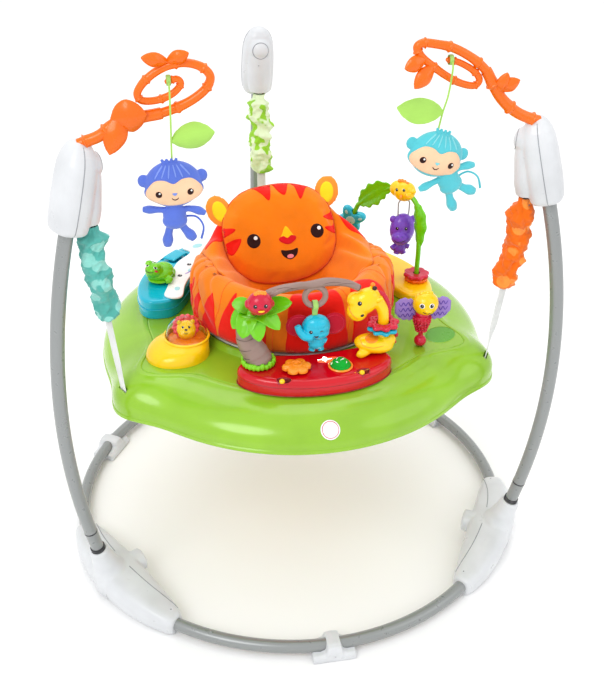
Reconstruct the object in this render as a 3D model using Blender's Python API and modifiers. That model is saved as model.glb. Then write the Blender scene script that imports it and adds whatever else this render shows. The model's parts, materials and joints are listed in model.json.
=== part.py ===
# Activity jumper: three-post ring frame, spring-hung toy tray, turning fabric seat, hanging and tray toys.
# Metres, +Z up, front of the jumper towards -Y. Standalone Blender 4.5 script.
import math
import bpy
import bmesh
from mathutils import Vector, Matrix

# ---------------------------------------------------------------- driving dimensions
GAP = 0.0003            # clearance between fitted pieces
SHIFT_Y = -0.0203       # puts the footprint's middle on the origin
TUBE_R = 0.011          # 22 mm steel tube, base ring and posts
RING_R = 0.4107         # centreline radius of the base ring
RING_Z = 0.018          # centreline height of the base ring
POST_ANGLES = {"left": 210.0, "right": 330.0, "back": 90.0}
PAD_ANGLES = {"front": 270.0, "left": 150.0, "right": 30.0}
HOUSING_HALF = 22.0     # degrees each side of a post covered by a base housing
SOCKET_DEG = 2.0        # how far a ring tube goes into a base housing
POST_Z0, POST_Z1 = 0.052, 0.724
STRAP_R0, STRAP_Z0, STRAP_SLOPE = 0.353, 0.410, 0.100   # strap line: radius grows with height
SLEEVE_Z0, SLEEVE_Z1 = 0.5480, 0.6985
SPRING_Z0, SPRING_Z1 = 0.5570, 0.7440
STRAP_TOP_Z = 0.5560
DECK_Z = 0.4300         # top of the tray deck
LIP_R = 0.1700          # opening of the tray
RIM_Z = 0.3660          # lower edge of the tray skirt
TRAY_R, LOBE_R = 0.3385, 0.0285   # skirt radius, extra radius at a strap lobe
CONSOLE_Z = 0.4570      # top of the red console
TOY_Y = -0.2000         # row in which the console toys stand


def reset():
    for o in list(bpy.data.objects):
        bpy.data.objects.remove(o, do_unlink=True)


reset()
col = bpy.data.collections.new("activity_jumper")
bpy.context.scene.collection.children.link(col)
cutcol = bpy.data.collections.new("cutters")
bpy.context.scene.collection.children.link(cutcol)

root = bpy.data.objects.new("origin", None)
col.objects.link(root)
root.location = (0.0, SHIFT_Y, 0.0)


# ---------------------------------------------------------------- helpers
def material(name, rgb, rough=0.4, metal=0.0, trans=0.0):
    m = bpy.data.materials.new(name)
    m.use_nodes = True
    b = m.node_tree.nodes["Principled BSDF"]
    b.inputs["Base Color"].default_value = (rgb[0], rgb[1], rgb[2], 1.0)
    b.inputs["Roughness"].default_value = rough
    b.inputs["Metallic"].default_value = metal
    b.inputs["Transmission Weight"].default_value = trans
    return m


def place(name, mesh, mat, parent=None, loc=(0, 0, 0), cutter=False):
    o = bpy.data.objects.new(name, mesh)
    (cutcol if cutter else col).objects.link(o)
    o.parent = parent if parent is not None else root
    o.location = loc
    if mat is not None:
        mesh.materials.append(mat)
    if cutter:
        o.hide_render = True
        o.display_type = "WIRE"
    return o


def tidy(bm):
    bmesh.ops.remove_doubles(bm, verts=bm.verts, dist=0.00002)
    bmesh.ops.recalc_face_normals(bm, faces=bm.faces)


def mesh_of(bm, name):
    tidy(bm)
    me = bpy.data.meshes.new(name)
    bm.to_mesh(me)
    bm.free()
    return me


def loft(bm, rings, closed=False):
    """Skin a row of equal-sized rings; a row that isn't closed gets end caps."""
    rows = [[bm.verts.new(p) for p in r] for r in rings]
    n = len(rows[0])
    last = len(rows) if closed else len(rows) - 1
    for i in range(last):
        a, b = rows[i], rows[(i + 1) % len(rows)]
        for j in range(n):
            k = (j + 1) % n
            bm.faces.new((a[j], a[k], b[k], b[j]))
    if not closed:
        bm.faces.new(list(reversed(rows[0])))
        bm.faces.new(rows[-1])


def sweep_rings(path, radii, sides=10, flat=1.0, side_dir=None):
    """Rings square to a path; flat squashes them across side_dir."""
    pts = [Vector(p) for p in path]
    out = []
    ref = Vector(side_dir) if side_dir else None
    prev = None
    for i, p in enumerate(pts):
        t = (pts[min(i + 1, len(pts) - 1)] - pts[max(i - 1, 0)]).normalized()
        if ref is not None:
            u = (ref - t * ref.dot(t)).normalized()
        elif prev is None:
            u = t.orthogonal().normalized()
        else:
            u = (prev - t * prev.dot(t)).normalized()
        prev = u
        v = t.cross(u)
        r = radii[i] if isinstance(radii, (list, tuple)) else radii
        out.append([p + u * (r * math.cos(2 * math.pi * k / sides)) * flat
                    + v * (r * math.sin(2 * math.pi * k / sides)) for k in range(sides)])
    return out


def smooth_path(points, per=4):
    """Catmull-Rom curve through the given points."""
    p = [Vector(q) for q in points]
    out = []
    for i in range(len(p) - 1):
        a, b, c, d = p[max(i - 1, 0)], p[i], p[i + 1], p[min(i + 2, len(p) - 1)]
        for s in range(per):
            t = s / per
            out.append(0.5 * ((2 * b) + (c - a) * t + (2 * a - 5 * b + 4 * c - d) * t * t
                              + (3 * b - 3 * c + d - a) * t ** 3))
    out.append(p[-1])
    return out


def tube(name, path, radii, mat, parent=None, sides=8, flat=1.0, side_dir=None, loc=(0, 0, 0),
         cutter=False):
    bm = bmesh.new()
    loft(bm, sweep_rings(path, radii, sides, flat, side_dir))
    return place(name, mesh_of(bm, name), mat, parent, loc, cutter)


def bore_for(name, path, radii, clear=GAP, sides=8, side_dir=None):
    """Cutter round a tube's own path, a little wider and longer than the tube."""
    p = [Vector(q) for q in path]
    p[0] = p[0] + (p[0] - p[1]).normalized() * 0.0006
    p[-1] = p[-1] + (p[-1] - p[-2]).normalized() * 0.0006
    wide = [r + clear for r in radii] if isinstance(radii, (list, tuple)) else radii + clear
    return tube(name, p, wide, None, sides=sides, side_dir=side_dir, cutter=True)


def blob(name, centre, semi, mat=None, seg=8, rings=5, rot=None, parent=None, cutter=True, loc=(0, 0, 0)):
    """Ellipsoid from a UV sphere primitive."""
    bm = bmesh.new()
    bmesh.ops.create_uvsphere(bm, u_segments=seg, v_segments=rings, radius=1.0)
    m = Matrix.Translation(Vector(centre))
    if rot is not None:
        m = m @ rot
    m = m @ Matrix.Diagonal((semi[0], semi[1], semi[2], 1.0))
    bm.transform(m)
    return place(name, mesh_of(bm, name), mat, parent, loc, cutter)


def cylinder(name, centre, radius, depth, mat=None, axis=(0, 0, 1), seg=16, parent=None, cutter=True,
             loc=(0, 0, 0), radius2=None):
    bm = bmesh.new()
    bmesh.ops.create_cone(bm, cap_ends=True, segments=seg, radius1=radius,
                          radius2=radius if radius2 is None else radius2, depth=depth)
    q = Vector((0, 0, 1)).rotation_difference(Vector(axis).normalized())
    bm.transform(Matrix.Translation(Vector(centre)) @ q.to_matrix().to_4x4())
    return place(name, mesh_of(bm, name), mat, parent, loc, cutter)


def box(name, centre, size, mat=None, rot=None, parent=None, cutter=True, loc=(0, 0, 0), bevel=0.0):
    bm = bmesh.new()
    bmesh.ops.create_cube(bm, size=1.0)
    bm.transform(Matrix.Diagonal((size[0], size[1], size[2], 1.0)))
    if bevel > 0:
        bmesh.ops.bevel(bm, geom=bm.edges[:], offset=bevel, segments=1, affect="EDGES", profile=0.6)
    m = Matrix.Translation(Vector(centre))
    if rot is not None:
        m = m @ rot
    bm.transform(m)
    return place(name, mesh_of(bm, name), mat, parent, loc, cutter)


def prism(name, outline, z0, z1, mat, parent=None, bevel=0.0, segments=2, loc=(0, 0, 0), cutter=False):
    """Upright block on a 2-D outline, top edge rounded."""
    bm = bmesh.new()
    rings = []
    area = sum(outline[i - 1][0] * outline[i][1] - outline[i][0] * outline[i - 1][1]
               for i in range(len(outline)))
    spin = 1.0 if area > 0 else -1.0
    steps = [(z0, 0.0)]
    if bevel > 0:
        for s in range(segments + 1):
            a = 0.5 * math.pi * s / segments
            steps.append((z1 - bevel + bevel * math.sin(a), bevel * (1 - math.cos(a))))
    else:
        steps.append((z1, 0.0))
    n = len(outline)
    for z, inset in steps:
        ring = []
        for i in range(n):
            a, b, c = Vector(outline[i - 1]), Vector(outline[i]), Vector(outline[(i + 1) % n])
            t = (c - a).normalized()
            nrm = Vector((t.y, -t.x)) * spin
            q = b - nrm * inset
            ring.append(Vector((q.x, q.y, z)))
        rings.append(ring)
    loft(bm, rings)
    return place(name, mesh_of(bm, name), mat, parent, loc, cutter)


def revolve(name, profile, mat, parent=None, steps=32, centre=(0, 0, 0), closed=True, cutter=False):
    """Screw a profile in the XZ plane round Z; points on the axis close the ends."""
    me = bpy.data.meshes.new(name)
    n = len(profile)
    edges = [(i, i + 1) for i in range(n - 1)] + ([(n - 1, 0)] if closed else [])
    me.from_pydata([(r, 0.0, z) for r, z in profile], edges, [])
    o = place(name, me, mat, parent, centre, cutter)
    s = o.modifiers.new("revolve", "SCREW")
    s.steps = steps
    s.render_steps = steps
    s.use_merge_vertices = True
    s.merge_threshold = 0.00002
    return o


def cut(target, tools, op="DIFFERENCE"):
    for t in tools:
        b = target.modifiers.new(op.lower() + "_" + t.name, "BOOLEAN")
        b.operation = op
        b.solver = "EXACT"
        b.object = t


def pol(r, deg, z=0.0):
    a = math.radians(deg)
    return Vector((r * math.cos(a), r * math.sin(a), z))


def radial_frame(deg):
    """Rotation whose X points outwards and Y along the ring at the given angle."""
    return Matrix.Rotation(math.radians(deg), 4, "Z")


def post_radius(z):
    return 0.40285 + 0.31598 * z - 0.38768 * z * z - 0.04717 * z ** 3


def strap_radius(z):
    return STRAP_R0 + STRAP_SLOPE * (z - STRAP_Z0)


def band(r_mid, half, deg0, deg1, n=14, power=3.0):
    """Kidney outline: a band along an arc whose ends close like a superellipse."""
    out, back = [], []
    for i in range(n + 1):
        t = -1.0 + 2.0 * i / n
        s = math.sin(0.5 * math.pi * t)
        w = half * max(1.0 - abs(s) ** power, 0.0) ** (1.0 / power)
        a = 0.5 * (deg0 + deg1) + 0.5 * (deg1 - deg0) * s
        if w < 1e-5:
            out.append(pol(r_mid, a))
        else:
            out.append(pol(r_mid + w, a))
            back.append(pol(r_mid - w, a))
    pts = out + list(reversed(back))
    return [(p.x, p.y) for p in pts]


def arc_path(r, z, deg0, deg1, n):
    return [pol(r, deg0 + (deg1 - deg0) * i / n, z) for i in range(n + 1)]


WHITE = (0.86, 0.87, 0.88)
GREY = (0.52, 0.53, 0.53)

# ---------------------------------------------------------------- base ring, posts and feet
steel = [material("grey_paint_%d" % i, GREY, 0.32) for i in range(6)]
arc_spans = {"front": (210.0, 330.0), "right": (-30.0, 90.0), "left": (90.0, 210.0)}
ring_bores, post_bores = {}, {}
for i, (name, (a0, a1)) in enumerate(arc_spans.items()):
    d = HOUSING_HALF - SOCKET_DEG
    path = arc_path(RING_R, RING_Z, a0 + d, a1 - d, 14)
    tube("ring_tube_" + name, path, TUBE_R, steel[i])
    ring_bores[name] = bore_for("c_ring_bore_" + name, path, TUBE_R)

for i, (name, ang) in enumerate(POST_ANGLES.items()):
    n = 11
    zs = [POST_Z0 + (POST_Z1 - POST_Z0) * k / n for k in range(n + 1)]
    path = [pol(post_radius(z), ang, z) for z in zs]
    tube("post_" + name, path, TUBE_R, steel[3 + i])
    post_bores[name] = bore_for("c_post_bore_" + name, path, TUBE_R)

for name, ang in POST_ANGLES.items():
    mat = material("white_plastic_base_" + name, WHITE, 0.35)
    bm = bmesh.new()
    rings = []
    for t in [-1.0, -0.90, -0.50, 0.0, 0.50, 0.90, 1.0]:
        swell = 1.0 - t * t
        half_w = 0.0165 + 0.0225 * swell ** 0.8 - (0.003 if abs(t) == 1.0 else 0.0)
        top = 0.0350 + 0.0270 * swell - (0.002 if abs(t) == 1.0 else 0.0)
        mid_r = RING_R - 0.0075 * swell
        ring = []
        for k in range(12):
            a = 2 * math.pi * (k + 0.5) / 12
            ca, sa = math.cos(a), math.sin(a)
            x = half_w * math.copysign(abs(ca) ** 0.62, ca)
            z = top * 0.5 * (1 + math.copysign(abs(sa) ** 0.62, sa))
            ring.append(pol(mid_r + x, ang + HOUSING_HALF * t, max(z, 0.0)))
        rings.append(ring)
    for ring in rings:
        for p in ring:
            if p.z < 0.0022:
                p.z = 0.0
    loft(bm, rings)
    body = place("base_housing_" + name, mesh_of(bm, "base_housing_" + name), mat)
    neck = tube("c_neck_" + name, [pol(post_radius(z), ang, z) for z in (0.020, 0.05, 0.08, 0.100, 0.111)],
                [0.030, 0.027, 0.021, 0.0175, 0.0160], None, sides=10, cutter=True)
    hub = cylinder("c_hub_" + name, pol(0.3700, ang, 0.038), 0.021, 0.030, axis=pol(1, ang), seg=12)
    cut(body, [neck, hub], "UNION")
    near = {"left": ("left", "front"), "right": ("front", "right"), "back": ("right", "left")}[name]
    cut(body, [ring_bores[n] for n in near] + [post_bores[name]])

for name, ang in PAD_ANGLES.items():
    mat = material("white_plastic_pad_" + name, WHITE, 0.4)
    rot = radial_frame(ang)
    pad = box("foot_pad_" + name, pol(RING_R, ang, 0.0075), (0.048, 0.074, 0.015), mat, rot, cutter=False,
              bevel=0.003)
    saddle = box("c_saddle_" + name, pol(RING_R, ang, 0.0190), (0.036, 0.028, 0.029), rot=rot, bevel=0.004)
    cut(pad, [saddle], "UNION")
    cut(pad, [ring_bores[name]])

# ---------------------------------------------------------------- spring housings, springs, sleeves, straps
for name, ang in POST_ANGLES.items():
    mat = material("white_plastic_spring_" + name, WHITE, 0.35)
    bm = bmesh.new()
    rings = []
    axis0, axis1 = Vector((0.4150, 0.0, 0.7050)), Vector((0.3840, 0.0, 0.8120))
    up = (axis1 - axis0).normalized()
    across = Vector((up.z, 0.0, -up.x))
    turn = radial_frame(ang)
    for s, f in [(0.00, 0.66), (0.06, 0.94), (0.40, 1.04), (0.85, 0.98), (1.05, 0.80), (1.16, 0.50),
                 (1.205, 0.20)]:
        c = axis0 + (axis1 - axis0) * s
        ring = []
        for k in range(12):
            a = 2 * math.pi * k / 12
            ring.append(turn @ (c + across * (0.0265 * f * math.cos(a))
                                + Vector((0, 1, 0)) * (0.0305 * f * math.sin(a))))
        rings.append(ring)
    loft(bm, rings)
    body = place("spring_housing_" + name, mesh_of(bm, "spring_housing_" + name), mat)
    bulge = tube("c_bulge_" + name, [turn @ Vector(p) for p in ((0.3848, 0, 0.7125), (0.3825, 0, 0.735),
                                                                (0.3790, 0, 0.770), (0.3760, 0, 0.795))],
                 [0.0215, 0.0235, 0.0240, 0.0225], None, sides=10, cutter=True)
    ball = blob("c_ball_" + name, turn @ Vector((0.3740, 0, 0.796)), (0.0235, 0.0235, 0.0235), seg=8,
                rings=5)
    well = tube("c_well_" + name, [turn @ Vector((strap_radius(z), 0, z))
                                   for z in (0.700, 0.72, 0.74, 0.7500)],
                0.0130, None, sides=10, cutter=True)
    cut(body, [bulge, ball], "UNION")
    cut(body, [well, post_bores[name]])

tray_origin = bpy.data.objects.new("tray_body", None)
col.objects.link(tray_origin)
tray_origin.parent = root

sleeve_rgb = {"left": (0.22, 0.72, 0.62), "right": (0.98, 0.42, 0.16), "back": (0.45, 0.74, 0.16)}
for name, ang in POST_ANGLES.items():
    # gathered cloth sleeve, open at both ends
    bm = bmesh.new()
    rings = []
    rows = 10
    for i in range(rows + 1):
        z = SLEEVE_Z0 + (SLEEVE_Z1 - SLEEVE_Z0) * i / rows
        puff = 0.0012 * math.sin(2 * math.pi * i / 3.0) + 0.0005 * math.sin(5.1 * i + ang)
        r = 0.0158 + puff - (0.0006 if i in (0, rows) else 0.0)
        rings.append([pol(strap_radius(z), ang, z)
                      + radial_frame(ang) @ Vector((r * math.cos(a), 1.1 * r * math.sin(a), 0))
                      for a in [2 * math.pi * k / 10 for k in range(10)]])
    for i in (rows, 0):
        z = SLEEVE_Z0 + (SLEEVE_Z1 - SLEEVE_Z0) * i / rows
        r = 0.0118
        rings.append([pol(strap_radius(z), ang, z)
                      + radial_frame(ang) @ Vector((r * math.cos(a), 1.1 * r * math.sin(a), 0))
                      for a in [2 * math.pi * k / 10 for k in range(10)]])
    loft(bm, rings, closed=True)
    place("sleeve_" + name, mesh_of(bm, "sleeve_" + name),
          material("sleeve_cloth_" + name, sleeve_rgb[name], 0.9))
    # extension spring, wound round the strap line
    turns, seg = 6, 7
    pts = []
    for i in range(turns * seg + 1):
        f = i / (turns * seg)
        z = SPRING_Z0 + (SPRING_Z1 - SPRING_Z0) * f
        a = 2 * math.pi * turns * f
        pts.append(pol(strap_radius(z), ang, z)
                   + radial_frame(ang) @ Vector((0.0082 * math.cos(a), 0.0082 * math.sin(a), 0)))
    tube("spring_" + name, pts, 0.0011, material("spring_steel_" + name, (0.6, 0.6, 0.62), 0.25, 1.0),
         sides=3)
    # webbing strap with a sewn stop under the tray deck
    slant = Matrix.Rotation(math.atan(STRAP_SLOPE), 4, "Y")
    zm = 0.5 * (STRAP_TOP_Z + 0.390)
    strap = box("strap_" + name, pol(strap_radius(zm), ang, zm), (0.0018, 0.0180, STRAP_TOP_Z - 0.390),
                material("webbing_" + name, (0.85, 0.86, 0.85), 0.85), radial_frame(ang) @ slant,
                parent=tray_origin, cutter=False)
    stop = box("c_stop_" + name, pol(strap_radius(0.389), ang, 0.3890), (0.0075, 0.0260, 0.0110),
               rot=radial_frame(ang), bevel=0.002)
    cut(strap, [stop], "UNION")

# ---------------------------------------------------------------- tray
def lobe(deg):
    v = 0.0
    for a in POST_ANGLES.values():
        d = (deg - a + 180.0) % 360.0 - 180.0
        v += math.exp(-(d / 9.0) ** 2)
    return v


bm = bmesh.new()
rings = []
T = 0.0030
for k in range(48):
    deg = 360.0 * k / 48
    lo = lobe(deg)
    ro = TRAY_R + LOBE_R * lo
    span = ro - 0.2680
    slope = [(0.40, 0.4220 + 0.003 * lo), (0.80, 0.4015 + 0.0095 * lo), (0.975, 0.3830 + 0.010 * lo)]
    outer = [(0.2680 + span * f, z) for f, z in slope]
    inner = [(r - T * (0.35 + 0.6 * i / 2), z - T * (1.0 - 0.75 * i / 2)) for i, (r, z) in enumerate(outer)]
    prof = [(LIP_R, DECK_Z - 0.004), (LIP_R, DECK_Z + 0.0075), (LIP_R + 0.004, DECK_Z + 0.0100),
            (LIP_R + 0.009, DECK_Z + 0.0080), (LIP_R + 0.013, DECK_Z), (0.2680, DECK_Z)] + outer + [
            (ro, RIM_Z), (ro - T, RIM_Z)] + list(reversed(inner)) + [
            (0.2675, DECK_Z - T), (LIP_R + 0.012, DECK_Z - T), (LIP_R + 0.006, DECK_Z - 0.004)]
    rings.append([pol(r, deg, z) for r, z in prof])
loft(bm, rings, closed=True)
tray = place("tray", mesh_of(bm, "tray"), material("green_plastic_tray", (0.36, 0.72, 0.10), 0.3),
             tray_origin)
slots = [box("c_slot_" + n, pol(strap_radius(0.41), a, 0.405), (0.0060, 0.0220, 0.060), rot=radial_frame(a))
         for n, a in POST_ANGLES.items()]
cut(tray, slots)

# ---------------------------------------------------------------- turning seat
seat_origin = bpy.data.objects.new("seat_body", None)
col.objects.link(seat_origin)
seat_origin.parent = tray_origin
revolve("seat_ring", [(0.1760, 0.4430), (0.1760, DECK_Z + 0.0103), (LIP_R - 0.0012, DECK_Z + 0.0103),
                      (LIP_R - 0.0012, 0.4250), (0.1755, 0.4250), (0.1755, 0.4200), (0.1560, 0.4200),
                      (0.1560, 0.4430)],
        material("white_plastic_seat_ring", WHITE, 0.4), seat_origin, steps=20)


def seat_top(deg):
    """Height of the padded edge: a little lower in front than behind."""
    d = abs((deg - 270.0 + 180.0) % 360.0 - 180.0) / 180.0
    return 0.545 + 0.027 * (0.5 - 0.5 * math.cos(math.pi * d))


def roll_inside(deg):
    """Inner radius of the padded edge: thick arms in front and at the sides, thin behind the head pad."""
    d = abs((deg - 270.0 + 180.0) % 360.0 - 180.0) / 180.0
    f = min(max((d - 0.50) / 0.18, 0.0), 1.0)
    return 0.117 + 0.030 * f * f * (3.0 - 2.0 * f)


bm = bmesh.new()
rings = []
for k in range(20):
    deg = 18.0 * k
    zt = seat_top(deg)
    side = abs(math.cos(math.radians(deg)))
    bulge = 0.1810 + 0.002 * side * side
    ri = roll_inside(deg)
    prof = [(0.030, 0.2300), (0.090, 0.2500), (0.128, 0.3050), (0.1510, 0.3950),
            (0.1535, 0.4440), (0.1720, 0.4450), (bulge, 0.4640), (bulge - 0.0040, 0.5050),
            (bulge - 0.0130, zt - 0.012), (0.5 * (0.160 + ri + 0.010), zt), (ri + 0.0100, zt - 0.0080),
            (ri, zt - 0.0300), (ri + 0.0010, 0.4700), (0.5 * (ri + 0.148), 0.4520), (0.1480, 0.4300),
            (0.1460, 0.3950), (0.1240, 0.3080), (0.088, 0.2535), (0.030, 0.2335)]
    rings.append([pol(r, deg, z) for r, z in prof])
loft_rows = [[rings[k][j] for k in range(20)] for j in range(len(rings[0]))]
loft(bm, loft_rows)
seat = place("seat_fabric", mesh_of(bm, "seat_fabric"),
             material("orange_cloth_seat", (0.95, 0.30, 0.02), 0.9),
             seat_origin)
legs = [tube("c_leg_" + n, [pol(0.060, a, 0.345), pol(0.220, a, 0.270)], 0.046, None, sides=12, cutter=True)
        for n, a in (("left", 228.0), ("right", 312.0))]
cut(seat, legs)

lean = Matrix.Rotation(math.radians(-33.0), 4, "X")
head = blob("seat_head_pad", (0.0, 0.070, 0.5360), (0.1150, 0.0200, 0.1060),
            material("orange_cloth_head", (0.98, 0.33, 0.02), 0.9), seg=18, rings=6, rot=lean,
            parent=seat_origin,
            cutter=False)
ears = [blob("c_ear_" + n, (x, 0.1150, 0.6060), (0.0250, 0.0090, 0.0300), seg=6, rings=5, rot=lean)
        for n, x in (("left", -0.086), ("right", 0.086))]
cut(head, ears, "UNION")

# ---------------------------------------------------------------- front console
console = prism("console_base", band(0.2320, 0.0425, 239.0, 301.0, n=12), DECK_Z + GAP, CONSOLE_Z,
                material("red_plastic_console", (0.80, 0.02, 0.05), 0.2), tray_origin, bevel=0.007,
                segments=2)
BUTTON = (-0.034, -0.2360)
stem_bore = cylinder("c_button_bore", (BUTTON[0], BUTTON[1], 0.4600), 0.0060 + GAP, 0.030)
cut(console, [stem_bore])

button_origin = bpy.data.objects.new("flower_button_body", None)
col.objects.link(button_origin)
button_origin.parent = tray_origin
petals = []
for k in range(30):
    a = 2 * math.pi * k / 30
    r = 0.0200 + 0.0030 * math.cos(6 * a)
    petals.append((BUTTON[0] + r * math.cos(a), BUTTON[1] + 0.86 * r * math.sin(a)))
button = prism("flower_button", petals, CONSOLE_Z + 0.0036, CONSOLE_Z + 0.0100,
               material("orange_plastic_button", (1.0, 0.36, 0.02), 0.3), button_origin, bevel=0.002,
               segments=1)
stem = cylinder("c_button_stem", (BUTTON[0], BUTTON[1], CONSOLE_Z - 0.001), 0.0060, 0.0120, seg=16)
cut(button, [stem], "UNION")

gem_pts = []
for k in range(20):
    a = 2 * math.pi * k / 20
    r = 0.0175 + 0.0020 * math.cos(a - 0.6)
    gem_pts.append((0.0370 + 0.95 * r * math.cos(a), -0.2360 + r * math.sin(a)))
prism("gem_light", gem_pts, CONSOLE_Z + GAP, CONSOLE_Z + 0.0110,
      material("green_gem", (0.05, 0.55, 0.15), 0.1, 0, 0.6),
      tray_origin, bevel=0.005, segments=2)

trunk = tube("palm_trunk", smooth_path([(-0.0905, -0.2080, 0.4600), (-0.0907, -0.2080, 0.4680),
                                        (-0.0960, -0.2070, 0.4800), (-0.1045, -0.2050, 0.4960),
                                        (-0.1090, -0.2030, 0.5140), (-0.1080, -0.2015, 0.5290)], 2),
             [0.0215, 0.0214, 0.0212, 0.0207, 0.0199, 0.0188, 0.0176, 0.0163, 0.0150, 0.0136, 0.0122],
             material("brown_plastic_trunk", (0.42, 0.30, 0.26), 0.4), tray_origin, sides=10,
             side_dir=(0, 1, 0))
grass = []
for k in range(20):
    a = 2 * math.pi * k / 20
    r = 0.0235 + 0.0018 * math.cos(5 * a)
    grass.append((-0.0905 + r * math.cos(a), -0.2080 + 0.92 * r * math.sin(a)))
grass_ring = prism("c_grass", grass, CONSOLE_Z + GAP, CONSOLE_Z + 0.0115, None, None, bevel=0.003,
                   segments=1, cutter=True)
cut(trunk, [grass_ring], "UNION")


def leaf_rings(path, width, thick, side_dir):
    """Flat leaf or fin: rings of an ellipse along a path."""
    pts = [Vector(p) for p in path]
    ref = Vector(side_dir)
    out = []
    n = len(pts)
    for i, p in enumerate(pts):
        t = (pts[min(i + 1, n - 1)] - pts[max(i - 1, 0)]).normalized()
        u = (ref - t * ref.dot(t)).normalized()
        v = t.cross(u)
        w = width[i]
        h = thick * (0.35 + 0.65 * min(1.0, w / max(width)))
        out.append([p + u * (w * math.cos(2 * math.pi * k / 6)) + v * (h * math.sin(2 * math.pi * k / 6))
                    for k in range(6)])
    return out


HUB = Vector((-0.1000, -0.2030, 0.5430))
leaves = blob("palm_leaves", HUB, (0.0130, 0.0130, 0.0110),
              material("green_plastic_leaves", (0.30, 0.62, 0.03), 0.35),
              seg=6, rings=5, parent=tray_origin, cutter=False)
leaf_cut = []
for i, tip in enumerate([(-0.1420, -0.2080, 0.5260), (-0.1230, -0.2420, 0.5110), (-0.0850, -0.2400, 0.5060),
                         (-0.0560, -0.2230, 0.5260), (-0.0400, -0.2000, 0.5560), (-0.1300, -0.1930, 0.5620),
                         (-0.1020, -0.2010, 0.5040)]):
    tip = Vector(tip)
    mid = (HUB + tip) * 0.5 + Vector((0, 0, 0.008))
    path = smooth_path([HUB, mid, tip], 2)
    side = (tip - HUB).cross(Vector((0, 0.35, 1))).normalized()
    bm = bmesh.new()
    loft(bm, leaf_rings(path, [0.0075, 0.0150, 0.0170, 0.0130, 0.0018], 0.0030, side))
    if i < 6:
        leaf_cut.append(place("c_palm_%d" % i, mesh_of(bm, "c_palm_%d" % i), None, None, cutter=True))
    else:
        bm.free()
cut(leaves, leaf_cut, "UNION")

bird = blob("bird", (-0.0890, -0.2220, 0.5750), (0.0180, 0.0160, 0.0175),
            material("red_plastic_bird", (0.75, 0.02, 0.10), 0.3),
            seg=8, rings=5, parent=tray_origin, cutter=False)
bird_bits = [blob("c_bird_tuft", (-0.0890, -0.2220, 0.5930), (0.0075, 0.0045, 0.0040), seg=6, rings=4),
             blob("c_bird_wing_a", (-0.1070, -0.2200, 0.5740), (0.0045, 0.0060, 0.0070), seg=6, rings=4),
             blob("c_bird_wing_b", (-0.0710, -0.2200, 0.5740), (0.0045, 0.0060, 0.0070), seg=6, rings=4),
             cylinder("c_bird_perch", (-0.0960, -0.2130, 0.5610), 0.0030, 0.0180, axis=(0.35, -0.45, 0.9),
                      seg=8)]
cut(bird, bird_bits, "UNION")

LOOP = Vector((0.0010, TOY_Y, 0.5670))
branch_path = smooth_path([(-0.0800, TOY_Y, 0.5720), (-0.0700, TOY_Y, 0.5800), (-0.0400, TOY_Y, 0.5860),
                           (-0.0060, TOY_Y, 0.5880), (0.0200, TOY_Y, 0.5905), (0.0500, TOY_Y, 0.5860),
                           (0.0740, TOY_Y, 0.5780)], 2)
branch = tube("branch", branch_path, [0.0048, 0.0054, 0.0058, 0.0060, 0.0058, 0.0055, 0.0055, 0.0058,
                                      0.0060,
                                      0.0062, 0.0060, 0.0055, 0.0048],
              material("brown_plastic_branch", (0.40, 0.29, 0.25), 0.4), tray_origin, sides=8,
              side_dir=(0, 1, 0))
bm = bmesh.new()
loop_rings = []
for k in range(18):
    a = 2 * math.pi * k / 18
    d = Vector((math.cos(a), 0, math.sin(a)))
    loop_rings.append([LOOP + d * (0.0160 + 0.0046 * math.cos(b))
                       + Vector((0, 1, 0)) * (0.0050 * math.sin(b))
                       for b in [2 * math.pi * j / 8 for j in range(8)]])
loft(bm, loop_rings, closed=True)
loop = place("c_loop", mesh_of(bm, "c_loop"), None, None, cutter=True)
cut(branch, [loop], "UNION")

# elephant hanging on a cloth loop round the bottom of the branch ring
eleph_origin = bpy.data.objects.new("elephant_body", None)
col.objects.link(eleph_origin)
eleph_origin.parent = tray_origin
eleph_origin.location = LOOP + Vector((0, 0, -0.0160))
EO = Vector(eleph_origin.location)


def local(p, origin):
    return Vector(p) - origin


bm = bmesh.new()
link = []
for k in range(12):
    a = 2 * math.pi * k / 12
    y, z = 0.0066 * math.cos(a), 0.0066 * math.sin(a)
    link.append([Vector((sx * 0.0040, y * s, z * s - 0.0006)) for sx,
                 s in ((-1, 1.0), (1, 1.0), (1, 1.16), (-1, 1.16))])
loft(bm, link, closed=True)
eleph = place("elephant", mesh_of(bm, "elephant"),
              material("teal_plastic_elephant", (0.02, 0.55, 0.65), 0.3), eleph_origin)
eb = [box("c_ribbon", (0, 0, -0.0140), (0.0080, 0.0016, 0.0150)),
      blob("c_head", local((0.0030, TOY_Y, 0.5120), EO), (0.0215, 0.0155, 0.0200), seg=8, rings=5),
      blob("c_trunk", local((-0.0215, TOY_Y - 0.004, 0.5120), EO), (0.0065, 0.0060, 0.0135), seg=6, rings=4,
           rot=Matrix.Rotation(-0.7, 4, "Y")),
      blob("c_body", local((0.0040, TOY_Y, 0.4860), EO), (0.0125, 0.0095, 0.0125), seg=6, rings=5),
      blob("c_foot_a", local((-0.0040, TOY_Y - 0.002, 0.4740), EO), (0.0050, 0.0055, 0.0070), seg=6,
           rings=4),
      blob("c_foot_b", local((0.0115, TOY_Y - 0.002, 0.4740), EO), (0.0050, 0.0055, 0.0070), seg=6,
           rings=4),
      blob("c_ear_a", local((-0.0270, TOY_Y + 0.004, 0.5140), EO), (0.0180, 0.0022, 0.0170), seg=6,
           rings=4),
      blob("c_ear_b", local((0.0330, TOY_Y + 0.004, 0.5120), EO), (0.0180, 0.0022, 0.0170), seg=6, rings=4)]
for o in eb:
    o.parent = eleph_origin
cut(eleph, eb, "UNION")

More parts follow.
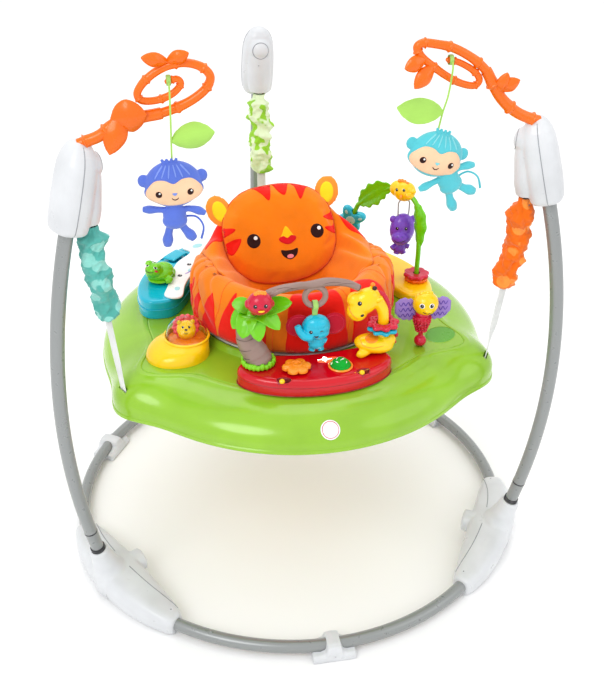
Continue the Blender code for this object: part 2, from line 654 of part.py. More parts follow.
# giraffe: seated body, neck and head in one moulding, two loose collars on the neck
NECK0, NECK1 = Vector((0.1130, TOY_Y, 0.4800)), Vector((0.1130, TOY_Y, 0.5300))
giraffe = tube("giraffe", smooth_path([NECK0, (0.1130, TOY_Y, 0.5000), (0.1130, TOY_Y, 0.5200),
                                       (0.1090, TOY_Y, 0.5370),
                                       (0.0980, TOY_Y, 0.5530)], 2),
               [0.0090, 0.0090, 0.0088, 0.0086, 0.0085, 0.0087, 0.0092, 0.0098, 0.0100],
               material("yellow_plastic_giraffe", (1.0, 0.68, 0.02), 0.3), tray_origin, sides=8,
               side_dir=(0, 1, 0))
tilt = Matrix.Rotation(math.radians(-38.0), 4, "Y")
gb = [blob("c_g_body", (0.1030, TOY_Y - 0.003, 0.4740), (0.0330, 0.0210, 0.0155), seg=8, rings=5),
      blob("c_g_rump", (0.1180, TOY_Y, 0.4760), (0.0150, 0.0150, 0.0120), seg=6, rings=4),
      blob("c_g_head", (0.0800, TOY_Y, 0.5500), (0.0265, 0.0150, 0.0185), seg=8, rings=5, rot=tilt),
      blob("c_g_snout", (0.0680, TOY_Y, 0.5330), (0.0135, 0.0125, 0.0135), seg=6, rings=5, rot=tilt),
      blob("c_g_horn_a", (0.0940, TOY_Y - 0.005, 0.5690), (0.0040, 0.0035, 0.0100), seg=6, rings=4),
      blob("c_g_horn_b", (0.0940, TOY_Y + 0.005, 0.5690), (0.0040, 0.0035, 0.0100), seg=6, rings=4),
      blob("c_g_mane", (0.1130, TOY_Y, 0.5400), (0.0060, 0.0022, 0.0150), seg=6, rings=4,
           rot=Matrix.Rotation(math.radians(-25.0), 4, "Y")),
      cylinder("c_g_plinth", (0.1010, TOY_Y - 0.002, 0.4593), 0.0150, 0.0040, seg=20)]
cut(giraffe, gb, "UNION")

for name, z, r0, rgb in (("red", 0.5085, 0.0232, (0.80, 0.02, 0.18)),
                         ("teal", 0.4995, 0.0222, (0.02, 0.60, 0.72))):
    o = bpy.data.objects.new("collar_%s_body" % name, None)
    col.objects.link(o)
    o.parent = tray_origin
    o.location = (0.1130, TOY_Y, z)
    petals = []
    for k in range(24):
        a = 2 * math.pi * k / 24
        r = r0 + 0.0018 * math.cos(6 * a)
        petals.append((r * math.cos(a), r * math.sin(a)))
    c = prism("collar_" + name, petals, -0.0035, 0.0035, material("collar_plastic_" + name, rgb, 0.3), o,
              bevel=0.0015, segments=1)
    cut(c, [cylinder("c_collar_hole_" + name, (0, 0, 0), 0.0105, 0.03, parent=o)])

# ---------------------------------------------------------------- yellow dome toy
DOME = Vector((-0.1960, -0.1020, 0.4560))
bm = bmesh.new()
rings = []
for f, z in ((0.0, DECK_Z + GAP), (0.04, 0.4380), (0.20, 0.4460), (0.50, 0.4520), (0.80, 0.4552),
             (1.0, 0.4560)):
    ring = []
    for k in range(24):
        a = 2 * math.pi * k / 24
        ca, sa = math.cos(a), math.sin(a)
        stretch = 0.0080 * max(-ca, 0.0) ** 2
        outer = Vector((-0.2080 + (0.0500 + stretch) * ca, -0.1120 + 0.0500 * sa, z))
        inner = Vector((DOME.x + 0.0368 * ca, DOME.y + 0.0368 * sa, z))
        ring.append(outer.lerp(inner, f))
    rings.append(ring)
loft(bm, rings)
dome_base = place("dome_base", mesh_of(bm, "dome_base"),
                  material("yellow_plastic_dome", (1.0, 0.70, 0.0), 0.25), tray_origin)
cut(dome_base, [cylinder("c_dome_seat", DOME, 0.0358, 0.0160, seg=24),
                cylinder("c_dome_pin_hole", (DOME.x, DOME.y, 0.4450), 0.0040, 0.0160, seg=14)])

dome_origin = bpy.data.objects.new("dome_body", None)
col.objects.link(dome_origin)
dome_origin.parent = tray_origin
dome_origin.location = DOME
prof = [(0.0350 * math.cos(math.radians(a)), 0.0350 * math.sin(math.radians(a))) for a in range(0, 91, 18)]
prof[-1] = (0.0, 0.0350)
prof = [(0.0350, -0.0070)] + prof + [(0.0, 0.0333)] + [
    (0.0333 * math.cos(math.radians(a)), 0.0333 * math.sin(math.radians(a)))
                                                       for a in range(72, -1, -18)] + [
    (0.0333, -0.0070)]
revolve("clear_dome", list(reversed(prof)),
        material("clear_plastic_dome", (0.95, 0.97, 1.0), 0.05, 0, 0.95),
        dome_origin, steps=16)
lion = cylinder("lion_figure", (0, 0, -0.0042), 0.0320, 0.0040,
                material("lion_plastic", (0.98, 0.62, 0.20), 0.4),
                seg=18, parent=dome_origin, cutter=False)
lb = [cylinder("c_lion_pin", (0, 0, -0.0100), 0.0036, 0.0120, seg=14, parent=dome_origin),
      blob("c_lion_body", (0, 0, 0.0040), (0.0140, 0.0110, 0.0080), seg=6, rings=5, parent=dome_origin),
      blob("c_lion_mane", (0, 0.002, 0.0145), (0.0185, 0.0070, 0.0165), seg=8, rings=5, parent=dome_origin,
           rot=Matrix.Rotation(math.radians(-30), 4, "X")),
      blob("c_lion_face", (0, -0.0040, 0.0150), (0.0140, 0.0080, 0.0130), seg=8, rings=5,
           parent=dome_origin,
           rot=Matrix.Rotation(math.radians(-30), 4, "X"))]
cut(lion, lb, "UNION")

# ---------------------------------------------------------------- teal music pad with white slide, frog and
# paddle
PIANO_Z = 0.4660
piano = prism("piano_base", band(0.2350, 0.0460, 117.0, 179.0, n=12), DECK_Z + GAP, PIANO_Z,
              material("teal_plastic_piano", (0.0, 0.58, 0.70), 0.25), tray_origin, bevel=0.005, segments=2)
FROG = pol(0.2420, 160.5, 0.4745)
PADDLE_R0, PADDLE_R1, PADDLE_A0, PADDLE_A1 = 0.2480, 0.2740, 134.0, 143.0


def sector(r0, r1, a0, a1, n=6):
    return [tuple(pol(r1, a0 + (a1 - a0) * i / n)[:2]) for i in range(n + 1)] + [
        tuple(pol(r0, a1 - (a1 - a0) * i / n)[:2]) for i in range(n + 1)]


pocket = prism("c_paddle_pocket", sector(PADDLE_R0 - 0.0012, PADDLE_R1 + 0.0012, PADDLE_A0 - 0.3,
                                         PADDLE_A1 + 0.3),
               0.4590, 0.4800, None, None, cutter=True)
frog_hole = cylinder("c_frog_hole", (FROG.x, FROG.y, 0.4600), 0.0045, 0.0200, seg=14)
cut(piano, [pocket, frog_hole])
panel_pts = [tuple(pol(r, a)[:2]) for r, a in ((0.1935, 176), (0.1925, 165), (0.1925, 154), (0.1925, 143),
                                               (0.1925, 132),
                                              (0.1935, 122), (0.2150, 119.5), (0.2450, 120),
                                               (0.2650, 122.5),
                                              (0.2690, 127), (0.2690, 131.5), (0.2450, 132.5),
                                               (0.2380, 143),
                                              (0.2250, 152), (0.2120, 160), (0.2120, 168), (0.2180, 175),
                                               (0.2060, 177.5))]
prism("slide_panel", panel_pts, PIANO_Z + GAP, PIANO_Z + 0.0036,
      material("white_plastic_slide", (0.88, 0.90, 0.92), 0.2),
      tray_origin, bevel=0.0015, segments=1)

frog_origin = bpy.data.objects.new("frog_body", None)
col.objects.link(frog_origin)
frog_origin.parent = tray_origin
frog_origin.location = FROG
frog = blob("frog_spinner", (0, 0, 0.0060), (0.0245, 0.0215, 0.0120),
            material("green_plastic_frog", (0.25, 0.60, 0.02), 0.35),
            seg=8, rings=5, parent=frog_origin, cutter=False)
fb = [cylinder("c_frog_pin", (0, 0, -0.0100), 0.0040, 0.0180, seg=14, parent=frog_origin),
      blob("c_frog_head", (-0.0090, -0.0080, 0.0130), (0.0145, 0.0135, 0.0105), seg=6, rings=5,
           parent=frog_origin),
      blob("c_frog_eye_a", (-0.0155, -0.0020, 0.0210), (0.0058, 0.0058, 0.0055), seg=6, rings=4,
           parent=frog_origin),
      blob("c_frog_eye_b", (-0.0040, -0.0140, 0.0210), (0.0058, 0.0058, 0.0055), seg=6, rings=4,
           parent=frog_origin),
      blob("c_frog_leg_a", (0.0100, -0.0180, 0.0015), (0.0100, 0.0060, 0.0045), seg=6, rings=4,
           parent=frog_origin),
      blob("c_frog_leg_b", (-0.0090, 0.0180, 0.0015), (0.0100, 0.0060, 0.0045), seg=6, rings=4,
           parent=frog_origin),
      blob("c_frog_leg_c", (0.0200, 0.0060, 0.0015), (0.0070, 0.0070, 0.0045), seg=6, rings=4,
           parent=frog_origin)]
cut(frog, fb, "UNION")

paddle_origin = bpy.data.objects.new("paddle_body", None)
col.objects.link(paddle_origin)
paddle_origin.parent = tray_origin
mid_a = 0.5 * (PADDLE_A0 + PADDLE_A1)
paddle_origin.location = pol(PADDLE_R1, mid_a, 0.4665)
po = Vector(paddle_origin.location)
pts = [(x - po.x, y - po.y) for x, y in sector(PADDLE_R0, PADDLE_R1, PADDLE_A0, PADDLE_A1)]
prism("piano_paddle", pts, -0.0022, 0.0022, material("teal_plastic_paddle", (0.0, 0.52, 0.66), 0.25),
      paddle_origin,
      bevel=0.001, segments=1)

# ---------------------------------------------------------------- yellow base with bead arch
BEAD_Z = 0.4480
beadbase = prism("bead_base", band(0.2330, 0.0435, -3.0, 66.0, n=12), DECK_Z + GAP, BEAD_Z,
                 material("yellow_plastic_bead_base", (1.0, 0.66, 0.0), 0.25), tray_origin, bevel=0.006,
                 segments=2)
A0, A1 = Vector((0.2430, 0.0430, 0.4390)), Vector((0.1290, 0.2140, 0.4390))
LEG = Vector((0.1580, 0.1705, 0.5500))
FIG = Vector((0.2200, 0.0780, 0.6110))
arch_pts = [A0, Vector((0.2430, 0.0430, 0.4750)), Vector((0.2430, 0.0430, 0.5100)),
            Vector((0.2412, 0.0460, 0.5550)),
            Vector((0.2360, 0.0540, 0.5950)), FIG, Vector((0.2040, 0.1020, 0.6090)),
            Vector((0.1810, 0.1370, 0.5840)), LEG,
            LEG.lerp(A1, 0.14), LEG.lerp(A1, 0.40), LEG.lerp(A1, 0.70), A1]
arch_path = smooth_path(arch_pts, 2)
arch = tube("bead_arch", arch_path, 0.0045, material("green_plastic_arch", (0.28, 0.62, 0.03), 0.35),
            tray_origin, sides=8)
cut(beadbase, [bore_for("c_arch_bore", arch_path, 0.0045)])
along = Vector((A1.x - A0.x, A1.y - A0.y, 0)).normalized()
fins = []
for i, (path, width) in enumerate((
        ([(0.2430, 0.0430, 0.5150), (0.2420, 0.0445, 0.5400), (0.2408, 0.0465, 0.5650),
          (0.2380, 0.0510, 0.5850),
          (0.2350, 0.0560, 0.5950)], [0.0040, 0.0110, 0.0135, 0.0100, 0.0050]),
        ([(0.2030, 0.1035, 0.6090), (0.1930, 0.1190, 0.6020), (0.1810, 0.1370, 0.5850),
          (0.1680, 0.1560, 0.5660),
          (0.1600, 0.1680, 0.5525)], [0.0050, 0.0150, 0.0200, 0.0150, 0.0040]))):
    bm = bmesh.new()
    loft(bm, leaf_rings(path, width, 0.0048,
                        along if i == 0 else (along * 0.6 + Vector((0, 0, 1))).normalized()))
    fins.append(place("c_arch_leaf_%d" % i, mesh_of(bm, "c_arch_leaf_%d" % i), None, None, cutter=True))
cut(arch, fins, "UNION")

fig = blob("arch_chick", FIG, (0.0200, 0.0170, 0.0185),
           material("yellow_plastic_chick", (1.0, 0.70, 0.0), 0.3),
           seg=8, rings=5, parent=tray_origin, cutter=False)
fig2 = blob("c_chick_head", FIG + along * 0.017 + Vector((0, 0, 0.001)), (0.0150, 0.0145, 0.0150), seg=6,
            rings=5)
fig_bore = bore_for("c_chick_bore", arch_path, 0.0045, 0.0005)
cut(fig, [fig2], "UNION")
cut(fig, [fig_bore])

for name, z, rgb in (("red", BEAD_Z + 0.0120, (0.80, 0.02, 0.12)),
                     ("orange", BEAD_Z + 0.0042, (1.0, 0.36, 0.02))):
    o = bpy.data.objects.new("bead_%s_body" % name, None)
    col.objects.link(o)
    o.parent = tray_origin
    o.location = (A0.x, A0.y, z)
    rr = 0.0230 if name == "red" else 0.0215
    h = 0.0036
    prof = [(0.0056, h), (rr - 0.003, h), (rr, 0.0), (rr - 0.003, -h), (0.0056, -h)]
    revolve("bead_" + name, prof, material("bead_plastic_" + name, rgb, 0.3), o, steps=18)

bf_origin = bpy.data.objects.new("butterfly_body", None)
col.objects.link(bf_origin)
bf_origin.parent = tray_origin
BF = LEG.lerp(A1, 0.30)
bf_origin.location = BF
legdir = (LEG - A1).normalized()
fly_pts = []
for k in range(32):
    a = 2 * math.pi * k / 32
    r = 0.0215 + 0.0060 * math.cos(4 * (a - math.radians(42.0)))
    fly_pts.append((1.08 * r * math.cos(a), 0.98 * r * math.sin(a)))
fly = prism("butterfly", fly_pts, -0.0085, 0.0085,
            material("teal_plastic_butterfly", (0.0, 0.50, 0.60), 0.3), bf_origin,
            bevel=0.002, segments=1)
fly.rotation_mode = "QUATERNION"
wings = Vector((0.846, -0.383, -0.371))      # the wings lie across the leg and face front and left
uax = (wings - legdir * legdir.dot(wings)).normalized()
basis = Matrix((uax, legdir, uax.cross(legdir))).transposed()
fly.rotation_quaternion = basis.to_quaternion()
fly_hole = cylinder("c_fly_hole", (0, 0, 0), 0.0062, 0.080, axis=(0, 1, 0), seg=14, parent=bf_origin)
fly_hole.rotation_mode = "QUATERNION"
fly_hole.rotation_quaternion = basis.to_quaternion()
cut(fly, [fly_hole])

# hippo on two short cords under the chick
hippo_origin = bpy.data.objects.new("hippo_body", None)
col.objects.link(hippo_origin)
hippo_origin.parent = tray_origin
HP = FIG + Vector((0, 0, -0.0220))
hippo_origin.location = HP
hippo = blob("hippo", (0.0, 0.0, -0.0520), (0.0225, 0.0165, 0.0310),
             material("purple_plastic_hippo", (0.33, 0.15, 0.60), 0.3),
             seg=8, rings=5, parent=hippo_origin, cutter=False)
hb = [blob("c_h_snout", (-0.005, -0.0110, -0.0640), (0.0175, 0.0130, 0.0130), seg=6, rings=5,
           parent=hippo_origin),
      blob("c_h_ear_a", (-0.0190, 0.0, -0.0310), (0.0068, 0.0050, 0.0070), seg=6, rings=4,
           parent=hippo_origin),
      blob("c_h_ear_b", (0.0195, 0.0, -0.0330), (0.0068, 0.0050, 0.0070), seg=6, rings=4,
           parent=hippo_origin),
      blob("c_h_body", (-0.0030, 0.0, -0.0890), (0.0130, 0.0100, 0.0130), seg=6, rings=4,
           parent=hippo_origin),
      tube("c_h_cord_a", [(-0.0105, 0, -0.0003), (-0.0095, 0, -0.0330)], 0.0014, None, hippo_origin,
           sides=8, cutter=True),
      tube("c_h_cord_b", [(0.0105, 0, -0.0003), (0.0095, 0, -0.0330)], 0.0014, None, hippo_origin, sides=8,
           cutter=True),
      tube("c_h_yoke", [(-0.0120, 0, -0.0014), (0.0120, 0, -0.0014)], 0.0016, None, hippo_origin, sides=8,
           cutter=True)]
cut(hippo, hb, "UNION")

# ---------------------------------------------------------------- bee that rocks on its ball foot
bee_origin = bpy.data.objects.new("bee_body", None)
col.objects.link(bee_origin)
bee_origin.parent = tray_origin
BALL = 0.0105           # radius of the ball foot; its centre is the rocking axis
BEE = Vector((0.1930, -0.1560, DECK_Z + GAP + BALL))
bee_origin.location = BEE
bee = blob("bee", (0, 0, 0), (BALL, BALL, BALL), material("bee_plastic", (0.85, 0.03, 0.12), 0.3), seg=12,
           rings=8, parent=bee_origin, cutter=False)
bb = [cylinder("c_bee_stem", (0, 0, 0.0115), 0.0040, 0.0260, seg=12, parent=bee_origin)]
for i, (z, r) in enumerate(((0.0220, 0.0085), (0.0320, 0.0120), (0.0430, 0.0150))):
    bb.append(blob("c_bee_seg_%d" % i, (0.0008 * i, 0, z), (r, r, 0.0080), seg=6, rings=4,
                   parent=bee_origin))
bb.append(blob("c_bee_head", (0.0040, 0, 0.0710), (0.0220, 0.0190, 0.0205), seg=8, rings=5,
               parent=bee_origin))
for i, (sx, zt) in enumerate(((-1, 0.0675), (1, 0.0635))):
    bm = bmesh.new()
    base = Vector((0.002, 0.0060, 0.0535))
    tip = Vector((0.002 + sx * 0.0480, 0.0060, zt - 0.004))
    loft(bm, leaf_rings(smooth_path([base, base.lerp(tip, 0.5), tip], 2),
                        [0.0060, 0.0170, 0.0215, 0.0215, 0.0110], 0.0030, (0, 0, 1)))
    bb.append(place("c_bee_wing_%d" % i, mesh_of(bm, "c_bee_wing_%d" % i), None, bee_origin, cutter=True))
cut(bee, bb, "UNION")

# ---------------------------------------------------------------- vines on top of the two front spring
# housings
VY = -0.1950
vines = {
    "left": ([(-0.3300, VY, 0.8285), (-0.3180, VY, 0.8330), (-0.3000, VY, 0.8400), (-0.2770, VY, 0.8560),
              (-0.2480, VY, 0.8620), (-0.2150, VY, 0.8670), (-0.1810, VY, 0.8790), (-0.1560, VY, 0.8960),
              (-0.1480, VY, 0.9130), (-0.1600, VY, 0.9270), (-0.1830, VY, 0.9330), (-0.2090, VY, 0.9280),
              (-0.2330, VY, 0.9130), (-0.2460, VY, 0.8955), (-0.2400, VY, 0.8850), (-0.2190, VY, 0.8850),
              (-0.1990, VY, 0.8930), (-0.1880, VY, 0.9050), (-0.1930, VY, 0.9120), (-0.2060, VY, 0.9090)]),
    "right": ([(0.3300, VY, 0.8285), (0.3160, VY, 0.8330), (0.2930, VY, 0.8440), (0.2700, VY, 0.8630),
               (0.2530, VY, 0.8860), (0.2400, VY, 0.9060), (0.2180, VY, 0.9240), (0.1890, VY, 0.9390),
               (0.1640, VY, 0.9450), (0.1450, VY, 0.9470), (0.1370, VY, 0.9410), (0.1450, VY, 0.9280),
               (0.1630, VY, 0.9140), (0.1820, VY, 0.9010), (0.2030, VY, 0.8900), (0.2240, VY, 0.8850),
               (0.2320, VY, 0.8930), (0.2220, VY, 0.9060), (0.2010, VY, 0.9180), (0.1830, VY, 0.9230)])}
for name, pts in vines.items():
    path = smooth_path(pts, 2)
    n = len(path)
    radii = [0.0085 if i < 6 else 0.0068 - 0.0022 * max(i - 26, 0) / (n - 26) for i in range(n)]
    v = tube("vine_" + name, path, radii, material("orange_plastic_vine_" + name, (1.0, 0.30, 0.01), 0.35),
             sides=5,
             side_dir=(0, 1, 0))
    s = -1.0 if name == "left" else 1.0
    extra = []
    if name == "left":
        spots = [((-0.270, 0.850), (-0.290, 0.868), 0.016), ((-0.262, 0.852), (-0.268, 0.820), 0.016),
                 ((-0.240, 0.860), (-0.228, 0.832), 0.017), ((-0.183, 0.932), (-0.160, 0.948), 0.012),
                 ((-0.200, 0.930), (-0.226, 0.944), 0.012)]
    else:
        spots = [((0.258, 0.880), (0.288, 0.896), 0.014), ((0.262, 0.873), (0.268, 0.905), 0.013),
                 ((0.148, 0.926), (0.118, 0.914), 0.013), ((0.160, 0.915), (0.132, 0.888), 0.014)]
    for i, (a, b, w) in enumerate(spots):
        pa, pb = Vector((a[0], VY - 0.003, a[1])), Vector((b[0], VY - 0.012, b[1]))
        side = (pb - pa).cross(Vector((0, 1, 0))).normalized()
        bm = bmesh.new()
        loft(bm, leaf_rings(smooth_path([pa, pa.lerp(pb, 0.5), pb], 2),
                            [w * q for q in (0.40, 0.85, 1.0, 0.80, 0.15)],
                            0.0045, side))
        extra.append(place("c_leaf_%s_%d" % (name, i), mesh_of(bm, "c_leaf_%s_%d" % (name, i)), None, None,
                           cutter=True))
    cut(v, extra, "UNION")
    house = bpy.data.objects["spring_housing_" + name]
    hole = bore_for("c_vine_hole_" + name, path[:8], radii[:8], sides=5, side_dir=(0, 1, 0))
    cut(house, [hole])

# ---------------------------------------------------------------- monkeys hung from the vines
for name, hook, top, head, rgb in (("left", (-0.2040, VY, 0.9108), 0.800, (-0.2060, VY, 0.7640),
                                    (0.16, 0.30, 0.75)),
                                   ("right", (0.1870, VY, 0.9228), 0.822, (0.1780, VY, 0.7860),
                                    (0.10, 0.55, 0.60))):
    o = bpy.data.objects.new("monkey_%s_body" % name, None)
    col.objects.link(o)
    o.parent = root
    o.location = hook
    H = Vector(hook)
    s = -1.0 if name == "left" else 1.0
    hx = head[0] - H.x
    bm = bmesh.new()
    ring = []
    for k in range(12):
        a = 2 * math.pi * k / 12
        y, z = 0.0068 * math.cos(a), 0.0068 * math.sin(a)
        ring.append([Vector((sx * 0.0030, y * f, z * f - 0.0010)) for sx, f in
                     ((-1, 1.0), (1, 1.0), (1, 1.28), (-1, 1.28))])
    loft(bm, ring, closed=True)
    hanger = place("hanger_" + name, mesh_of(bm, "hanger_" + name),
                   material("green_hanger_" + name, (0.35, 0.65, 0.15), 0.5), o)
    zs = top - H.z
    string = tube("c_string_" + name, [(0, -0.0076, -0.0010), (0, -0.0125, -0.0100),
                                       (hx * 0.4, -0.0140, -0.0450),
                                       (hx * 0.8, -0.0080, zs + 0.0300), (hx, 0, zs + 0.0010)], 0.0013,
                  None, o,
                  sides=6, cutter=True, side_dir=(1, 0, 0))
    zl = (0.829 if name == "left" else 0.851) - H.z
    bm = bmesh.new()
    lx = 0.060 if name == "left" else -0.068
    pa, pb = Vector((hx * 0.8, -0.0075, zl)), Vector((hx * 0.8 + lx, -0.0075, zl + 0.010))
    loft(bm, leaf_rings(smooth_path([pa, pa.lerp(pb, 0.5), pb], 2), [0.003, 0.014, 0.0185, 0.014, 0.002],
                        0.0020, (0, 0, 1)))
    leaf = place("c_hang_leaf_" + name, mesh_of(bm, "c_hang_leaf_" + name), None, o, cutter=True)
    cut(hanger, [string, leaf], "UNION")

    C = Vector(head) - H
    roll = Matrix.Rotation(math.radians(-14.0 if name == "right" else 0.0), 4, "Y")
    monkey = blob("monkey_" + name, C, (0.0360, 0.0160, 0.0340),
                  material("monkey_plush_" + name, rgb, 0.85), seg=12,
                  rings=8, rot=roll, parent=o, cutter=False)

    def at(x, y, z):
        return C + roll @ Vector((x, y, z))
    mb = [blob("c_m_ear_a_" + name, at(-0.0370, 0.002, 0.004), (0.0110, 0.0055, 0.0120), seg=6, rings=4,
               parent=o),
          blob("c_m_ear_b_" + name, at(0.0370, 0.002, 0.004), (0.0110, 0.0055, 0.0120), seg=6, rings=4,
               parent=o),
          blob("c_m_body_" + name, at(-0.001, 0.0, -0.0480), (0.0180, 0.0120, 0.0220), seg=6, rings=5,
               parent=o),
          tube("c_m_arm_a_" + name, [at(-0.006, 0, -0.038), at(-0.026, 0, -0.036), at(-0.044, 0, -0.028)],
               [0.0050, 0.0050, 0.0062], None, o, sides=6, cutter=True, side_dir=(0, 1, 0)),
          tube("c_m_arm_b_" + name, [at(0.006, 0, -0.038), at(0.026, 0, -0.038), at(0.042, 0, -0.032)],
               [0.0050, 0.0050, 0.0062], None, o, sides=6, cutter=True, side_dir=(0, 1, 0)),
          tube("c_m_leg_a_" + name, [at(-0.006, 0, -0.060), at(-0.012, 0, -0.080), at(-0.016, 0, -0.096)],
               [0.0060, 0.0060, 0.0085], None, o, sides=6, cutter=True, side_dir=(0, 1, 0)),
          tube("c_m_leg_b_" + name, [at(0.006, 0, -0.060), at(0.014, 0, -0.074), at(0.024, 0, -0.084)],
               [0.0060, 0.0060, 0.0080], None, o, sides=6, cutter=True, side_dir=(0, 1, 0)),
          tube("c_m_tail_" + name, smooth_path([at(0.010, 0.004, -0.052), at(0.030, 0.004, -0.054),
                                                at(0.040, 0.004, -0.070),
                                                at(0.036, 0.004, -0.092)], 2), 0.0022, None, o, sides=5,
               cutter=True,
               side_dir=(0, 1, 0))]
    cut(monkey, mb, "UNION")
    slot = tube("c_m_slot_" + name, [(hx, 0, zs - 0.012), (hx, 0, zs + 0.020)], 0.0018, None, o, sides=8,
                cutter=True)
    cut(monkey, [slot])

bpy.context.view_layer.update()
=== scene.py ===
# The looks of the activity jumper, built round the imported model: every moulding, tube, cloth piece and toy
# with its own mesh and its own node material. Metres, +Z up, front of the jumper towards -Y.
import json
from math import atan2, copysign, cos, degrees, exp, hypot, pi, radians, sin
import bpy
import bmesh
from mathutils import Matrix, Vector, noise
from mathutils.bvhtree import BVHTree


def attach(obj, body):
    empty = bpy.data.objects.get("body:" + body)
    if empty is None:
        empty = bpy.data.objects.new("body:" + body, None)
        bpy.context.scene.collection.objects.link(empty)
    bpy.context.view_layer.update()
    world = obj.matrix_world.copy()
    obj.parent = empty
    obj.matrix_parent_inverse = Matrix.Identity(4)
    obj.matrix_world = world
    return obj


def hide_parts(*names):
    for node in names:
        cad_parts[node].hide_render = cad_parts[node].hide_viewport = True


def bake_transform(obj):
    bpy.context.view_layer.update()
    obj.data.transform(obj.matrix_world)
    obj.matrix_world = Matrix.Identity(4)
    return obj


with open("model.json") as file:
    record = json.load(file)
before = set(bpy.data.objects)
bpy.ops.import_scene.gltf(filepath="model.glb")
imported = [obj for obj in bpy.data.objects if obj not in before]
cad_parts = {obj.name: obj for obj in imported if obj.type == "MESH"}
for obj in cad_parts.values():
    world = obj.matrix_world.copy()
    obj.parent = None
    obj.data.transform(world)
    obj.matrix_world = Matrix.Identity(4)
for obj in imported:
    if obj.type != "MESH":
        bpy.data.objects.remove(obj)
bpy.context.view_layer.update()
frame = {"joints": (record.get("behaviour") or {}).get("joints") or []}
JOINTS = {j["name"]: j for j in frame["joints"]}
AXIS_Y = JOINTS["seat_turn"]["pos_m"][1]      # the ring's axis, from the record
WHITE_RGB = (214, 216, 219)
GAP = 0.0003


# ---------------------------------------------------------------- places and outlines
def V(x, y, z):
    """A point given from the ring's axis, in the row frame."""
    return Vector((x, y + AXIS_Y, z))


def pol(r, deg, z=0.0):
    a = radians(deg)
    return V(r * cos(a), r * sin(a), z)


def anchor(name):
    return Vector(JOINTS[name]["pos_m"])


def rot_x(deg):
    return Matrix.Rotation(radians(deg), 4, "X")


def rot_y(deg):
    return Matrix.Rotation(radians(deg), 4, "Y")


def rot_z(deg):
    return Matrix.Rotation(radians(deg), 4, "Z")


def circle(n):
    """n angles, evenly round a full turn."""
    return [2 * pi * k / n for k in range(n)]


def signed_pow(v, power):
    """A power that keeps the sign, for outlines between an ellipse and a box."""
    return copysign(abs(v) ** power, v)


def clamp(v):
    return max(0.0, min(1.0, v))


def curve_through(points, per=6, closed=False):
    """Catmull-Rom curve through points of any size."""
    p = [Vector(q) for q in points]
    n = len(p)
    out = []
    for i in range(n if closed else n - 1):
        if closed:
            a, b, c, d = p[i - 1], p[i], p[(i + 1) % n], p[(i + 2) % n]
        else:
            a, b, c, d = p[max(i - 1, 0)], p[i], p[i + 1], p[min(i + 2, n - 1)]
        for s in range(per):
            t = s / per
            out.append(0.5 * ((2 * b) + (c - a) * t + (2 * a - 5 * b + 4 * c - d) * t * t
                              + (3 * b - 3 * c + d - a) * t ** 3))
    if not closed:
        out.append(p[-1])
    return out


def ellipse(cx, cy, rx, ry, turn=0.0, n=28):
    c, s = cos(radians(turn)), sin(radians(turn))
    pts = [(rx * cos(2 * pi * k / n), ry * sin(2 * pi * k / n)) for k in range(n)]
    return [(cx + x * c - y * s, cy + x * s + y * c) for x, y in pts]


def blobby(points, per=5):
    """Smooth closed outline through 2-D points."""
    return [(q.x, q.y) for q in curve_through([Vector((x, y, 0)) for x, y in points], per, closed=True)]


def band(r_mid, half, deg0, deg1, n=40, power=3.0):
    """Kidney outline: a band along an arc whose ends close like a superellipse."""
    out, back = [], []
    for i in range(n + 1):
        s = sin(0.5 * pi * (-1.0 + 2.0 * i / n))
        w = half * max(1.0 - abs(s) ** power, 0.0) ** (1.0 / power)
        a = 0.5 * (deg0 + deg1) + 0.5 * (deg1 - deg0) * s
        p, q = pol(r_mid + w, a), pol(r_mid - w, a)
        out.append((p.x, p.y))
        if w > 1e-5:
            back.append((q.x, q.y))
    return out + list(reversed(back))


# ---------------------------------------------------------------- materials
def srgb(rgb):
    return tuple((c / 255 / 12.92) if c <= 10.3 else ((c / 255 + 0.055) / 1.055) ** 2.4 for c in rgb) + (1.0,)


def shade(rgb, k):
    return tuple(max(0, min(255, c * k)) for c in rgb)


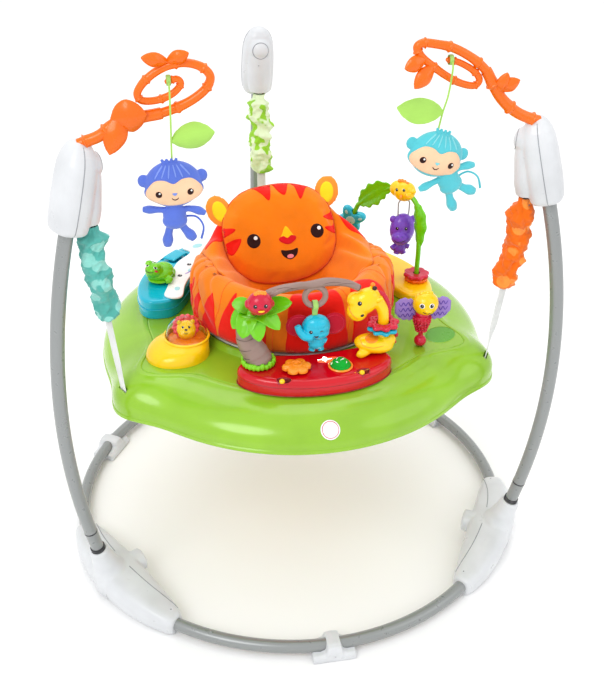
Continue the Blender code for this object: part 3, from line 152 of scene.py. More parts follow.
class Nodes:
    """A material's node tree, built by name."""

    def __init__(self, name):
        self.mat = bpy.data.materials.new(name)
        self.mat.use_nodes = True
        self.tree = self.mat.node_tree
        self.bsdf = self.tree.nodes["Principled BSDF"]
        self.coord = self.add("ShaderNodeTexCoord").outputs["Object"]

    def add(self, kind, **inputs):
        n = self.tree.nodes.new(kind)
        for k, v in inputs.items():
            k = k.replace("_", " ")
            if isinstance(v, bpy.types.NodeSocket):
                self.tree.links.new(v, n.inputs[k])
            else:
                n.inputs[k].default_value = v
        return n

    def link(self, a, b):
        self.tree.links.new(a, b)

    def noise(self, scale, detail=2.0, rough=0.5):
        return self.add("ShaderNodeTexNoise", Vector=self.coord, Scale=scale, Detail=detail,
                        Roughness=rough).outputs["Fac"]

    def remap(self, value, a, b, c, d):
        n = self.add("ShaderNodeMapRange", Value=value)
        for key, x in (("From Min", a), ("From Max", b), ("To Min", c), ("To Max", d)):
            n.inputs[key].default_value = x
        return n.outputs["Result"]

    def math(self, op, a, b=None):
        n = self.tree.nodes.new("ShaderNodeMath")
        n.operation = op
        for i, v in enumerate((a, b)):
            if v is None:
                continue
            if isinstance(v, bpy.types.NodeSocket):
                self.tree.links.new(v, n.inputs[i])
            else:
                n.inputs[i].default_value = v
        return n.outputs[0]

    def mix(self, factor, a, b):
        n = self.tree.nodes.new("ShaderNodeMix")
        n.data_type = "RGBA"
        for key, v in (("Factor", factor), ("A", a), ("B", b)):
            sock = [s for s in n.inputs if s.name == key
                    and (key == "Factor" and s.type == "VALUE" or s.type == "RGBA")][0]
            if isinstance(v, bpy.types.NodeSocket):
                self.tree.links.new(v, sock)
            else:
                sock.default_value = v
        return [s for s in n.outputs if s.type == "RGBA"][0]

    def bump(self, height, strength, distance=0.001, normal=None):
        n = self.add("ShaderNodeBump", Height=height, Strength=strength, Distance=distance)
        if normal is not None:
            self.link(normal, n.inputs["Normal"])
        return n.outputs["Normal"]


def plastic(name, rgb, rough=0.28, coat=0.25, grain=0.05, wear=0.10):
    """Moulded plastic: faint flow marks, fine skin texture, rubbed pale edges."""
    m = Nodes(name)
    base, dark, pale = srgb(rgb), srgb(shade(rgb, 0.90)), srgb([c + (255 - c) * 0.45 for c in rgb])
    flow = m.remap(m.noise(14.0, 3.0), 0.35, 0.70, 0.0, 0.55)
    colour = m.mix(flow, base, dark)
    edge = m.add("ShaderNodeNewGeometry").outputs["Pointiness"]
    rubbed = m.math("MULTIPLY", m.remap(edge, 0.53, 0.62, 0.0, wear * 3),
                    m.remap(m.noise(160.0, 3.0), 0.4, 0.7, 0.0, 1.0))
    m.link(m.mix(rubbed, colour, pale), m.bsdf.inputs["Base Color"])
    m.link(m.remap(m.noise(55.0, 4.0), 0.3, 0.7, rough * 0.80, rough * 1.25), m.bsdf.inputs["Roughness"])
    skin = m.bump(m.noise(1500.0, 2.0), grain, 0.0004)
    m.link(m.bump(m.noise(30.0, 1.0), 0.02, 0.004, skin), m.bsdf.inputs["Normal"])
    m.bsdf.inputs["Coat Weight"].default_value = coat
    m.bsdf.inputs["Coat Roughness"].default_value = 0.08
    m.bsdf.inputs["Specular IOR Level"].default_value = 0.5
    return m.mat


def weave_height(m, pitch):
    """Over-and-under threads from crossed bands in all three directions."""
    waves = []
    for axis in ("X", "Y", "Z"):
        w = m.add("ShaderNodeTexWave", Vector=m.coord, Scale=0.314 / pitch, Distortion=0.4, Detail=0.0)
        w.wave_type = "BANDS"
        w.bands_direction = axis
        waves.append(w.outputs["Fac"])
    return m.math("ADD", m.math("MULTIPLY", waves[0], waves[2]), m.math("MULTIPLY", waves[1], waves[2]))


def cloth(name, rgb, pitch=0.0016, strength=0.25, sheen=0.30, prints=None, rough=0.85):
    """Woven cloth: threads, nap, uneven dye, for prints a second colour in dots or leaf shapes, and painted
    shade a little darker in the hollows between threads.
    """
    m = Nodes(name)
    base, dark = srgb(rgb), srgb(shade(rgb, 0.86))
    colour = m.mix(m.remap(m.noise(22.0, 4.0), 0.3, 0.75, 0.0, 0.6), base, dark)
    if prints:
        kind, second, scale = prints
        if kind == "dots":
            cells = m.add("ShaderNodeTexVoronoi", Vector=m.coord, Scale=scale).outputs["Distance"]
            mask = m.remap(cells, 0.36, 0.40, 1.0, 0.0)
        else:
            mask = m.remap(m.noise(scale, 1.0), 0.47, 0.50, 0.0, 1.0)
        colour = m.mix(mask, colour, srgb(second))
    threads = weave_height(m, pitch)
    # painted shade: the colour darkens a little in the hollows between the threads
    colour = m.mix(m.remap(threads, 0.0, 1.2, 0.12, 0.0), colour, dark)
    m.link(colour, m.bsdf.inputs["Base Color"])
    m.link(m.remap(m.noise(90.0, 2.0), 0.3, 0.7, rough - 0.08, rough + 0.08), m.bsdf.inputs["Roughness"])
    nap = m.bump(m.noise(900.0, 3.0), 0.15, 0.0006)
    m.link(m.bump(threads, strength, 0.0006, nap), m.bsdf.inputs["Normal"])
    m.bsdf.inputs["Sheen Weight"].default_value = sheen
    m.bsdf.inputs["Sheen Roughness"].default_value = 0.5
    m.bsdf.inputs["Specular IOR Level"].default_value = 0.25
    return m.mat


def painted_steel(name, rgb):
    """Powder-coated tube: fine orange peel and small scuffs."""
    m = Nodes(name)
    scuff = m.remap(m.add("ShaderNodeTexNoise", Vector=m.coord, Scale=60.0, Detail=6.0,
                          Roughness=0.7).outputs["Fac"], 0.66, 0.82, 0.0, 0.05)
    m.link(m.mix(scuff, srgb(rgb), srgb(shade(rgb, 0.86))), m.bsdf.inputs["Base Color"])
    m.link(m.remap(m.noise(120.0, 3.0), 0.3, 0.7, 0.27, 0.32), m.bsdf.inputs["Roughness"])
    m.link(m.bump(m.noise(1100.0, 2.0), 0.03, 0.0003), m.bsdf.inputs["Normal"])
    m.bsdf.inputs["Metallic"].default_value = 0.25
    m.bsdf.inputs["Coat Weight"].default_value = 0.3
    return m.mat


def clear(name, rgb=(255, 255, 255), rough=0.03, weight=1.0):
    """Clear moulded plastic with faint ripples and a few hairline scratches."""
    m = Nodes(name)
    m.link(m.mix(m.remap(m.noise(40.0), 0.3, 0.7, 0.0, 0.3), srgb(rgb), srgb(shade(rgb, 0.94))),
           m.bsdf.inputs["Base Color"])
    m.link(m.remap(m.noise(420.0, 5.0), 0.55, 0.75, rough, rough + 0.10), m.bsdf.inputs["Roughness"])
    m.link(m.bump(m.noise(25.0, 1.0), 0.02, 0.004), m.bsdf.inputs["Normal"])
    m.bsdf.inputs["Transmission Weight"].default_value = weight
    m.bsdf.inputs["IOR"].default_value = 1.18
    return m.mat


def glow(name, rgb, power):
    m = Nodes(name)
    m.link(m.mix(m.remap(m.noise(300.0), 0.3, 0.7, 0.0, 0.4), srgb(rgb), srgb(shade(rgb, 0.92))),
           m.bsdf.inputs["Base Color"])
    m.bsdf.inputs["Emission Color"].default_value = srgb(rgb)
    m.bsdf.inputs["Emission Strength"].default_value = power
    return m.mat


MAT = {}


def make_materials():
    P, C = plastic, cloth
    MAT.update(
        steel=painted_steel("grey_powder_coat", (148, 151, 151)),
        dark=P("dark_recess", (52, 52, 56), 0.5, 0.0),
        white=P("white_moulding", WHITE_RGB, 0.34, 0.12),
        zinc=painted_steel("zinc_spring", (150, 150, 155)),
        tray=P("lime_tray", (146, 192, 50), 0.20, 0.40, 0.03),
        tray_dark=P("lime_painted_dimple_shade", (96, 170, 40), 0.30, 0.2),
        red=P("red_console", (206, 2, 30), 0.14, 0.35, 0.03),
        dark_red=P("dark_red_painted_shade", (150, 6, 30), 0.35, 0.2),
        crimson=P("crimson_toy", (205, 22, 62), 0.26, 0.3),
        orange=P("orange_toy", (255, 150, 34), 0.26, 0.3),
        # grey for parting lines and rings on white parts: painted shade of their grooves
        line=P("painted_groove_shade_grey", (150, 153, 158), 0.45, 0.0),
        vine=P("orange_vine", (238, 112, 0), 0.26, 0.18),
        yellow=P("yellow_toy", (255, 208, 14), 0.22, 0.35),
        teal=P("teal_toy", (28, 186, 214), 0.24, 0.35),
        piano=P("turquoise_music_pad", (0, 184, 210), 0.16, 0.5),
        leaf=P("leaf_green_toy", (116, 200, 16), 0.24, 0.35),
        grass=P("grass_green_toy", (136, 214, 34), 0.28, 0.3),
        trunk=P("taupe_trunk", (156, 132, 124), 0.38, 0.1),
        bark_line=P("taupe_painted_shade", (112, 92, 86), 0.45, 0.0),
        purple=P("purple_toy", (124, 74, 196), 0.26, 0.3),
        lavender=C("lavender_wing_cloth", (170, 142, 218)),
        violet=C("violet_wing_print", (112, 82, 182)),
        black=P("painted_black", (24, 20, 24), 0.2, 0.4),
        brown=P("painted_brown", (58, 22, 18), 0.3, 0.2),
        ivory=P("painted_white", (250, 250, 250), 0.25, 0.3),
        pink=P("painted_pink", (250, 96, 104), 0.3, 0.2),
        button=P("orange_button", (255, 158, 40), 0.24, 0.4),
        collar=P("teal_collar", (16, 178, 206), 0.26, 0.3),
        pale_teal=P("pale_cloud_print", (170, 226, 232), 0.3, 0.2),
        clear=clear("clear_dome_plastic"),
        gem=clear("green_gem_plastic", (40, 186, 70), 0.04, 0.22),
        led=glow("lit_lens", (255, 246, 236), 6.0),
        led_halo=glow("painted_red_glow", (255, 96, 60), 0.9),
        face=C("tiger_face_cloth", (250, 136, 14)),
        arm=C("tiger_arm_cloth", (248, 136, 22)),
        inner=C("seat_inner_cloth", (255, 104, 14)),
        stripe=C("red_stripe_cloth", (246, 32, 14)),
        ear=C("ear_cloth", (255, 156, 60)),
        ear_inner=C("ear_inner_cloth", (255, 224, 40)),
        thread=C("orange_thread", (228, 92, 10), 0.0008),
        eye_brown=C("embroidered_brown", (54, 22, 20), 0.0010),
        eye_white=C("embroidered_white", (252, 252, 250), 0.0010),
        nose_yellow=C("embroidered_yellow", (255, 206, 20), 0.0010),
        nose_red=C("embroidered_red", (226, 26, 40), 0.0010),
        tongue=C("embroidered_pink", (250, 150, 160), 0.0010),
        web=C("white_webbing", (236, 238, 236), 0.0022, 0.6, 0.1),
        sleeve_left=C("teal_sleeve_print", (100, 186, 176), prints=("dots", (150, 214, 204), 34.0)),
        sleeve_right=C("orange_sleeve_print", (246, 120, 24), prints=("dots", (252, 156, 72), 34.0)),
        sleeve_back=C("leaf_sleeve_print", (160, 216, 62), prints=("leaf", (226, 240, 204), 38.0)),
        blue=C("blue_plush", (98, 124, 214), 0.0012, 0.2, 0.5),
        blue_pale=C("pale_blue_plush", (134, 158, 232), 0.0012, 0.2, 0.5),
        aqua=C("aqua_plush", (96, 200, 212), 0.0012, 0.2, 0.5),
        aqua_pale=C("pale_aqua_plush", (140, 218, 226), 0.0012, 0.2, 0.5),
        peach=C("peach_plush", (250, 208, 172), 0.0012, 0.15, 0.4),
        hang_leaf=C("hanging_leaf_cloth", (174, 220, 108), 0.0014, 0.2, 0.3),
        ribbon=C("ribbon_cloth", (170, 214, 120), 0.0012),
        cord=C("grey_cord", (186, 186, 192), 0.0009, 0.4, 0.1),
        ear_felt=C("crimson_ear_cloth", (196, 16, 52), 0.0012, 0.35))


make_materials()


# ---------------------------------------------------------------- meshes
def loft(bm, rings, closed=False):
    """Skins a row of equal-sized rings; a row that isn't closed gets end caps."""
    rows = [[bm.verts.new(p) for p in r] for r in rings]
    n = len(rows[0])
    for i in range(len(rows) if closed else len(rows) - 1):
        a, b = rows[i], rows[(i + 1) % len(rows)]
        for j in range(n):
            k = (j + 1) % n
            bm.faces.new((a[j], a[k], b[k], b[j]))
    if not closed:
        bm.faces.new(list(reversed(rows[0])))
        bm.faces.new(rows[-1])


def to_mesh(name, bm, outward=True):
    """Stores a working mesh, with its faces turned outwards unless they are left as drawn."""
    if outward:
        bmesh.ops.recalc_face_normals(bm, faces=bm.faces)
    me = bpy.data.meshes.new(name)
    bm.to_mesh(me)
    bm.free()
    return me


def skin(name, shapes, closed=False):
    """One mesh from any number of rows of rings."""
    bm = bmesh.new()
    for rings in shapes:
        loft(bm, rings, closed)
    return to_mesh(name, bm)


def new_object(name, data):
    o = bpy.data.objects.new(name, data)
    bpy.context.scene.collection.objects.link(o)
    return o


def heading(pts, i):
    """Direction of a path at its point i."""
    return (pts[min(i + 1, len(pts) - 1)] - pts[max(i - 1, 0)]).normalized()


def sweep(path, radii, sides=16, flat=1.0, ref=None):
    """Rings square to a path; flat squashes them along ref."""
    pts = [Vector(p) for p in path]
    out, prev = [], None
    n = len(pts)
    for i, p in enumerate(pts):
        t = heading(pts, i)
        if ref is not None:
            u = (Vector(ref) - t * t.dot(Vector(ref))).normalized()
        elif prev is None:
            u = t.orthogonal().normalized()
        else:
            u = (prev - t * prev.dot(t)).normalized()
        prev = u
        v = t.cross(u)
        r = radii[i] if isinstance(radii, (list, tuple)) else radii
        out.append([p + u * (r * flat * cos(2 * pi * k / sides))
                    + v * (r * sin(2 * pi * k / sides)) for k in range(sides)])
    return out


def spread(values, count):
    """A short list of radii drawn out smoothly to count values."""
    out = []
    for i in range(count):
        t = i / (count - 1) * (len(values) - 1)
        k = min(int(t), len(values) - 2)
        f = t - k
        f = f * f * (3 - 2 * f)
        out.append(values[k] * (1 - f) + values[k + 1] * f)
    return out


def finish_mesh(name, bm, mats, body, nodes=(), slot=None, crease=40.0):
    """Makes the object, shades it smooth but for sharp creases, and hangs it on its body."""
    bmesh.ops.remove_doubles(bm, verts=bm.verts, dist=1e-6)
    return finish_object(name, to_mesh(name, bm), mats, body, nodes, slot, crease)


def lofted(name, rings, mats, body, closed=False, **kw):
    """A piece skinned from one row of rings."""
    bm = bmesh.new()
    loft(bm, rings, closed)
    return finish_mesh(name, bm, mats, body, **kw)


def finish_object(name, me, mats, body, nodes=(), slot=None, crease=40.0):
    o = new_object(name, me)
    me.materials.clear()
    me.materials.append(MAT[mats])
    me.shade_smooth()
    if crease:
        me.set_sharp_from_angle(angle=radians(crease))
    if body:
        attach(o, body)
    if nodes:
        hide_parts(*nodes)
    return o


def bake(o):
    """Applies the object's modifiers."""
    me = bpy.data.meshes.new_from_object(o.evaluated_get(bpy.context.evaluated_depsgraph_get()))
    o.modifiers.clear()
    old, o.data = o.data, me
    bpy.data.meshes.remove(old)
    return o


def tube(name, path, radii, mats, body, sides=16, flat=1.0, ref=None, **kw):
    return lofted(name, sweep(path, radii, sides, flat, ref), mats, body, **kw)


def ball(centre, semi, rot=None, seg=20, rows=12):
    m = Matrix.Translation(Vector(centre)) @ (rot if rot is not None else Matrix.Identity(4))
    out = []
    for i in range(rows + 1):
        a = pi * (0.02 + 0.96 * i / rows)
        out.append([m @ Vector((semi[0] * sin(a) * cos(2 * pi * k / seg),
                                semi[1] * sin(a) * sin(2 * pi * k / seg),
                                -semi[2] * cos(a))) for k in range(seg)])
    return out


def limb(path, radii, flat=1.0, ref=None, sides=12):
    pts = curve_through(path, 5)
    return sweep(pts, spread(radii, len(pts)), sides, flat, ref)


def cut_out(o, name, cuts):
    """Takes the cuts out of an object and returns its mesh; the object and its cutters are removed."""
    tools = []
    for i, rings in enumerate(cuts):
        tools.append(new_object("cut_%s_%d" % (name, i), skin("cut", [rings])))
        b = o.modifiers.new("cut_%d" % i, "BOOLEAN")
        b.operation, b.solver, b.object = "DIFFERENCE", "EXACT", tools[-1]
    bake(o)
    me = o.data
    for c in tools + [o]:
        bpy.data.objects.remove(c)
    return me


def sculpt(name, shapes, mats, body, voxel=0.0010, rounds=4, nodes=(), slot=None, cuts=(), factor=0.5):
    """Moulded toy: overlapping shapes fused into one skin with soft fillets; cuts are holes for shafts."""
    o = new_object("temp_" + name, skin(name, shapes))
    r = o.modifiers.new("fuse", "REMESH")
    r.mode = "VOXEL"
    r.voxel_size = voxel
    r.adaptivity = 0.0
    s = o.modifiers.new("fillet", "SMOOTH")
    s.factor = factor
    s.iterations = rounds
    return finish_object(name, cut_out(o, name, cuts), mats, body, nodes, slot, crease=50.0 if cuts else None)


def prism(name, outline, z0, z1, mats, body, bevel=0.002, segments=5, centre=(0, 0), dome=0.0, cuts=(), **kw):
    """Upright block on a 2-D outline in the row frame, its top edge rounded and its top slightly crowned."""
    cx, cy = centre
    pts = [Vector((x + cx, y + cy)) for x, y in outline]
    mid = sum(pts, Vector((0, 0))) / len(pts)
    area = sum(pts[i - 1].x * pts[i].y - pts[i].x * pts[i - 1].y for i in range(len(pts)))
    spin = 1.0 if area > 0 else -1.0
    steps = [(z0, bevel * 0.15), (z0 + bevel * 0.15, 0.0)]
    for s in range(segments + 1):
        a = 0.5 * pi * s / segments
        steps.append((z1 - dome - bevel + bevel * sin(a), bevel * (1 - cos(a))))
    rings, n = [], len(pts)
    for z, inset in steps:
        ring = []
        for i in range(n):
            t = (pts[(i + 1) % n] - pts[i - 1]).normalized()
            q = pts[i] - Vector((t.y, -t.x)) * spin * inset
            ring.append(Vector((q.x, q.y, z)))
        rings.append(ring)
    if dome > 0:
        last = rings[-1]
        for f in (0.85, 0.65, 0.4, 0.12):
            rings.append([Vector((mid.x + (p.x - mid.x) * f, mid.y + (p.y - mid.y) * f, z1 - dome * f * f))
                          for p in last])
    if cuts:
        return carve(name, skin(name, [rings]), cuts, mats, body, **kw)
    return lofted(name, rings, mats, body, **kw)


def carve(name, me, cuts, mats, body, **kw):
    """A mesh with holes or recesses cut in it."""
    o = new_object("temp_" + name, me)
    return finish_object(name, cut_out(o, name, cuts), mats, body, **kw)


def turned(name, profile, centre, mats, body, steps=64, axis=(0, 0, 1), ring=False, **kw):
    """Profile of (radius, height) turned about an axis; a ring has no caps."""
    q = Vector((0, 0, 1)).rotation_difference(Vector(axis).normalized()).to_matrix().to_4x4()
    m = Matrix.Translation(Vector(centre)) @ q
    rings = [[m @ Vector((r * cos(2 * pi * k / steps), r * sin(2 * pi * k / steps), z))
              for k in range(steps)] for r, z in profile]
    return lofted(name, rings, mats, body, ring, **kw)


def tree_of(o):
    me = o.data
    return BVHTree.FromPolygons([v.co.copy() for v in me.vertices], [tuple(p.vertices) for p in me.polygons])


def as_tree(target):
    return tree_of(target) if isinstance(target, bpy.types.Object) else target


def dropped(tree, ray, up):
    """Where a ray meets a surface, raised by up; where it misses, the nearest point of the surface."""
    start, way = ray
    hit, normal, _, _ = tree.ray_cast(start, way)
    if hit is None:
        hit, normal, _, _ = tree.find_nearest(start + way * 0.05)
    if normal.dot(way) > 0:
        normal = -normal
    return hit + normal * up


def facing(me, way):
    """Turns a thin mesh so that it faces the rays that laid it."""
    if sum((p.normal.dot(way) for p in me.polygons), 0.0) > 0:
        me.flip_normals()
    return me


def decal(name, outline, rays, target, material, body, lift=0.0004, rings=5, slot=None):
    """Thin painted, printed or sewn-on shape: each of its points is dropped on to the piece below."""
    tree = as_tree(target)
    pts = [Vector((x, y)) for x, y in outline]
    mid = sum(pts, Vector((0, 0))) / len(pts)
    bm = bmesh.new()
    rows = []

    def drop(q, up):
        return dropped(tree, rays(q.x, q.y), up)

    for i in range(rings):
        f = 1.0 - i / rings
        rows.append([bm.verts.new(drop(mid + (p - mid) * f, lift if i else 0.0)) for p in pts])
        if i == 0:
            rows.append([bm.verts.new(drop(mid + (p - mid) * 0.985, lift)) for p in pts])
    tip = bm.verts.new(drop(mid, lift))
    for a, b in zip(rows, rows[1:]):
        for j in range(len(a)):
            k = (j + 1) % len(a)
            bm.faces.new((a[j], a[k], b[k], b[j]))
    for j in range(len(rows[-1])):
        bm.faces.new((rows[-1][j], rows[-1][(j + 1) % len(pts)], tip))
    me = facing(to_mesh(name, bm), rays(mid.x, mid.y)[1])
    return finish_object(name, me, material, body, slot=slot, crease=None)


def flat_rays(at, right, up, reach=0.06):
    """Rays that fall square on to a plane: at is its middle, right and up its two directions."""
    right, up = Vector(right).normalized(), Vector(up).normalized()
    out = right.cross(up).normalized()
    return lambda x, y: (Vector(at) + right * x + up * y + out * reach, -out)


def eyes(name, places, r, rays, target, body, white=False):
    """Painted eyes: a white ring if asked for, a dark pupil and a glint."""
    tree = tree_of(target)
    for i, (x, y) in enumerate(places):
        if white:
            decal("%s_eye_white_%d" % (name, i), ellipse(x, y, r * 1.45, r * 1.45), rays, tree, "ivory", body,
                  0.0003, 3)
        decal("%s_eye_%d" % (name, i), ellipse(x, y, r, r * 1.08), rays, tree, "black", body, 0.0005, 3)
        decal("%s_glint_%d" % (name, i), ellipse(x + r * 0.32, y + r * 0.36, r * 0.24, r * 0.24, n=12), rays,
              tree, "ivory", body, 0.0007, 2)


def ribbon(name, path2d, width, rays, target, material, body, lift=0.0005):
    """A painted or stitched line laid on a surface along a 2-D path."""
    tree = as_tree(target)
    pts = curve_through([Vector((x, y, 0)) for x, y in path2d], 6)
    n = len(pts)
    bm = bmesh.new()
    rows = []
    for i, p in enumerate(pts):
        t = heading(pts, i)
        w = 0.5 * width * (0.45 + 0.55 * sin(pi * i / (n - 1)) ** 0.5)
        row = []
        for s, up in ((-1.0, 0.0), (-0.8, lift), (0.0, lift * 1.2), (0.8, lift), (1.0, 0.0)):
            row.append(bm.verts.new(dropped(tree, rays(p.x - t.y * w * s, p.y + t.x * w * s), up)))
        rows.append(row)
    for a, b in zip(rows, rows[1:]):
        for j in range(4):
            bm.faces.new((a[j], a[j + 1], b[j + 1], b[j]))
    me = facing(to_mesh(name, bm, outward=False), rays(pts[0].x, pts[0].y)[1])
    return finish_object(name, me, material, body, crease=None)


# ---------------------------------------------------------------- the frame: base ring, posts, housings, feet
TUBE_R, RING_R, RING_Z = 0.011, 0.4107, 0.018
HALF = 22.0                                   # half the angle that a base housing covers
POST_LOW, POST_RISE = 0.052, 0.672
STRAP_LOW, STRAP_RISE = 0.3860, 0.1690
SPRING_LOW, SPRING_RISE = 0.5570, 0.1870
SLEEVE_LOW, SLEEVE_RISE = 0.5480, 0.1590
LEG_HOLES = {"left": 228.0, "right": 312.0}
SNAP_BUTTON = [(0.0008, 0.0022), (0.0022, 0.0018), (0.0030, 0.0006), (0.0032, -0.0010), (0.0008, -0.0012)]
POSTS = {"left": 210.0, "right": 330.0, "back": 90.0}


def post_radius(z):
    return 0.40285 + 0.31598 * z - 0.38768 * z * z - 0.04717 * z ** 3


def strap_radius(z):
    return 0.353 + 0.100 * (z - 0.410)


def inner_frame(deg):
    """Turns a point drawn for the post at angle 0 to the post at deg."""
    return Matrix.Translation(V(0, 0, 0)) @ rot_z(deg)


for name, (a0, a1) in {"front": (210.0, 330.0), "right": (-30.0, 90.0), "left": (90.0, 210.0)}.items():
    path = [pol(RING_R, a0 + 20 + (a1 - a0 - 40) * i / 60, RING_Z) for i in range(61)]
    tube("ring_tube_%s_steel" % name, path, TUBE_R, "steel", "frame", 28, nodes=("ring_tube_" + name,),
         slot="grey_steel_tube", crease=60)
for name, deg in POSTS.items():
    path = [pol(post_radius(z), deg, z) for z in [POST_LOW + POST_RISE * i / 60 for i in range(61)]]
    tube("post_%s_steel" % name, path, TUBE_R, "steel", "frame", 28, nodes=("post_" + name,),
         slot="grey_steel_tube", crease=60)
    # joint line of the two-part post, its spring button and a black sealing ring where it enters the base
    for z, r, h, m in ((0.158, 0.01135, 0.0016, "dark"), (0.161, 0.01125, 0.0030, "steel"),
                       (0.1165, 0.0126, 0.0030, "dark")):
        t = (pol(post_radius(z + 0.01), deg, z + 0.01) - pol(post_radius(z), deg, z)).normalized()
        turned("post_%s_band_%d" % (name, int(z * 1e4)),
               [(0.0108, -h), (r, -h * 0.8), (r, h * 0.8), (0.0108, h)], pol(post_radius(z), deg, z), m,
               "frame", 32, t, ring=True)
    face = inner_frame(deg).to_3x3()
    spot = pol(post_radius(0.140), deg, 0.140) + face @ Vector((0, -1.0 if name == "left" else 1.0,
                                                                0)) * TUBE_R
    turned("post_%s_snap_button" % name, SNAP_BUTTON,
           spot, "steel", "frame", 20, face @ Vector((0, -1.0 if name == "left" else 1.0, 0)))
for i, deg in enumerate((241.0, 299.0)):
    turned("ring_snap_button_%d" % i, SNAP_BUTTON,
           pol(RING_R, deg, RING_Z + TUBE_R), "steel", "frame", 20)


def screw(name, at, out, r=0.0030):
    """Recessed cross-head screw: a countersink with a small head inside, the head dark as painted shade in
    the hole.
    """
    turned(name + "_recess", [(r * 1.25, -0.0012), (r * 1.25, 0.0003), (r * 1.05, 0.0005), (r * 0.9, 0.0002),
                              (r * 0.85, -0.0012)], at, "white", "frame", 24, out, ring=True)
    turned(name + "_head", [(0.0002, 0.0001), (r * 0.30, 0.0001), (r * 0.34, -0.0003), (r * 0.8, -0.0002),
                            (r * 0.85, -0.0010), (0.0002, -0.0010)], at, "dark", "frame", 16, out)


for name, deg in POSTS.items():
    rings = []
    for i in range(49):
        t = -1.0 + i / 24.0
        end = 1.0 - 0.10 * max(0.0, (abs(t) - 0.94) / 0.06) ** 2
        swell = 1.0 - t * t
        half_w = (0.0165 + 0.0225 * swell ** 0.8) * end
        top = (0.0350 + 0.0270 * swell) * end
        mid_r = RING_R - 0.0075 * swell
        ring = []
        for k in range(32):
            a = 2 * pi * (k + 0.5) / 32
            ca, sa = cos(a), sin(a)
            x = half_w * signed_pow(ca, 0.62)
            z = max(top * 0.5 * (1 + signed_pow(sa, 0.62)), 0.0)
            ring.append(pol(mid_r + x, deg + HALF * t, z))
        rings.append(ring)
    neck_path = [pol(post_radius(z), deg, z) for z in (0.016, 0.035, 0.055, 0.075, 0.095, 0.112)]
    neck = limb(neck_path, [0.036, 0.034, 0.029, 0.023, 0.0185, 0.0165], sides=24)
    hub = sweep([pol(r, deg, 0.038) for r in (0.351, 0.352, 0.354, 0.385)], [0.0170, 0.0195, 0.0205, 0.0205],
                32)
    bore = sweep([pol(post_radius(z), deg, z) for z in (0.095, 0.103, 0.112, 0.125)], 0.0128, 24)
    body = sculpt("base_housing_%s_shell" % name, [rings, neck, hub], "white", "frame", 0.0026, 3,
                  ("base_housing_" + name,), "white_plastic", cuts=[bore], factor=0.4)
    tree = tree_of(body)
    # parting line along the top, drawn in grey as painted shade of its groove, a short slit painted dark as
    # the shade in it, and the screws near the ends
    for s, side_name in ((1, "a"), (-1, "b")):
        pts = [pol(RING_R - 0.019, deg + s * HALF * t, 0.15) for t in (0.16, 0.35, 0.6, 0.93)]
        line = []
        for p in curve_through(pts, 6):
            hit = tree.ray_cast(p, Vector((0, 0, -1)))[0]
            if hit:
                line.append(hit)
        if len(line) > 3:
            tube("base_housing_%s_parting_%s" % (name, side_name), line, 0.0008, "line", "frame", 6)
    for j, (t, r) in enumerate(((-0.90, RING_R - 0.006), (0.90, RING_R - 0.006))):
        hit, normal, _, _ = tree.ray_cast(pol(r, deg + HALF * t, 0.15), Vector((0, 0, -1)))
        if hit:
            screw("base_housing_%s_screw_%d" % (name, j), hit, normal)
    # the slit is a dark line laid on the surface: painted shade of the opening
    slit_rays = lambda x, y: (pol(0.60, deg + x, y), -(inner_frame(deg + x).to_3x3() @ Vector((1, 0, 0))))
    if name != "back":
        ribbon("base_housing_%s_slit" % name, [(3.0, 0.002), (3.1, 0.012), (3.0, 0.024)], 0.0018, slit_rays,
               tree, "dark", "frame", 0.0002)

for name, deg in (("front", 270.0), ("left", 150.0), ("right", 30.0)):
    m = inner_frame(deg)

    def at_pad(x, y, z):
        return m @ Vector((RING_R + x, y, z))
    # a clip-on foot: flat sole, raised saddle round the tube, shaped front wall
    sole = []
    for y, h in ((-0.0368, 0.010), (-0.0360, 0.0145), (-0.022, 0.0150), (-0.0150, 0.0190), (-0.0110, 0.0300),
                 (0.0, 0.0318), (0.0110, 0.0300), (0.0150, 0.0190), (0.022, 0.0150), (0.0360, 0.0145),
                 (0.0368, 0.010)):
        w = 0.0235 if abs(y) < 0.0362 else 0.0222
        pts = [(-w, 0.0004), (w, 0.0004), (w, h * 0.62), (w * 0.80, h * 0.93), (w * 0.45, h), (-w * 0.45, h),
               (-w * 0.80, h * 0.93), (-w, h * 0.62)]
        sole.append([at_pad(px, y, pz) for px, pz in pts])
    bore = sweep([pol(RING_R, deg + d, RING_Z) for d in (-9, -6, -3, 0, 3, 6, 9)], TUBE_R + 0.0004, 24)
    pad = sculpt("foot_pad_%s_clip" % name, [sole], "white", "frame", 0.0014, 2, ("foot_pad_" + name,),
                 "white_plastic", cuts=[bore], factor=0.4)
    hit, normal, _, _ = tree_of(pad).ray_cast(at_pad(0.06, 0, 0.012), m.to_3x3() @ Vector((-1, 0, 0)))
    if hit:
        screw("foot_pad_%s_screw" % name, hit, normal, 0.0018)

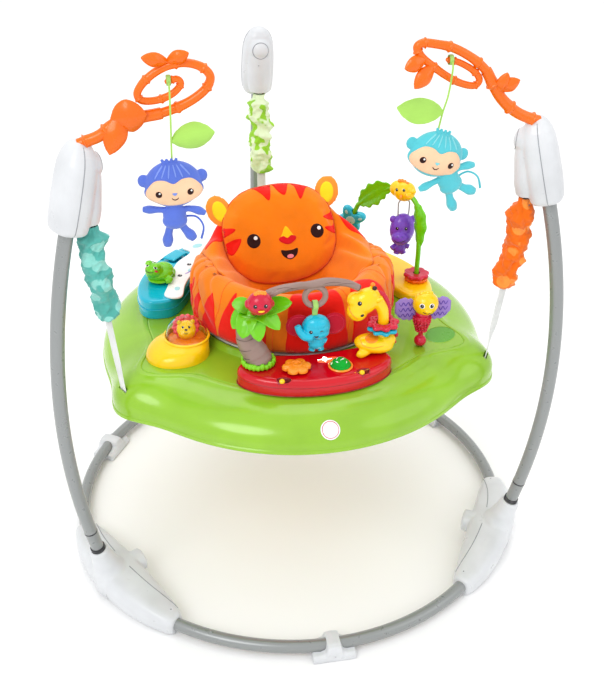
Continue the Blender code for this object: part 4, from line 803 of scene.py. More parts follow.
# ---------------------------------------------------------------- spring housings, springs, sleeves, straps
STRAP_TWIST = {"left": 8.0, "right": -34.0, "back": 5.0}
for name, deg in POSTS.items():
    m = inner_frame(deg)
    lo, hi = Vector((0.4150, 0.0, 0.7050)), Vector((0.3840, 0.0, 0.8120))
    up = (hi - lo).normalized()
    across = Vector((up.z, 0.0, -up.x))
    shell = []
    for s, f in ((0.0, 0.70), (0.02, 0.86), (0.06, 0.96), (0.15, 1.01), (0.40, 1.04), (0.70, 1.02),
                 (0.90, 0.96), (1.02, 0.84), (1.12, 0.64), (1.18, 0.42), (1.205, 0.20)):
        c = lo + (hi - lo) * s
        ring = []
        for k in range(32):
            a = 2 * pi * k / 32
            ca, sa = cos(a), sin(a)
            ring.append(m @ (c + across * (0.0262 * f * signed_pow(ca, 0.75))
                             + Vector((0, 1, 0)) * (0.0300 * f * signed_pow(sa, 0.75))))
        shell.append(ring)
    bulge = limb([m @ Vector(p) for p in ((0.3848, 0, 0.7125), (0.3825, 0, 0.735), (0.3790, 0, 0.770),
                                          (0.3760, 0, 0.795))], [0.0200, 0.0232, 0.0236, 0.0222], sides=24)
    knob = ball(m @ Vector((0.3740, 0, 0.796)), (0.0232, 0.0232, 0.0232))
    well = sweep([m @ Vector((strap_radius(z), 0, z)) for z in (0.695, 0.71, 0.73, 0.7495)], 0.0130, 24)
    shape = sculpt("spring_housing_%s_shell" % name, [shell, bulge, knob], "white", "frame", 0.0016, 3,
                   ("spring_housing_" + name,), "white_plastic", cuts=[well], factor=0.45)
    tree = tree_of(shape)
    # parting line round the two half shells, drawn in grey as painted shade of its groove
    for s in (-1, 1):
        line = []
        for i in range(25):
            c = lo + (hi - lo) * (0.02 + 1.12 * i / 24)
            hit = tree.ray_cast(m @ (c + Vector((0, s * 0.08, 0)) + across * 0.004),
                                m.to_3x3() @ Vector((0, -s, 0)))[0]
            if hit:
                line.append(hit)
        tube("spring_housing_%s_parting_%s" % (name, "ab"[(s + 1) // 2]), line, 0.0007, "line", "frame", 6)
    # ring round the cap, drawn in the same grey as painted shade of its groove
    rays = flat_rays(m @ Vector((0.352, 0, 0.796)), m.to_3x3() @ Vector((0, -1, 0)), (0, 0, 1))
    ring_line = [(0.0150 * cos(pi * 2 * i / 24), 0.0150 * sin(pi * 2 * i / 24)) for i in range(25)]
    ribbon("spring_housing_%s_cap_ring" % name, ring_line, 0.0014, rays, tree, "line", "frame", 0.0005)
    hit, normal, _, _ = tree.ray_cast(m @ Vector((0.30, 0.004, 0.768)), m.to_3x3() @ Vector((1, 0, 0)))
    if hit:
        screw("spring_housing_%s_screw" % name, hit, normal, 0.0022)
    # coil spring hidden in the sleeve
    turns = 16
    coil = []
    for i in range(turns * 14 + 1):
        z = SPRING_LOW + SPRING_RISE * i / (turns * 14)
        a = 2 * pi * turns * i / (turns * 14)
        coil.append(m @ Vector((strap_radius(z) + 0.0082 * cos(a), 0.0082 * sin(a), z)))
    spring = tube("spring_%s_coil" % name, coil, 0.0010, "zinc", None, 8, nodes=("spring_" + name,),
                  slot="spring_steel")
    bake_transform(spring)
    # gathered cloth sleeve: ruffles, slack folds and a pinched hem at both ends
    rings = []
    rows, sides = 92, 44
    for i in range(rows + 1):
        f = i / rows
        z = SLEEVE_LOW + SLEEVE_RISE * f
        pinch = min(1.0, 0.55 + 9.0 * min(f, max(0.0, 0.94 - f)))
        sway = Vector((0.0030 * sin(9.0 * f + deg), 0.0030 * sin(12.0 * f + 1.3 * deg), 0))
        ring = []
        for k in range(sides):
            a = 2 * pi * k / sides
            p = Vector((cos(a), sin(a), 0))
            fold = 0.0062 * noise.noise(Vector((p.x * 1.1 + deg, p.y * 1.1, f * 8.0)))
            fold += 0.0046 * noise.noise(Vector((p.x * 1.8 + deg, p.y * 1.8, f * 19.0 + 2.0 * p.x)))
            fold += 0.0016 * sin(2 * pi * 4.5 * f + 1.9 * sin(a + 4 * f) + deg)
            fold += 0.0016 * noise.noise(Vector((p.x * 5 + deg, p.y * 5, f * 46.0)))
            r = (0.0178 + fold) * pinch
            ring.append((strap_radius(z), z, sway * pinch, r, p))
        rings.append(ring)
    wall = [[m @ (Vector((x, 0, z)) + sw + Vector(((r - thin) * p.x, 1.12 * (r - thin) * p.y, 0))) for x, z,
             sw, r, p in ring] for thin, row in ((0.0, rings), (0.0009, list(reversed(rings))))
            for ring in row]
    sleeve = lofted("sleeve_%s_cloth" % name, wall, "sleeve_" + name, None, True, nodes=("sleeve_" + name,),
                    crease=None, slot={"left": "teal_cloth", "right": "orange_dot_cloth",
                                       "back": "leaf_print_cloth"}[name])
    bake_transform(sleeve)
    # webbing strap with a stitched fold at its lower stop
    bm = bmesh.new()
    rings = []
    for i in range(41):
        z = STRAP_LOW + STRAP_RISE * i / 40
        t, w = 0.0008, 0.0088
        f = clamp((z - 0.4300) / 0.050)
        spin = rot_z(STRAP_TWIST[name] * f * f * (3 - 2 * f))
        ring = [Vector((strap_radius(z), 0, z)) + spin @ Vector((t * cos(q), w * signed_pow(sin(q), 0.4), 0))
                for q in circle(12)]
        rings.append([m @ p for p in ring])
    loft(bm, rings)
    loft(bm, [[m @ Vector((strap_radius(0.389) + x * f, y * f2, z)) for x, y in
               [(0.0036 * signed_pow(cos(q), 0.5), 0.0128 * signed_pow(sin(q), 0.5))
                for q in circle(20)]]
              for z, f, f2 in ((0.3836, 0.7, 0.95), (0.3845, 1, 1), (0.3935, 1, 1), (0.3944, 0.7, 0.95))])
    finish_mesh("strap_%s_webbing" % name, bm, "web", "tray", nodes=("strap_" + name,), slot="white_webbing")

# ---------------------------------------------------------------- tray
DECK, LIP, RIM = 0.4300, 0.1700, 0.3660


def lobe(deg):
    return sum(exp(-(((deg - a + 180.0) % 360.0 - 180.0) / 9.0) ** 2) for a in POSTS.values())


rings = []
for k in range(240):
    deg = 360.0 * k / 240
    lo = lobe(deg)
    ro = 0.3385 + 0.0285 * lo
    rc = 0.2680 + 0.056 * lo                 # crease between the deck and the skirt
    span = ro - rc
    prof = [(LIP, DECK - 0.004), (LIP, DECK + 0.0060), (LIP + 0.0012, DECK + 0.0088),
            (LIP + 0.004, DECK + 0.0100), (LIP + 0.0075, DECK + 0.0092), (LIP + 0.0110, DECK + 0.0050),
            (LIP + 0.0140, DECK + 0.0012), (LIP + 0.018, DECK), (0.215, DECK + 0.0004),
            (0.2450, DECK + 0.0004), (rc - 0.0130, DECK + 0.0002), (rc - 0.0112, DECK - 0.0010),
            (rc - 0.0094, DECK + 0.0002), (rc - 0.0030, DECK + 0.0002), (rc - 0.0006, DECK - 0.0004),
            (rc + 0.0020, DECK - 0.0026)]
    top = DECK - 0.0022
    for f in (0.10, 0.2, 0.3, 0.4, 0.5, 0.6, 0.7, 0.8, 0.88, 0.94, 0.98, 1.0):
        drop = (1 - cos(f * pi / 2)) * 0.55 + 0.45 * f
        prof.append((rc + 0.0020 + (span - 0.0020) * sin(f * pi / 2) ** 0.92,
                     top - (top - 0.3790 - 0.006 * lo) * drop))
    prof += [(ro + 0.0, 0.3740), (ro + 0.0014, 0.3722), (ro + 0.0016, 0.3675), (ro + 0.0002, RIM),
             (ro - 0.0026, RIM)]
    prof += [(ro - 0.003, 0.380), (rc + 0.85 * span - 0.003, 0.396), (rc + 0.45 * span - 0.002, 0.4150),
             (rc - 0.002, DECK - 0.0040), (LIP + 0.012, DECK - 0.003), (LIP + 0.006, DECK - 0.004)]
    rings.append([pol(r, deg, z) for r, z in prof])
me = skin("tray", [rings], closed=True)
slots = [[[inner_frame(d) @ Vector((strap_radius(0.41) + sx, sy, z)) for sx,
           sy in ((-0.0030, -0.0105), (0.0030, -0.0105), (0.0030, 0.0105), (-0.0030, 0.0105))]
          for z in (0.375, 0.445)] for d in POSTS.values()]
DIMPLE = V(0.238, -0.128, DECK)
tray = carve("tray_shell", me, slots, "tray", "tray", nodes=("tray",), slot="green_tray", crease=32)
tray_tree = tree_of(tray)
down = lambda x, y: (V(x, y, 0.60), Vector((0, 0, -1)))
# the dimple is a flat darker oval with a raised rim: painted shade of a hollow
decal("tray_dimple", ellipse(DIMPLE.x, DIMPLE.y - AXIS_Y, 0.0300, 0.0235, 35), down, tray_tree, "tray_dark",
      "tray", 0.0003)
ribbon("tray_dimple_edge", [(DIMPLE.x + 0.0300 * cos(a) * 0.82 - 0.0235 * sin(a) * 0.57,
                             DIMPLE.y - AXIS_Y + 0.0300 * cos(a) * 0.57 + 0.0235 * sin(a) * 0.82)
                            for a in [2 * pi * i / 24 for i in range(25)]], 0.0014, down, tray_tree, "tray",
       "tray", 0.0006)
# plain round badge on the front of the skirt
badge_at = pol(0.335, 270.5, 0.4085)
badge_rays = flat_rays(badge_at, (1, 0, 0), Vector((0, 0.62, 0.78)))
decal("tray_badge", ellipse(0, 0, 0.0155, 0.0155), badge_rays, tray_tree, "ivory", "tray", 0.0012)
ribbon("tray_badge_ring", [(0.0128 * cos(2 * pi * i / 24), 0.0128 * sin(2 * pi * i / 24)) for i in range(25)],
       0.0011, badge_rays, tray_tree, "crimson", "tray", 0.0017)

# ---------------------------------------------------------------- seat: ring, sling, bolster, head pad
turned("seat_ring_moulding", [(0.1570, 0.4215), (0.1750, 0.4215), (0.1755, 0.4250), (0.1690, 0.4254),
                              (0.1688, 0.4402), (0.1715, 0.4403), (0.1722, 0.4415), (0.1718, 0.4430),
                              (0.1570, 0.4430), (0.1560, 0.4420), (0.1560, 0.4225)], V(0, 0, 0), "white",
       "seat", 96, nodes=("seat_ring",), slot="white_plastic", ring=True)


def round_from_front(deg):
    """0 in front, 1 behind."""
    return abs((deg - 270.0 + 180.0) % 360.0 - 180.0) / 180.0


def seat_top(deg):
    """Height of the padded roll: it dips at the shoulders and rises again behind the head pad."""
    d = round_from_front(deg)
    back = clamp((d - 0.84) / 0.14)
    return 0.5440 - 0.0200 * exp(-((d - 0.70) / 0.14) ** 2) + 0.0180 * back * back * (3 - 2 * back)


def roll_inside(deg):
    """Inner radius of the roll: plump in front and at the sides, thin behind the head pad."""
    f = clamp((round_from_front(deg) - 0.50) / 0.18)
    return 0.1180 + 0.0300 * f * f * (3 - 2 * f)


def roll_outside(deg):
    return 0.1800 + 0.0020 * cos(radians(deg)) ** 2


def puff(o, voxel, pressure, cap, frames=20):
    """Blows a padded piece up with cloth simulation, no point further than cap from where it was."""
    r = o.modifiers.new("remesh", "REMESH")
    r.mode = "VOXEL"
    r.voxel_size = voxel
    bake(o)
    rest = [v.co.copy() for v in o.data.vertices]
    c = o.modifiers.new("cloth", "CLOTH")
    s = c.settings
    s.quality = 5
    s.mass = 0.15
    s.use_pressure = True
    s.uniform_pressure_force = pressure
    s.tension_stiffness = s.compression_stiffness = 12.0
    s.bending_stiffness = 0.4
    s.shrink_min = 0.0
    s.effector_weights.gravity = 0.0
    c.point_cache.frame_start, c.point_cache.frame_end = 1, frames
    for f in range(1, frames + 1):
        bpy.context.scene.frame_set(f)
    me = bpy.data.meshes.new_from_object(o.evaluated_get(bpy.context.evaluated_depsgraph_get()))
    moved = [v.co.copy() for v in me.vertices]
    o.modifiers.clear()
    bpy.data.meshes.remove(me)
    bpy.context.scene.frame_set(1)
    for v, a, b in zip(o.data.vertices, rest, moved):
        d = b - a
        v.co = a + (d if d.length <= cap else d * (cap / d.length))
    s = o.modifiers.new("fillet", "SMOOTH")
    s.factor, s.iterations = 0.5, 3
    s = o.modifiers.new("fine", "SUBSURF")
    s.levels = s.render_levels = 1
    return bake(o)


def soft(name, shapes, voxel, pressure, cap):
    """A padded piece from overlapping shapes."""
    return puff(new_object(name, skin(name, shapes)), voxel, pressure, cap)


def dress(o, material, body, nodes=()):
    o.data.materials.clear()
    o.data.materials.append(MAT[material])
    o.data.shade_smooth()
    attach(o, body)
    if nodes:
        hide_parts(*nodes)
    return o


# sling: one continuous cloth shell with two leg holes
rings = []
for r, z in ((0.030, 0.2300), (0.060, 0.2380), (0.090, 0.2500), (0.112, 0.2750), (0.128, 0.3050),
             (0.1420, 0.3500), (0.1510, 0.3950), (0.1535, 0.4440), (0.1470, 0.4700), (0.1450, 0.4660),
             (0.1480, 0.4300), (0.1460, 0.3950), (0.1370, 0.3500), (0.1240, 0.3080), (0.108, 0.2790),
             (0.088, 0.2535), (0.060, 0.2420), (0.030, 0.2335)):
    ring = []
    for k in range(96):
        deg = 360.0 * k / 96
        pull = 0.0018 * sin(8 * radians(deg)) * sin(pi * clamp((z - 0.25) / 0.18))
        pull += 0.0014 * noise.noise(Vector((cos(radians(deg)) * 4, sin(radians(deg)) * 4, z * 30)))
        ring.append(pol(r + pull, deg, z))
    rings.append(ring)
me = skin("sling", [rings])
legs = [sweep([pol(0.060, a, 0.345), pol(0.220, a, 0.270)], 0.046, 40) for a in LEG_HOLES.values()]
sling = carve("seat_sling", me, legs, "inner", "seat", slot="orange_seat_cloth", crease=None)
sling_tree = tree_of(sling)
for name, a in LEG_HOLES.items():
    axis = (pol(0.220, a, 0.270) - pol(0.060, a, 0.345)).normalized()
    u = axis.orthogonal().normalized()
    v = axis.cross(u)
    loop = []
    for i in range(49):
        q = 2 * pi * i / 48
        off = (u * cos(q) + v * sin(q)) * 0.0462
        origin = pol(0.060, a, 0.345) + off
        hit = sling_tree.ray_cast(origin + axis * 0.20, -axis)[0]
        loop.append(hit if hit and (hit - pol(0.12, a, 0.31)).length < 0.08
                    else origin + axis * (0.066 + 0.016 * cos(q)))
    loop[-1] = loop[0]
    tube("seat_leg_binding_" + name, loop, 0.0024, "stripe", "seat", 10)

# bolster: the tiger's padded arms, all round the opening
rings = []
for k in range(120):
    deg = 360.0 * k / 120
    zt, ri, ro = seat_top(deg), roll_inside(deg), roll_outside(deg)
    tuck = 0.0010 * sin(7 * radians(deg) + 2.0) * min(1.0, 2.5 * round_from_front(deg))
    section = ((0.1570, 0.4452), (0.1765, 0.4450), (ro + 0.0005, 0.4600), (ro - 0.0030, 0.5050),
               (ro - 0.0130, zt - 0.0125), (0.5 * (0.160 + ri + 0.010), zt - 0.001),
               (ri + 0.0105, zt - 0.0085), (ri + 0.001, zt - 0.0300), (ri + 0.0015, 0.4720),
               (0.5 * (ri + 0.150), 0.4535))
    ring = [pol(p.x + tuck, deg, p.y) for p in curve_through([Vector((r, z, 0)) for r, z in section], 4,
                                                             closed=True)]
    rings.append(ring)
me = skin("seat_bolster", [rings], closed=True)
bolster = new_object("seat_bolster", me)
puff(bolster, 0.0045, 4.0, 0.0045)
# slack cloth gathers in folds over the padding: deepest at the sides and the back, least in front
for v in bolster.data.vertices:
    p = v.co - V(0, 0, 0)
    deg = degrees(atan2(p.y, p.x)) % 360.0
    front = abs((deg - 270.0 + 180.0) % 360.0 - 180.0)
    amount = 0.25 + 0.75 * clamp((front - 50.0) / 40.0)
    q = Vector((cos(radians(deg)) * 2.4, sin(radians(deg)) * 2.4, p.z * 16.0 + deg * 0.016))
    fold = noise.noise(q) * 0.0052 + abs(noise.noise(q * 2.1 + Vector((3, 1, 7)))) * -0.0062 + 0.0014
    out = Vector((cos(radians(deg)), sin(radians(deg)), 0.35)).normalized()
    crease = (front / 15.0 - 26.0 * p.z + 0.6 * noise.noise(q * 0.6)) % 1.0 - 0.5
    slack = max(0.0, min(1.0, (front - 48.0) / 22.0, (140.0 - front) / 22.0))
    pull = 0.0046 * exp(-(crease / 0.15) ** 2) * slack
    inner = hypot(p.x, p.y) < 0.5 * (roll_inside(deg) + roll_outside(deg))
    v.co = v.co + out * fold * amount - (Vector((-out.x, -out.y, out.z)) if inner else out) * pull
bolster.data.update()
dress(bolster, "arm", "seat", ("seat_fabric",))
bolster_tree = tree_of(bolster)


def arm_rays(deg, up):
    """Ray for a point given as degrees round the seat and up the roll: 0 is outwards, 90 is the top."""
    centre = pol(0.5 * (roll_inside(deg) + roll_outside(deg)), deg, 0.5 * (seat_top(deg) + 0.450))
    d = (pol(1.0, deg, 0) - V(0, 0, 0)) * cos(radians(up)) + Vector((0, 0, sin(radians(up))))
    return centre + d * 0.09, -d


panels = {"flame_0": [(204, -58), (210, -60), (216, -58), (215, -20), (213, 26), (210, 52), (207, 20),
                      (205, -20)], "flame_1": [(218, -60), (225, -62), (232, -60), (232, -20), (229, 30),
                                               (226, 74), (222, 30), (219, -20)],
          "sliver": [(241, -62), (246, -62), (246.4, 0), (246, 60), (245, 104), (243, 60), (241.6, 0)],
          "chest": [(258, -64), (257.5, -20), (257.5, 30), (259, 80), (264, 112), (274, 120), (284, 112),
                    (288.5, 80), (289.5, 30), (290, -20), (290, -64), (274, -66)],
          "side": [(295, -64), (294.5, -20), (294.5, 30), (296, 74), (304, 96), (313, 86), (320, 54),
                   (324, 10), (325, -30), (324, -62), (310, -66)],
          "left_edge_0": [(192, -58), (196, -60), (200, -58), (199, -20), (197, 34), (194, 0)],
          "left_edge_1": [(180, -40), (184, -50), (188, -40), (188, 0), (186, 46), (182, 10)],
          "right_edge_0": [(338, -58), (342, -60), (346, -56), (345, -10), (342, 44), (339, -8)],
          "right_edge_1": [(352, -50), (356, -56), (360, -50), (360, -6), (357, 44), (354, -6)],}
for name, outline in panels.items():
    decal("seat_" + name, blobby(outline, 6), arm_rays, bolster_tree, "stripe", "seat", 0.0009, 14)
# piping between the roll and the sling
seat_piping = []
for k in range(121):
    hit = bolster_tree.find_nearest(pol(roll_outside(3.0 * k) - 0.004, 3.0 * k, 0.4560))[0]
    seat_piping.append(hit - (pol(1.0, 3.0 * k) - V(0, 0, 0)) * 0.0012)
tube("seat_piping", seat_piping, 0.0016, "thread", "seat", 8)
# stitched lines between the cloth panels of the roll
for i, deg in enumerate((164.0, 190.0, 216.5, 237.0, 251.0, 292.0, 327.0, 350.0, 14.0)):
    line = []
    for up in range(-60, 150, 6):
        start, way = arm_rays(deg + 1.2 * sin(up * 0.04), up)
        hit = bolster_tree.ray_cast(start, way)[0]
        if hit:
            line.append(hit)
    tube("seat_roll_seam_%d" % i, line, 0.0006, "inner", "seat", 6)

# head pad: a flat plump oval leaning back, with two ears
lean = rot_x(-33.0) @ rot_y(-4.5)
HEAD = V(-0.0100, 0.0750, 0.5465)


def super_pad(rx, ry, rz, power=2.4, n=48, rows=18):
    out = []
    for i in range(rows + 1):
        t = -1.0 + 2.0 * i / rows
        y = ry * sin(t * pi / 2)
        k = max(1.0 - abs(y / ry) ** 2.6, 0.0) ** (1 / 2.6)
        k = max(k, 0.12)
        ring = []
        for j in range(n):
            a = 2 * pi * j / n
            ca, sa = cos(a), sin(a)
            x = rx * k * signed_pow(ca, (2 / power))
            z = rz * k * signed_pow(sa, (2 / power))
            ring.append(Matrix.Translation(HEAD) @ lean @ Vector((x, y, z)))
        out.append(ring)
    return out


head = soft("seat_head_pad_face", [super_pad(0.1095, 0.0150, 0.0955)], 0.0048, 4.0, 0.007)
dress(head, "face", "seat", ("seat_head_pad",))
head_tree = tree_of(head)
for name, x in (("left", -0.1010), ("right", 0.0990)):
    c = HEAD + lean.to_3x3() @ Vector((x, 0.004, 0.0560 if x < 0 else 0.0640))
    turn = lean @ rot_y(-18.0 if x < 0 else 18.0)
    ear_pad = soft("seat_ear_" + name, [ball(c, (0.0235, 0.0055, 0.0300), turn)], 0.0030, 3.0, 0.003)
    dress(ear_pad, "ear", "seat", ())
    rays = flat_rays(c, lean.to_3x3() @ Vector((1, 0, 0)), lean.to_3x3() @ Vector((0, 0, 1)))
    decal("seat_ear_%s_inner" % name, ellipse(0.001 if x < 0 else -0.001, -0.002, 0.0125, 0.0190,
                                              -12 if x > 0 else 12), rays, ear_pad, "ear_inner", "seat",
          0.0005)
FACE = flat_rays(HEAD, lean.to_3x3() @ Vector((1, 0, 0)), lean.to_3x3() @ Vector((0, 0, 1)))
for i, (x, z) in enumerate(((-0.0510, -0.0095), (0.0650, -0.0075))):
    decal("face_eye_%d" % i, ellipse(x, z, 0.0120, 0.0128), FACE, head_tree, "eye_brown", "seat", 0.0006)
    decal("face_glint_%d" % i, ellipse(x + 0.0040, z + 0.0045, 0.0036, 0.0036, n=16), FACE, head_tree,
          "eye_white", "seat", 0.0010, 3)
NOSE_X = 0.0095


def moved(points, dx, wide=1.0):
    """The points moved sideways, and drawn out about their own middle."""
    mid = sum(x for x, _ in points) / len(points)
    return [(mid + (x - mid) * wide + dx, z) for x, z in points]


decal("face_nose", blobby(moved([(0.0, 0.0085), (0.0085, -0.004), (0.0125, -0.0135), (0.0, -0.0150),
                                 (-0.0125, -0.0135), (-0.0085, -0.004)], NOSE_X)), FACE, head_tree,
      "nose_yellow", "seat", 0.0007)
decal("face_nose_heart", blobby(moved([(0.0, -0.0125), (0.0075, -0.0085), (0.0155, -0.0120),
                                       (0.0125, -0.0185), (0.0, -0.0240), (-0.0125, -0.0185),
                                       (-0.0155, -0.0120), (-0.0075, -0.0085)], NOSE_X)), FACE, head_tree,
      "nose_red", "seat", 0.0010)
decal("face_mouth", blobby(moved([(-0.0150, -0.0330), (-0.0060, -0.0345), (0.0060, -0.0345),
                                  (0.0150, -0.0330), (0.0120, -0.0440), (0.0, -0.0510), (-0.0120, -0.0440)],
                                 NOSE_X)), FACE, head_tree, "eye_brown", "seat", 0.0007)
decal("face_tongue", ellipse(NOSE_X, -0.0455, 0.0062, 0.0038), FACE, head_tree, "tongue", "seat", 0.0010)
face_marks = {"top_left": [(-0.0500, 0.0985), (-0.0360, 0.1030), (-0.0230, 0.1040), (-0.0240, 0.0800),
                           (-0.0290, 0.0625), (-0.0380, 0.0780)],
              "top_mid": [(-0.0120, 0.1050), (0.0, 0.1060), (0.0130, 0.1050), (0.0085, 0.0820),
                          (0.0020, 0.0690), (-0.0070, 0.0820)],
              "top_right": [(0.0270, 0.1030), (0.0400, 0.1020), (0.0530, 0.0960), (0.0430, 0.0760),
                            (0.0330, 0.0570), (0.0290, 0.0780)],
              "left_a": [(-0.1130, 0.0250), (-0.1000, 0.0230), (-0.0830, 0.0180), (-0.0900, 0.0110),
                         (-0.1130, 0.0060)], "left_b": [(-0.1090, -0.0110), (-0.0950, -0.0030),
                                                        (-0.0760, -0.0020), (-0.0810, -0.0160),
                                                        (-0.0960, -0.0300)],
              "right_a": [(0.1120, 0.0300), (0.0980, 0.0240), (0.0840, 0.0180), (0.0930, 0.0120),
                          (0.1140, 0.0120)], "right_b": [(0.1140, 0.0040), (0.1000, -0.0010),
                                                         (0.0840, -0.0030), (0.0920, -0.0120),
                                                         (0.1120, -0.0160)],}
for name, outline in face_marks.items():
    if name.startswith("top"):
        outline = moved(outline, 0.0150, 1.30)
    pts = [(x * 0.96, z * 0.93) for x, z in blobby(outline, 6)]
    decal("face_stripe_" + name, pts, FACE, head_tree, "stripe", "seat", 0.0006)
seam = []
for i in range(97):
    a = 2 * pi * i / 96
    ca, sa = cos(a), sin(a)
    p = HEAD + lean.to_3x3() @ Vector((0.1130 * signed_pow(ca, 0.83), 0.0, 0.0980 * signed_pow(sa, 0.83)))
    seam.append(head_tree.find_nearest(p)[0])
tube("seat_head_pad_seam", seam, 0.0013, "thread", "seat", 6)

# inner lining: one creased cloth from the roll to the edge of the head pad, dipping under the chin
outer = [pol(roll_inside(d) + 0.0220, d, seat_top(d) - 0.0030)
         for d in (70.0, 56.0, 42.0, 28.0, 14.0, 0.0, -14.0, -26.0)]
outer += [V(0.0940, -0.0480, 0.4980), V(0.0660, -0.0400, 0.4500), V(0.0340, -0.0300, 0.4260),
          V(0.0, -0.0260, 0.4200)]
outer += [V(-p.x, p.y - AXIS_Y, p.z) for p in reversed(outer[:-1])]
outer = curve_through(outer, 7)
n = len(outer)
grid = []
for i, p in enumerate(outer):
    a = radians(52.0 - 284.0 * i / (n - 1))
    edge = HEAD + lean.to_3x3() @ Vector((0.1010 * signed_pow(cos(a), 0.83), 0.0040,
                                          0.0880 * signed_pow(sin(a), 0.83)))
    front = exp(-((i / (n - 1) - 0.5) / 0.16) ** 2)
    col = []
    for j in range(15):
        f = j / 14
        q = p.lerp(edge, f)
        crease = 0.0034 * sin(i * 0.55 + 2.6 * f) + 0.0030 * noise.noise(Vector((i * 0.13, f * 1.7, 4.0)))
        belly = sin(pi * f)
        col.append(q + Vector((0, 0.0120 * front * belly,
                               (0.0060 * (1 - front) - 0.0100 * front + crease) * belly)))
    grid.append(col)
bm = bmesh.new()
top = [[bm.verts.new(q) for q in col] for col in grid]
low = [[bm.verts.new(q + Vector((0, 0.0004, -0.0018))) for q in col] for col in grid]
for i in range(n - 1):
    for j in range(14):
        bm.faces.new((top[i][j], top[i + 1][j], top[i + 1][j + 1], top[i][j + 1]))
        bm.faces.new((low[i][j + 1], low[i + 1][j + 1], low[i + 1][j], low[i][j]))
for i in range(n - 1):
    for j in (0, 14):
        q = (top[i][j], low[i][j], low[i + 1][j], top[i + 1][j])
        bm.faces.new(q if j == 0 else tuple(reversed(q)))
for i in (0, n - 1):
    for j in range(14):
        q = (top[i][j], top[i][j + 1], low[i][j + 1], low[i][j])
        bm.faces.new(q if i == 0 else tuple(reversed(q)))
lining = finish_mesh("seat_lining", bm, "face", "seat", slot="orange_seat_cloth", crease=None)
lining_tree = tree_of(lining)
down_on = lambda x, y: (V(x, y, 0.70), Vector((0, 0, -1)))
for name, sign in (("left", -1), ("right", 1)):
    decal("seat_shoulder_" + name, blobby([(sign * 0.100, 0.104), (sign * 0.108, 0.080),
                                           (sign * 0.124, 0.062), (sign * 0.146, 0.058),
                                           (sign * 0.136, 0.082), (sign * 0.118, 0.104)], 5), down_on,
          lining_tree, "stripe", "seat", 0.0007, 8)


# ---------------------------------------------------------------- toys: shared helpers
top_rays = lambda x, y: (V(x, y, 0.62), Vector((0, 0, -1)))


def look(at, yaw=0.0, pitch=0.0, reach=0.06, spin=0.0):
    """Rays that fall on a toy's face; yaw turns the face to the right, pitch tips it up, spin rolls it."""
    a, b = radians(yaw), radians(pitch)
    out = Vector((sin(a) * cos(b), -cos(a) * cos(b), sin(b)))
    right = Vector((cos(a), sin(a), 0.0))
    up = out.cross(right)
    s = radians(spin)
    return flat_rays(at, right * cos(s) + up * sin(s), up * cos(s) - right * sin(s), reach)


def veined_leaf(name, path, width, thick, side, body, nodes=(), slot="leaf_green_plastic", material="leaf",
                bumps=0.0, count=5):
    """Moulded leaf: pointed blade with a raised middle rib and side veins."""
    pts = curve_through(path, 10)
    n = len(pts)
    fine = [q.x for q in curve_through([Vector((w, 0, 0)) for w in width], 16)]
    ws = [max(0.0006, fine[min(len(fine) - 1, round(i / (n - 1) * (len(fine) - 1)))]) for i in range(n)]
    rings = []
    for i, p in enumerate(pts):
        t = heading(pts, i)
        u = (Vector(side) - t * t.dot(Vector(side))).normalized()
        v = t.cross(u)
        f = i / (n - 1)
        ring = []
        for k in range(28):
            a = 2 * pi * k / 28
            x = cos(a)
            edge = 1.0 + bumps * cos(2 * pi * count * f + pi)
            h = thick * (0.28 + 0.72 * min(1.0, ws[i] / max(ws)))
            vein = 0.30 * exp(-(x / 0.10) ** 2) + 0.14 * max(0.0,
                                                             cos(2 * pi * (count * f - 0.9 * abs(x)))) ** 6
            cup = -0.30 * ws[i] * x * x
            ring.append(p + u * (ws[i] * edge * x) + v * ((h * sin(a)) * (1.0 + vein) + cup))
        rings.append(ring)
    return lofted(name, rings, material, body, nodes=nodes, slot=slot, crease=None)


# ---------------------------------------------------------------- front console
CONSOLE_Z = 0.4570
console = prism("console_shell", band(0.2320, 0.0425, 239.0, 301.0, n=64), DECK + GAP, CONSOLE_Z, "red",
                "tray", bevel=0.0090, segments=8, nodes=("console_base",), slot="red_plastic",
                cuts=[ball(V(-0.0581, -0.2600, 0.4585), (0.0125, 0.0085, 0.0065), rot_z(-8)),
                      ball(V(0.0700, -0.2560, 0.4585), (0.0125, 0.0085, 0.0065), rot_z(14))])
tube("console_shadow_gap", [Vector((x, y, DECK + 0.0010)) for x,
                            y in band(0.2320, 0.0430, 238.8, 301.2, n=48)]
     + [Vector(band(0.2320, 0.0430, 238.8, 301.2, n=48)[0]).to_3d() + Vector((0, 0, DECK + 0.0010))], 0.0008,
     "dark_red", "tray", 6)
# dark seam line round the side: painted shade of the seam
tube("console_waist_line", [Vector((x, y, 0.4455)) for x, y in band(0.2320, 0.0422, 239.05, 300.95, n=48)],
     0.0006, "dark_red", "tray", 6)
for i, (x, y, turn) in enumerate(((-0.0581, -0.2600, -8.0), (0.0700, -0.2560, 14.0))):
    # darker red laid in each hollow: painted shade
    decal("console_recess_%d" % i, ellipse(x, y, 0.0118, 0.0078, turn), top_rays, console, "dark_red", "tray",
          0.0002)
    sculpt("console_recess_knob_%d" % i, [ball(V(x - 0.0035, y - 0.0030, 0.4565), (0.0046, 0.0040, 0.0042))],
           "yellow", "tray", 0.0005, 1, slot="yellow_plastic")
    # one, two and three small dots stand for the loudness settings
    for j, dx in enumerate((-0.0095, 0.0, 0.0095)):
        decal("console_mark_%d_%d" % (i, j), ellipse(x + dx - 0.002,
                                                     y - 0.0145 + 0.0016 * (i * 2 - 1) * (-dx * 100),
                                                     0.0012 + 0.0005 * j, 0.0012 + 0.0005 * j, n=12),
              top_rays, console, "yellow", "tray", 0.0006, 3)

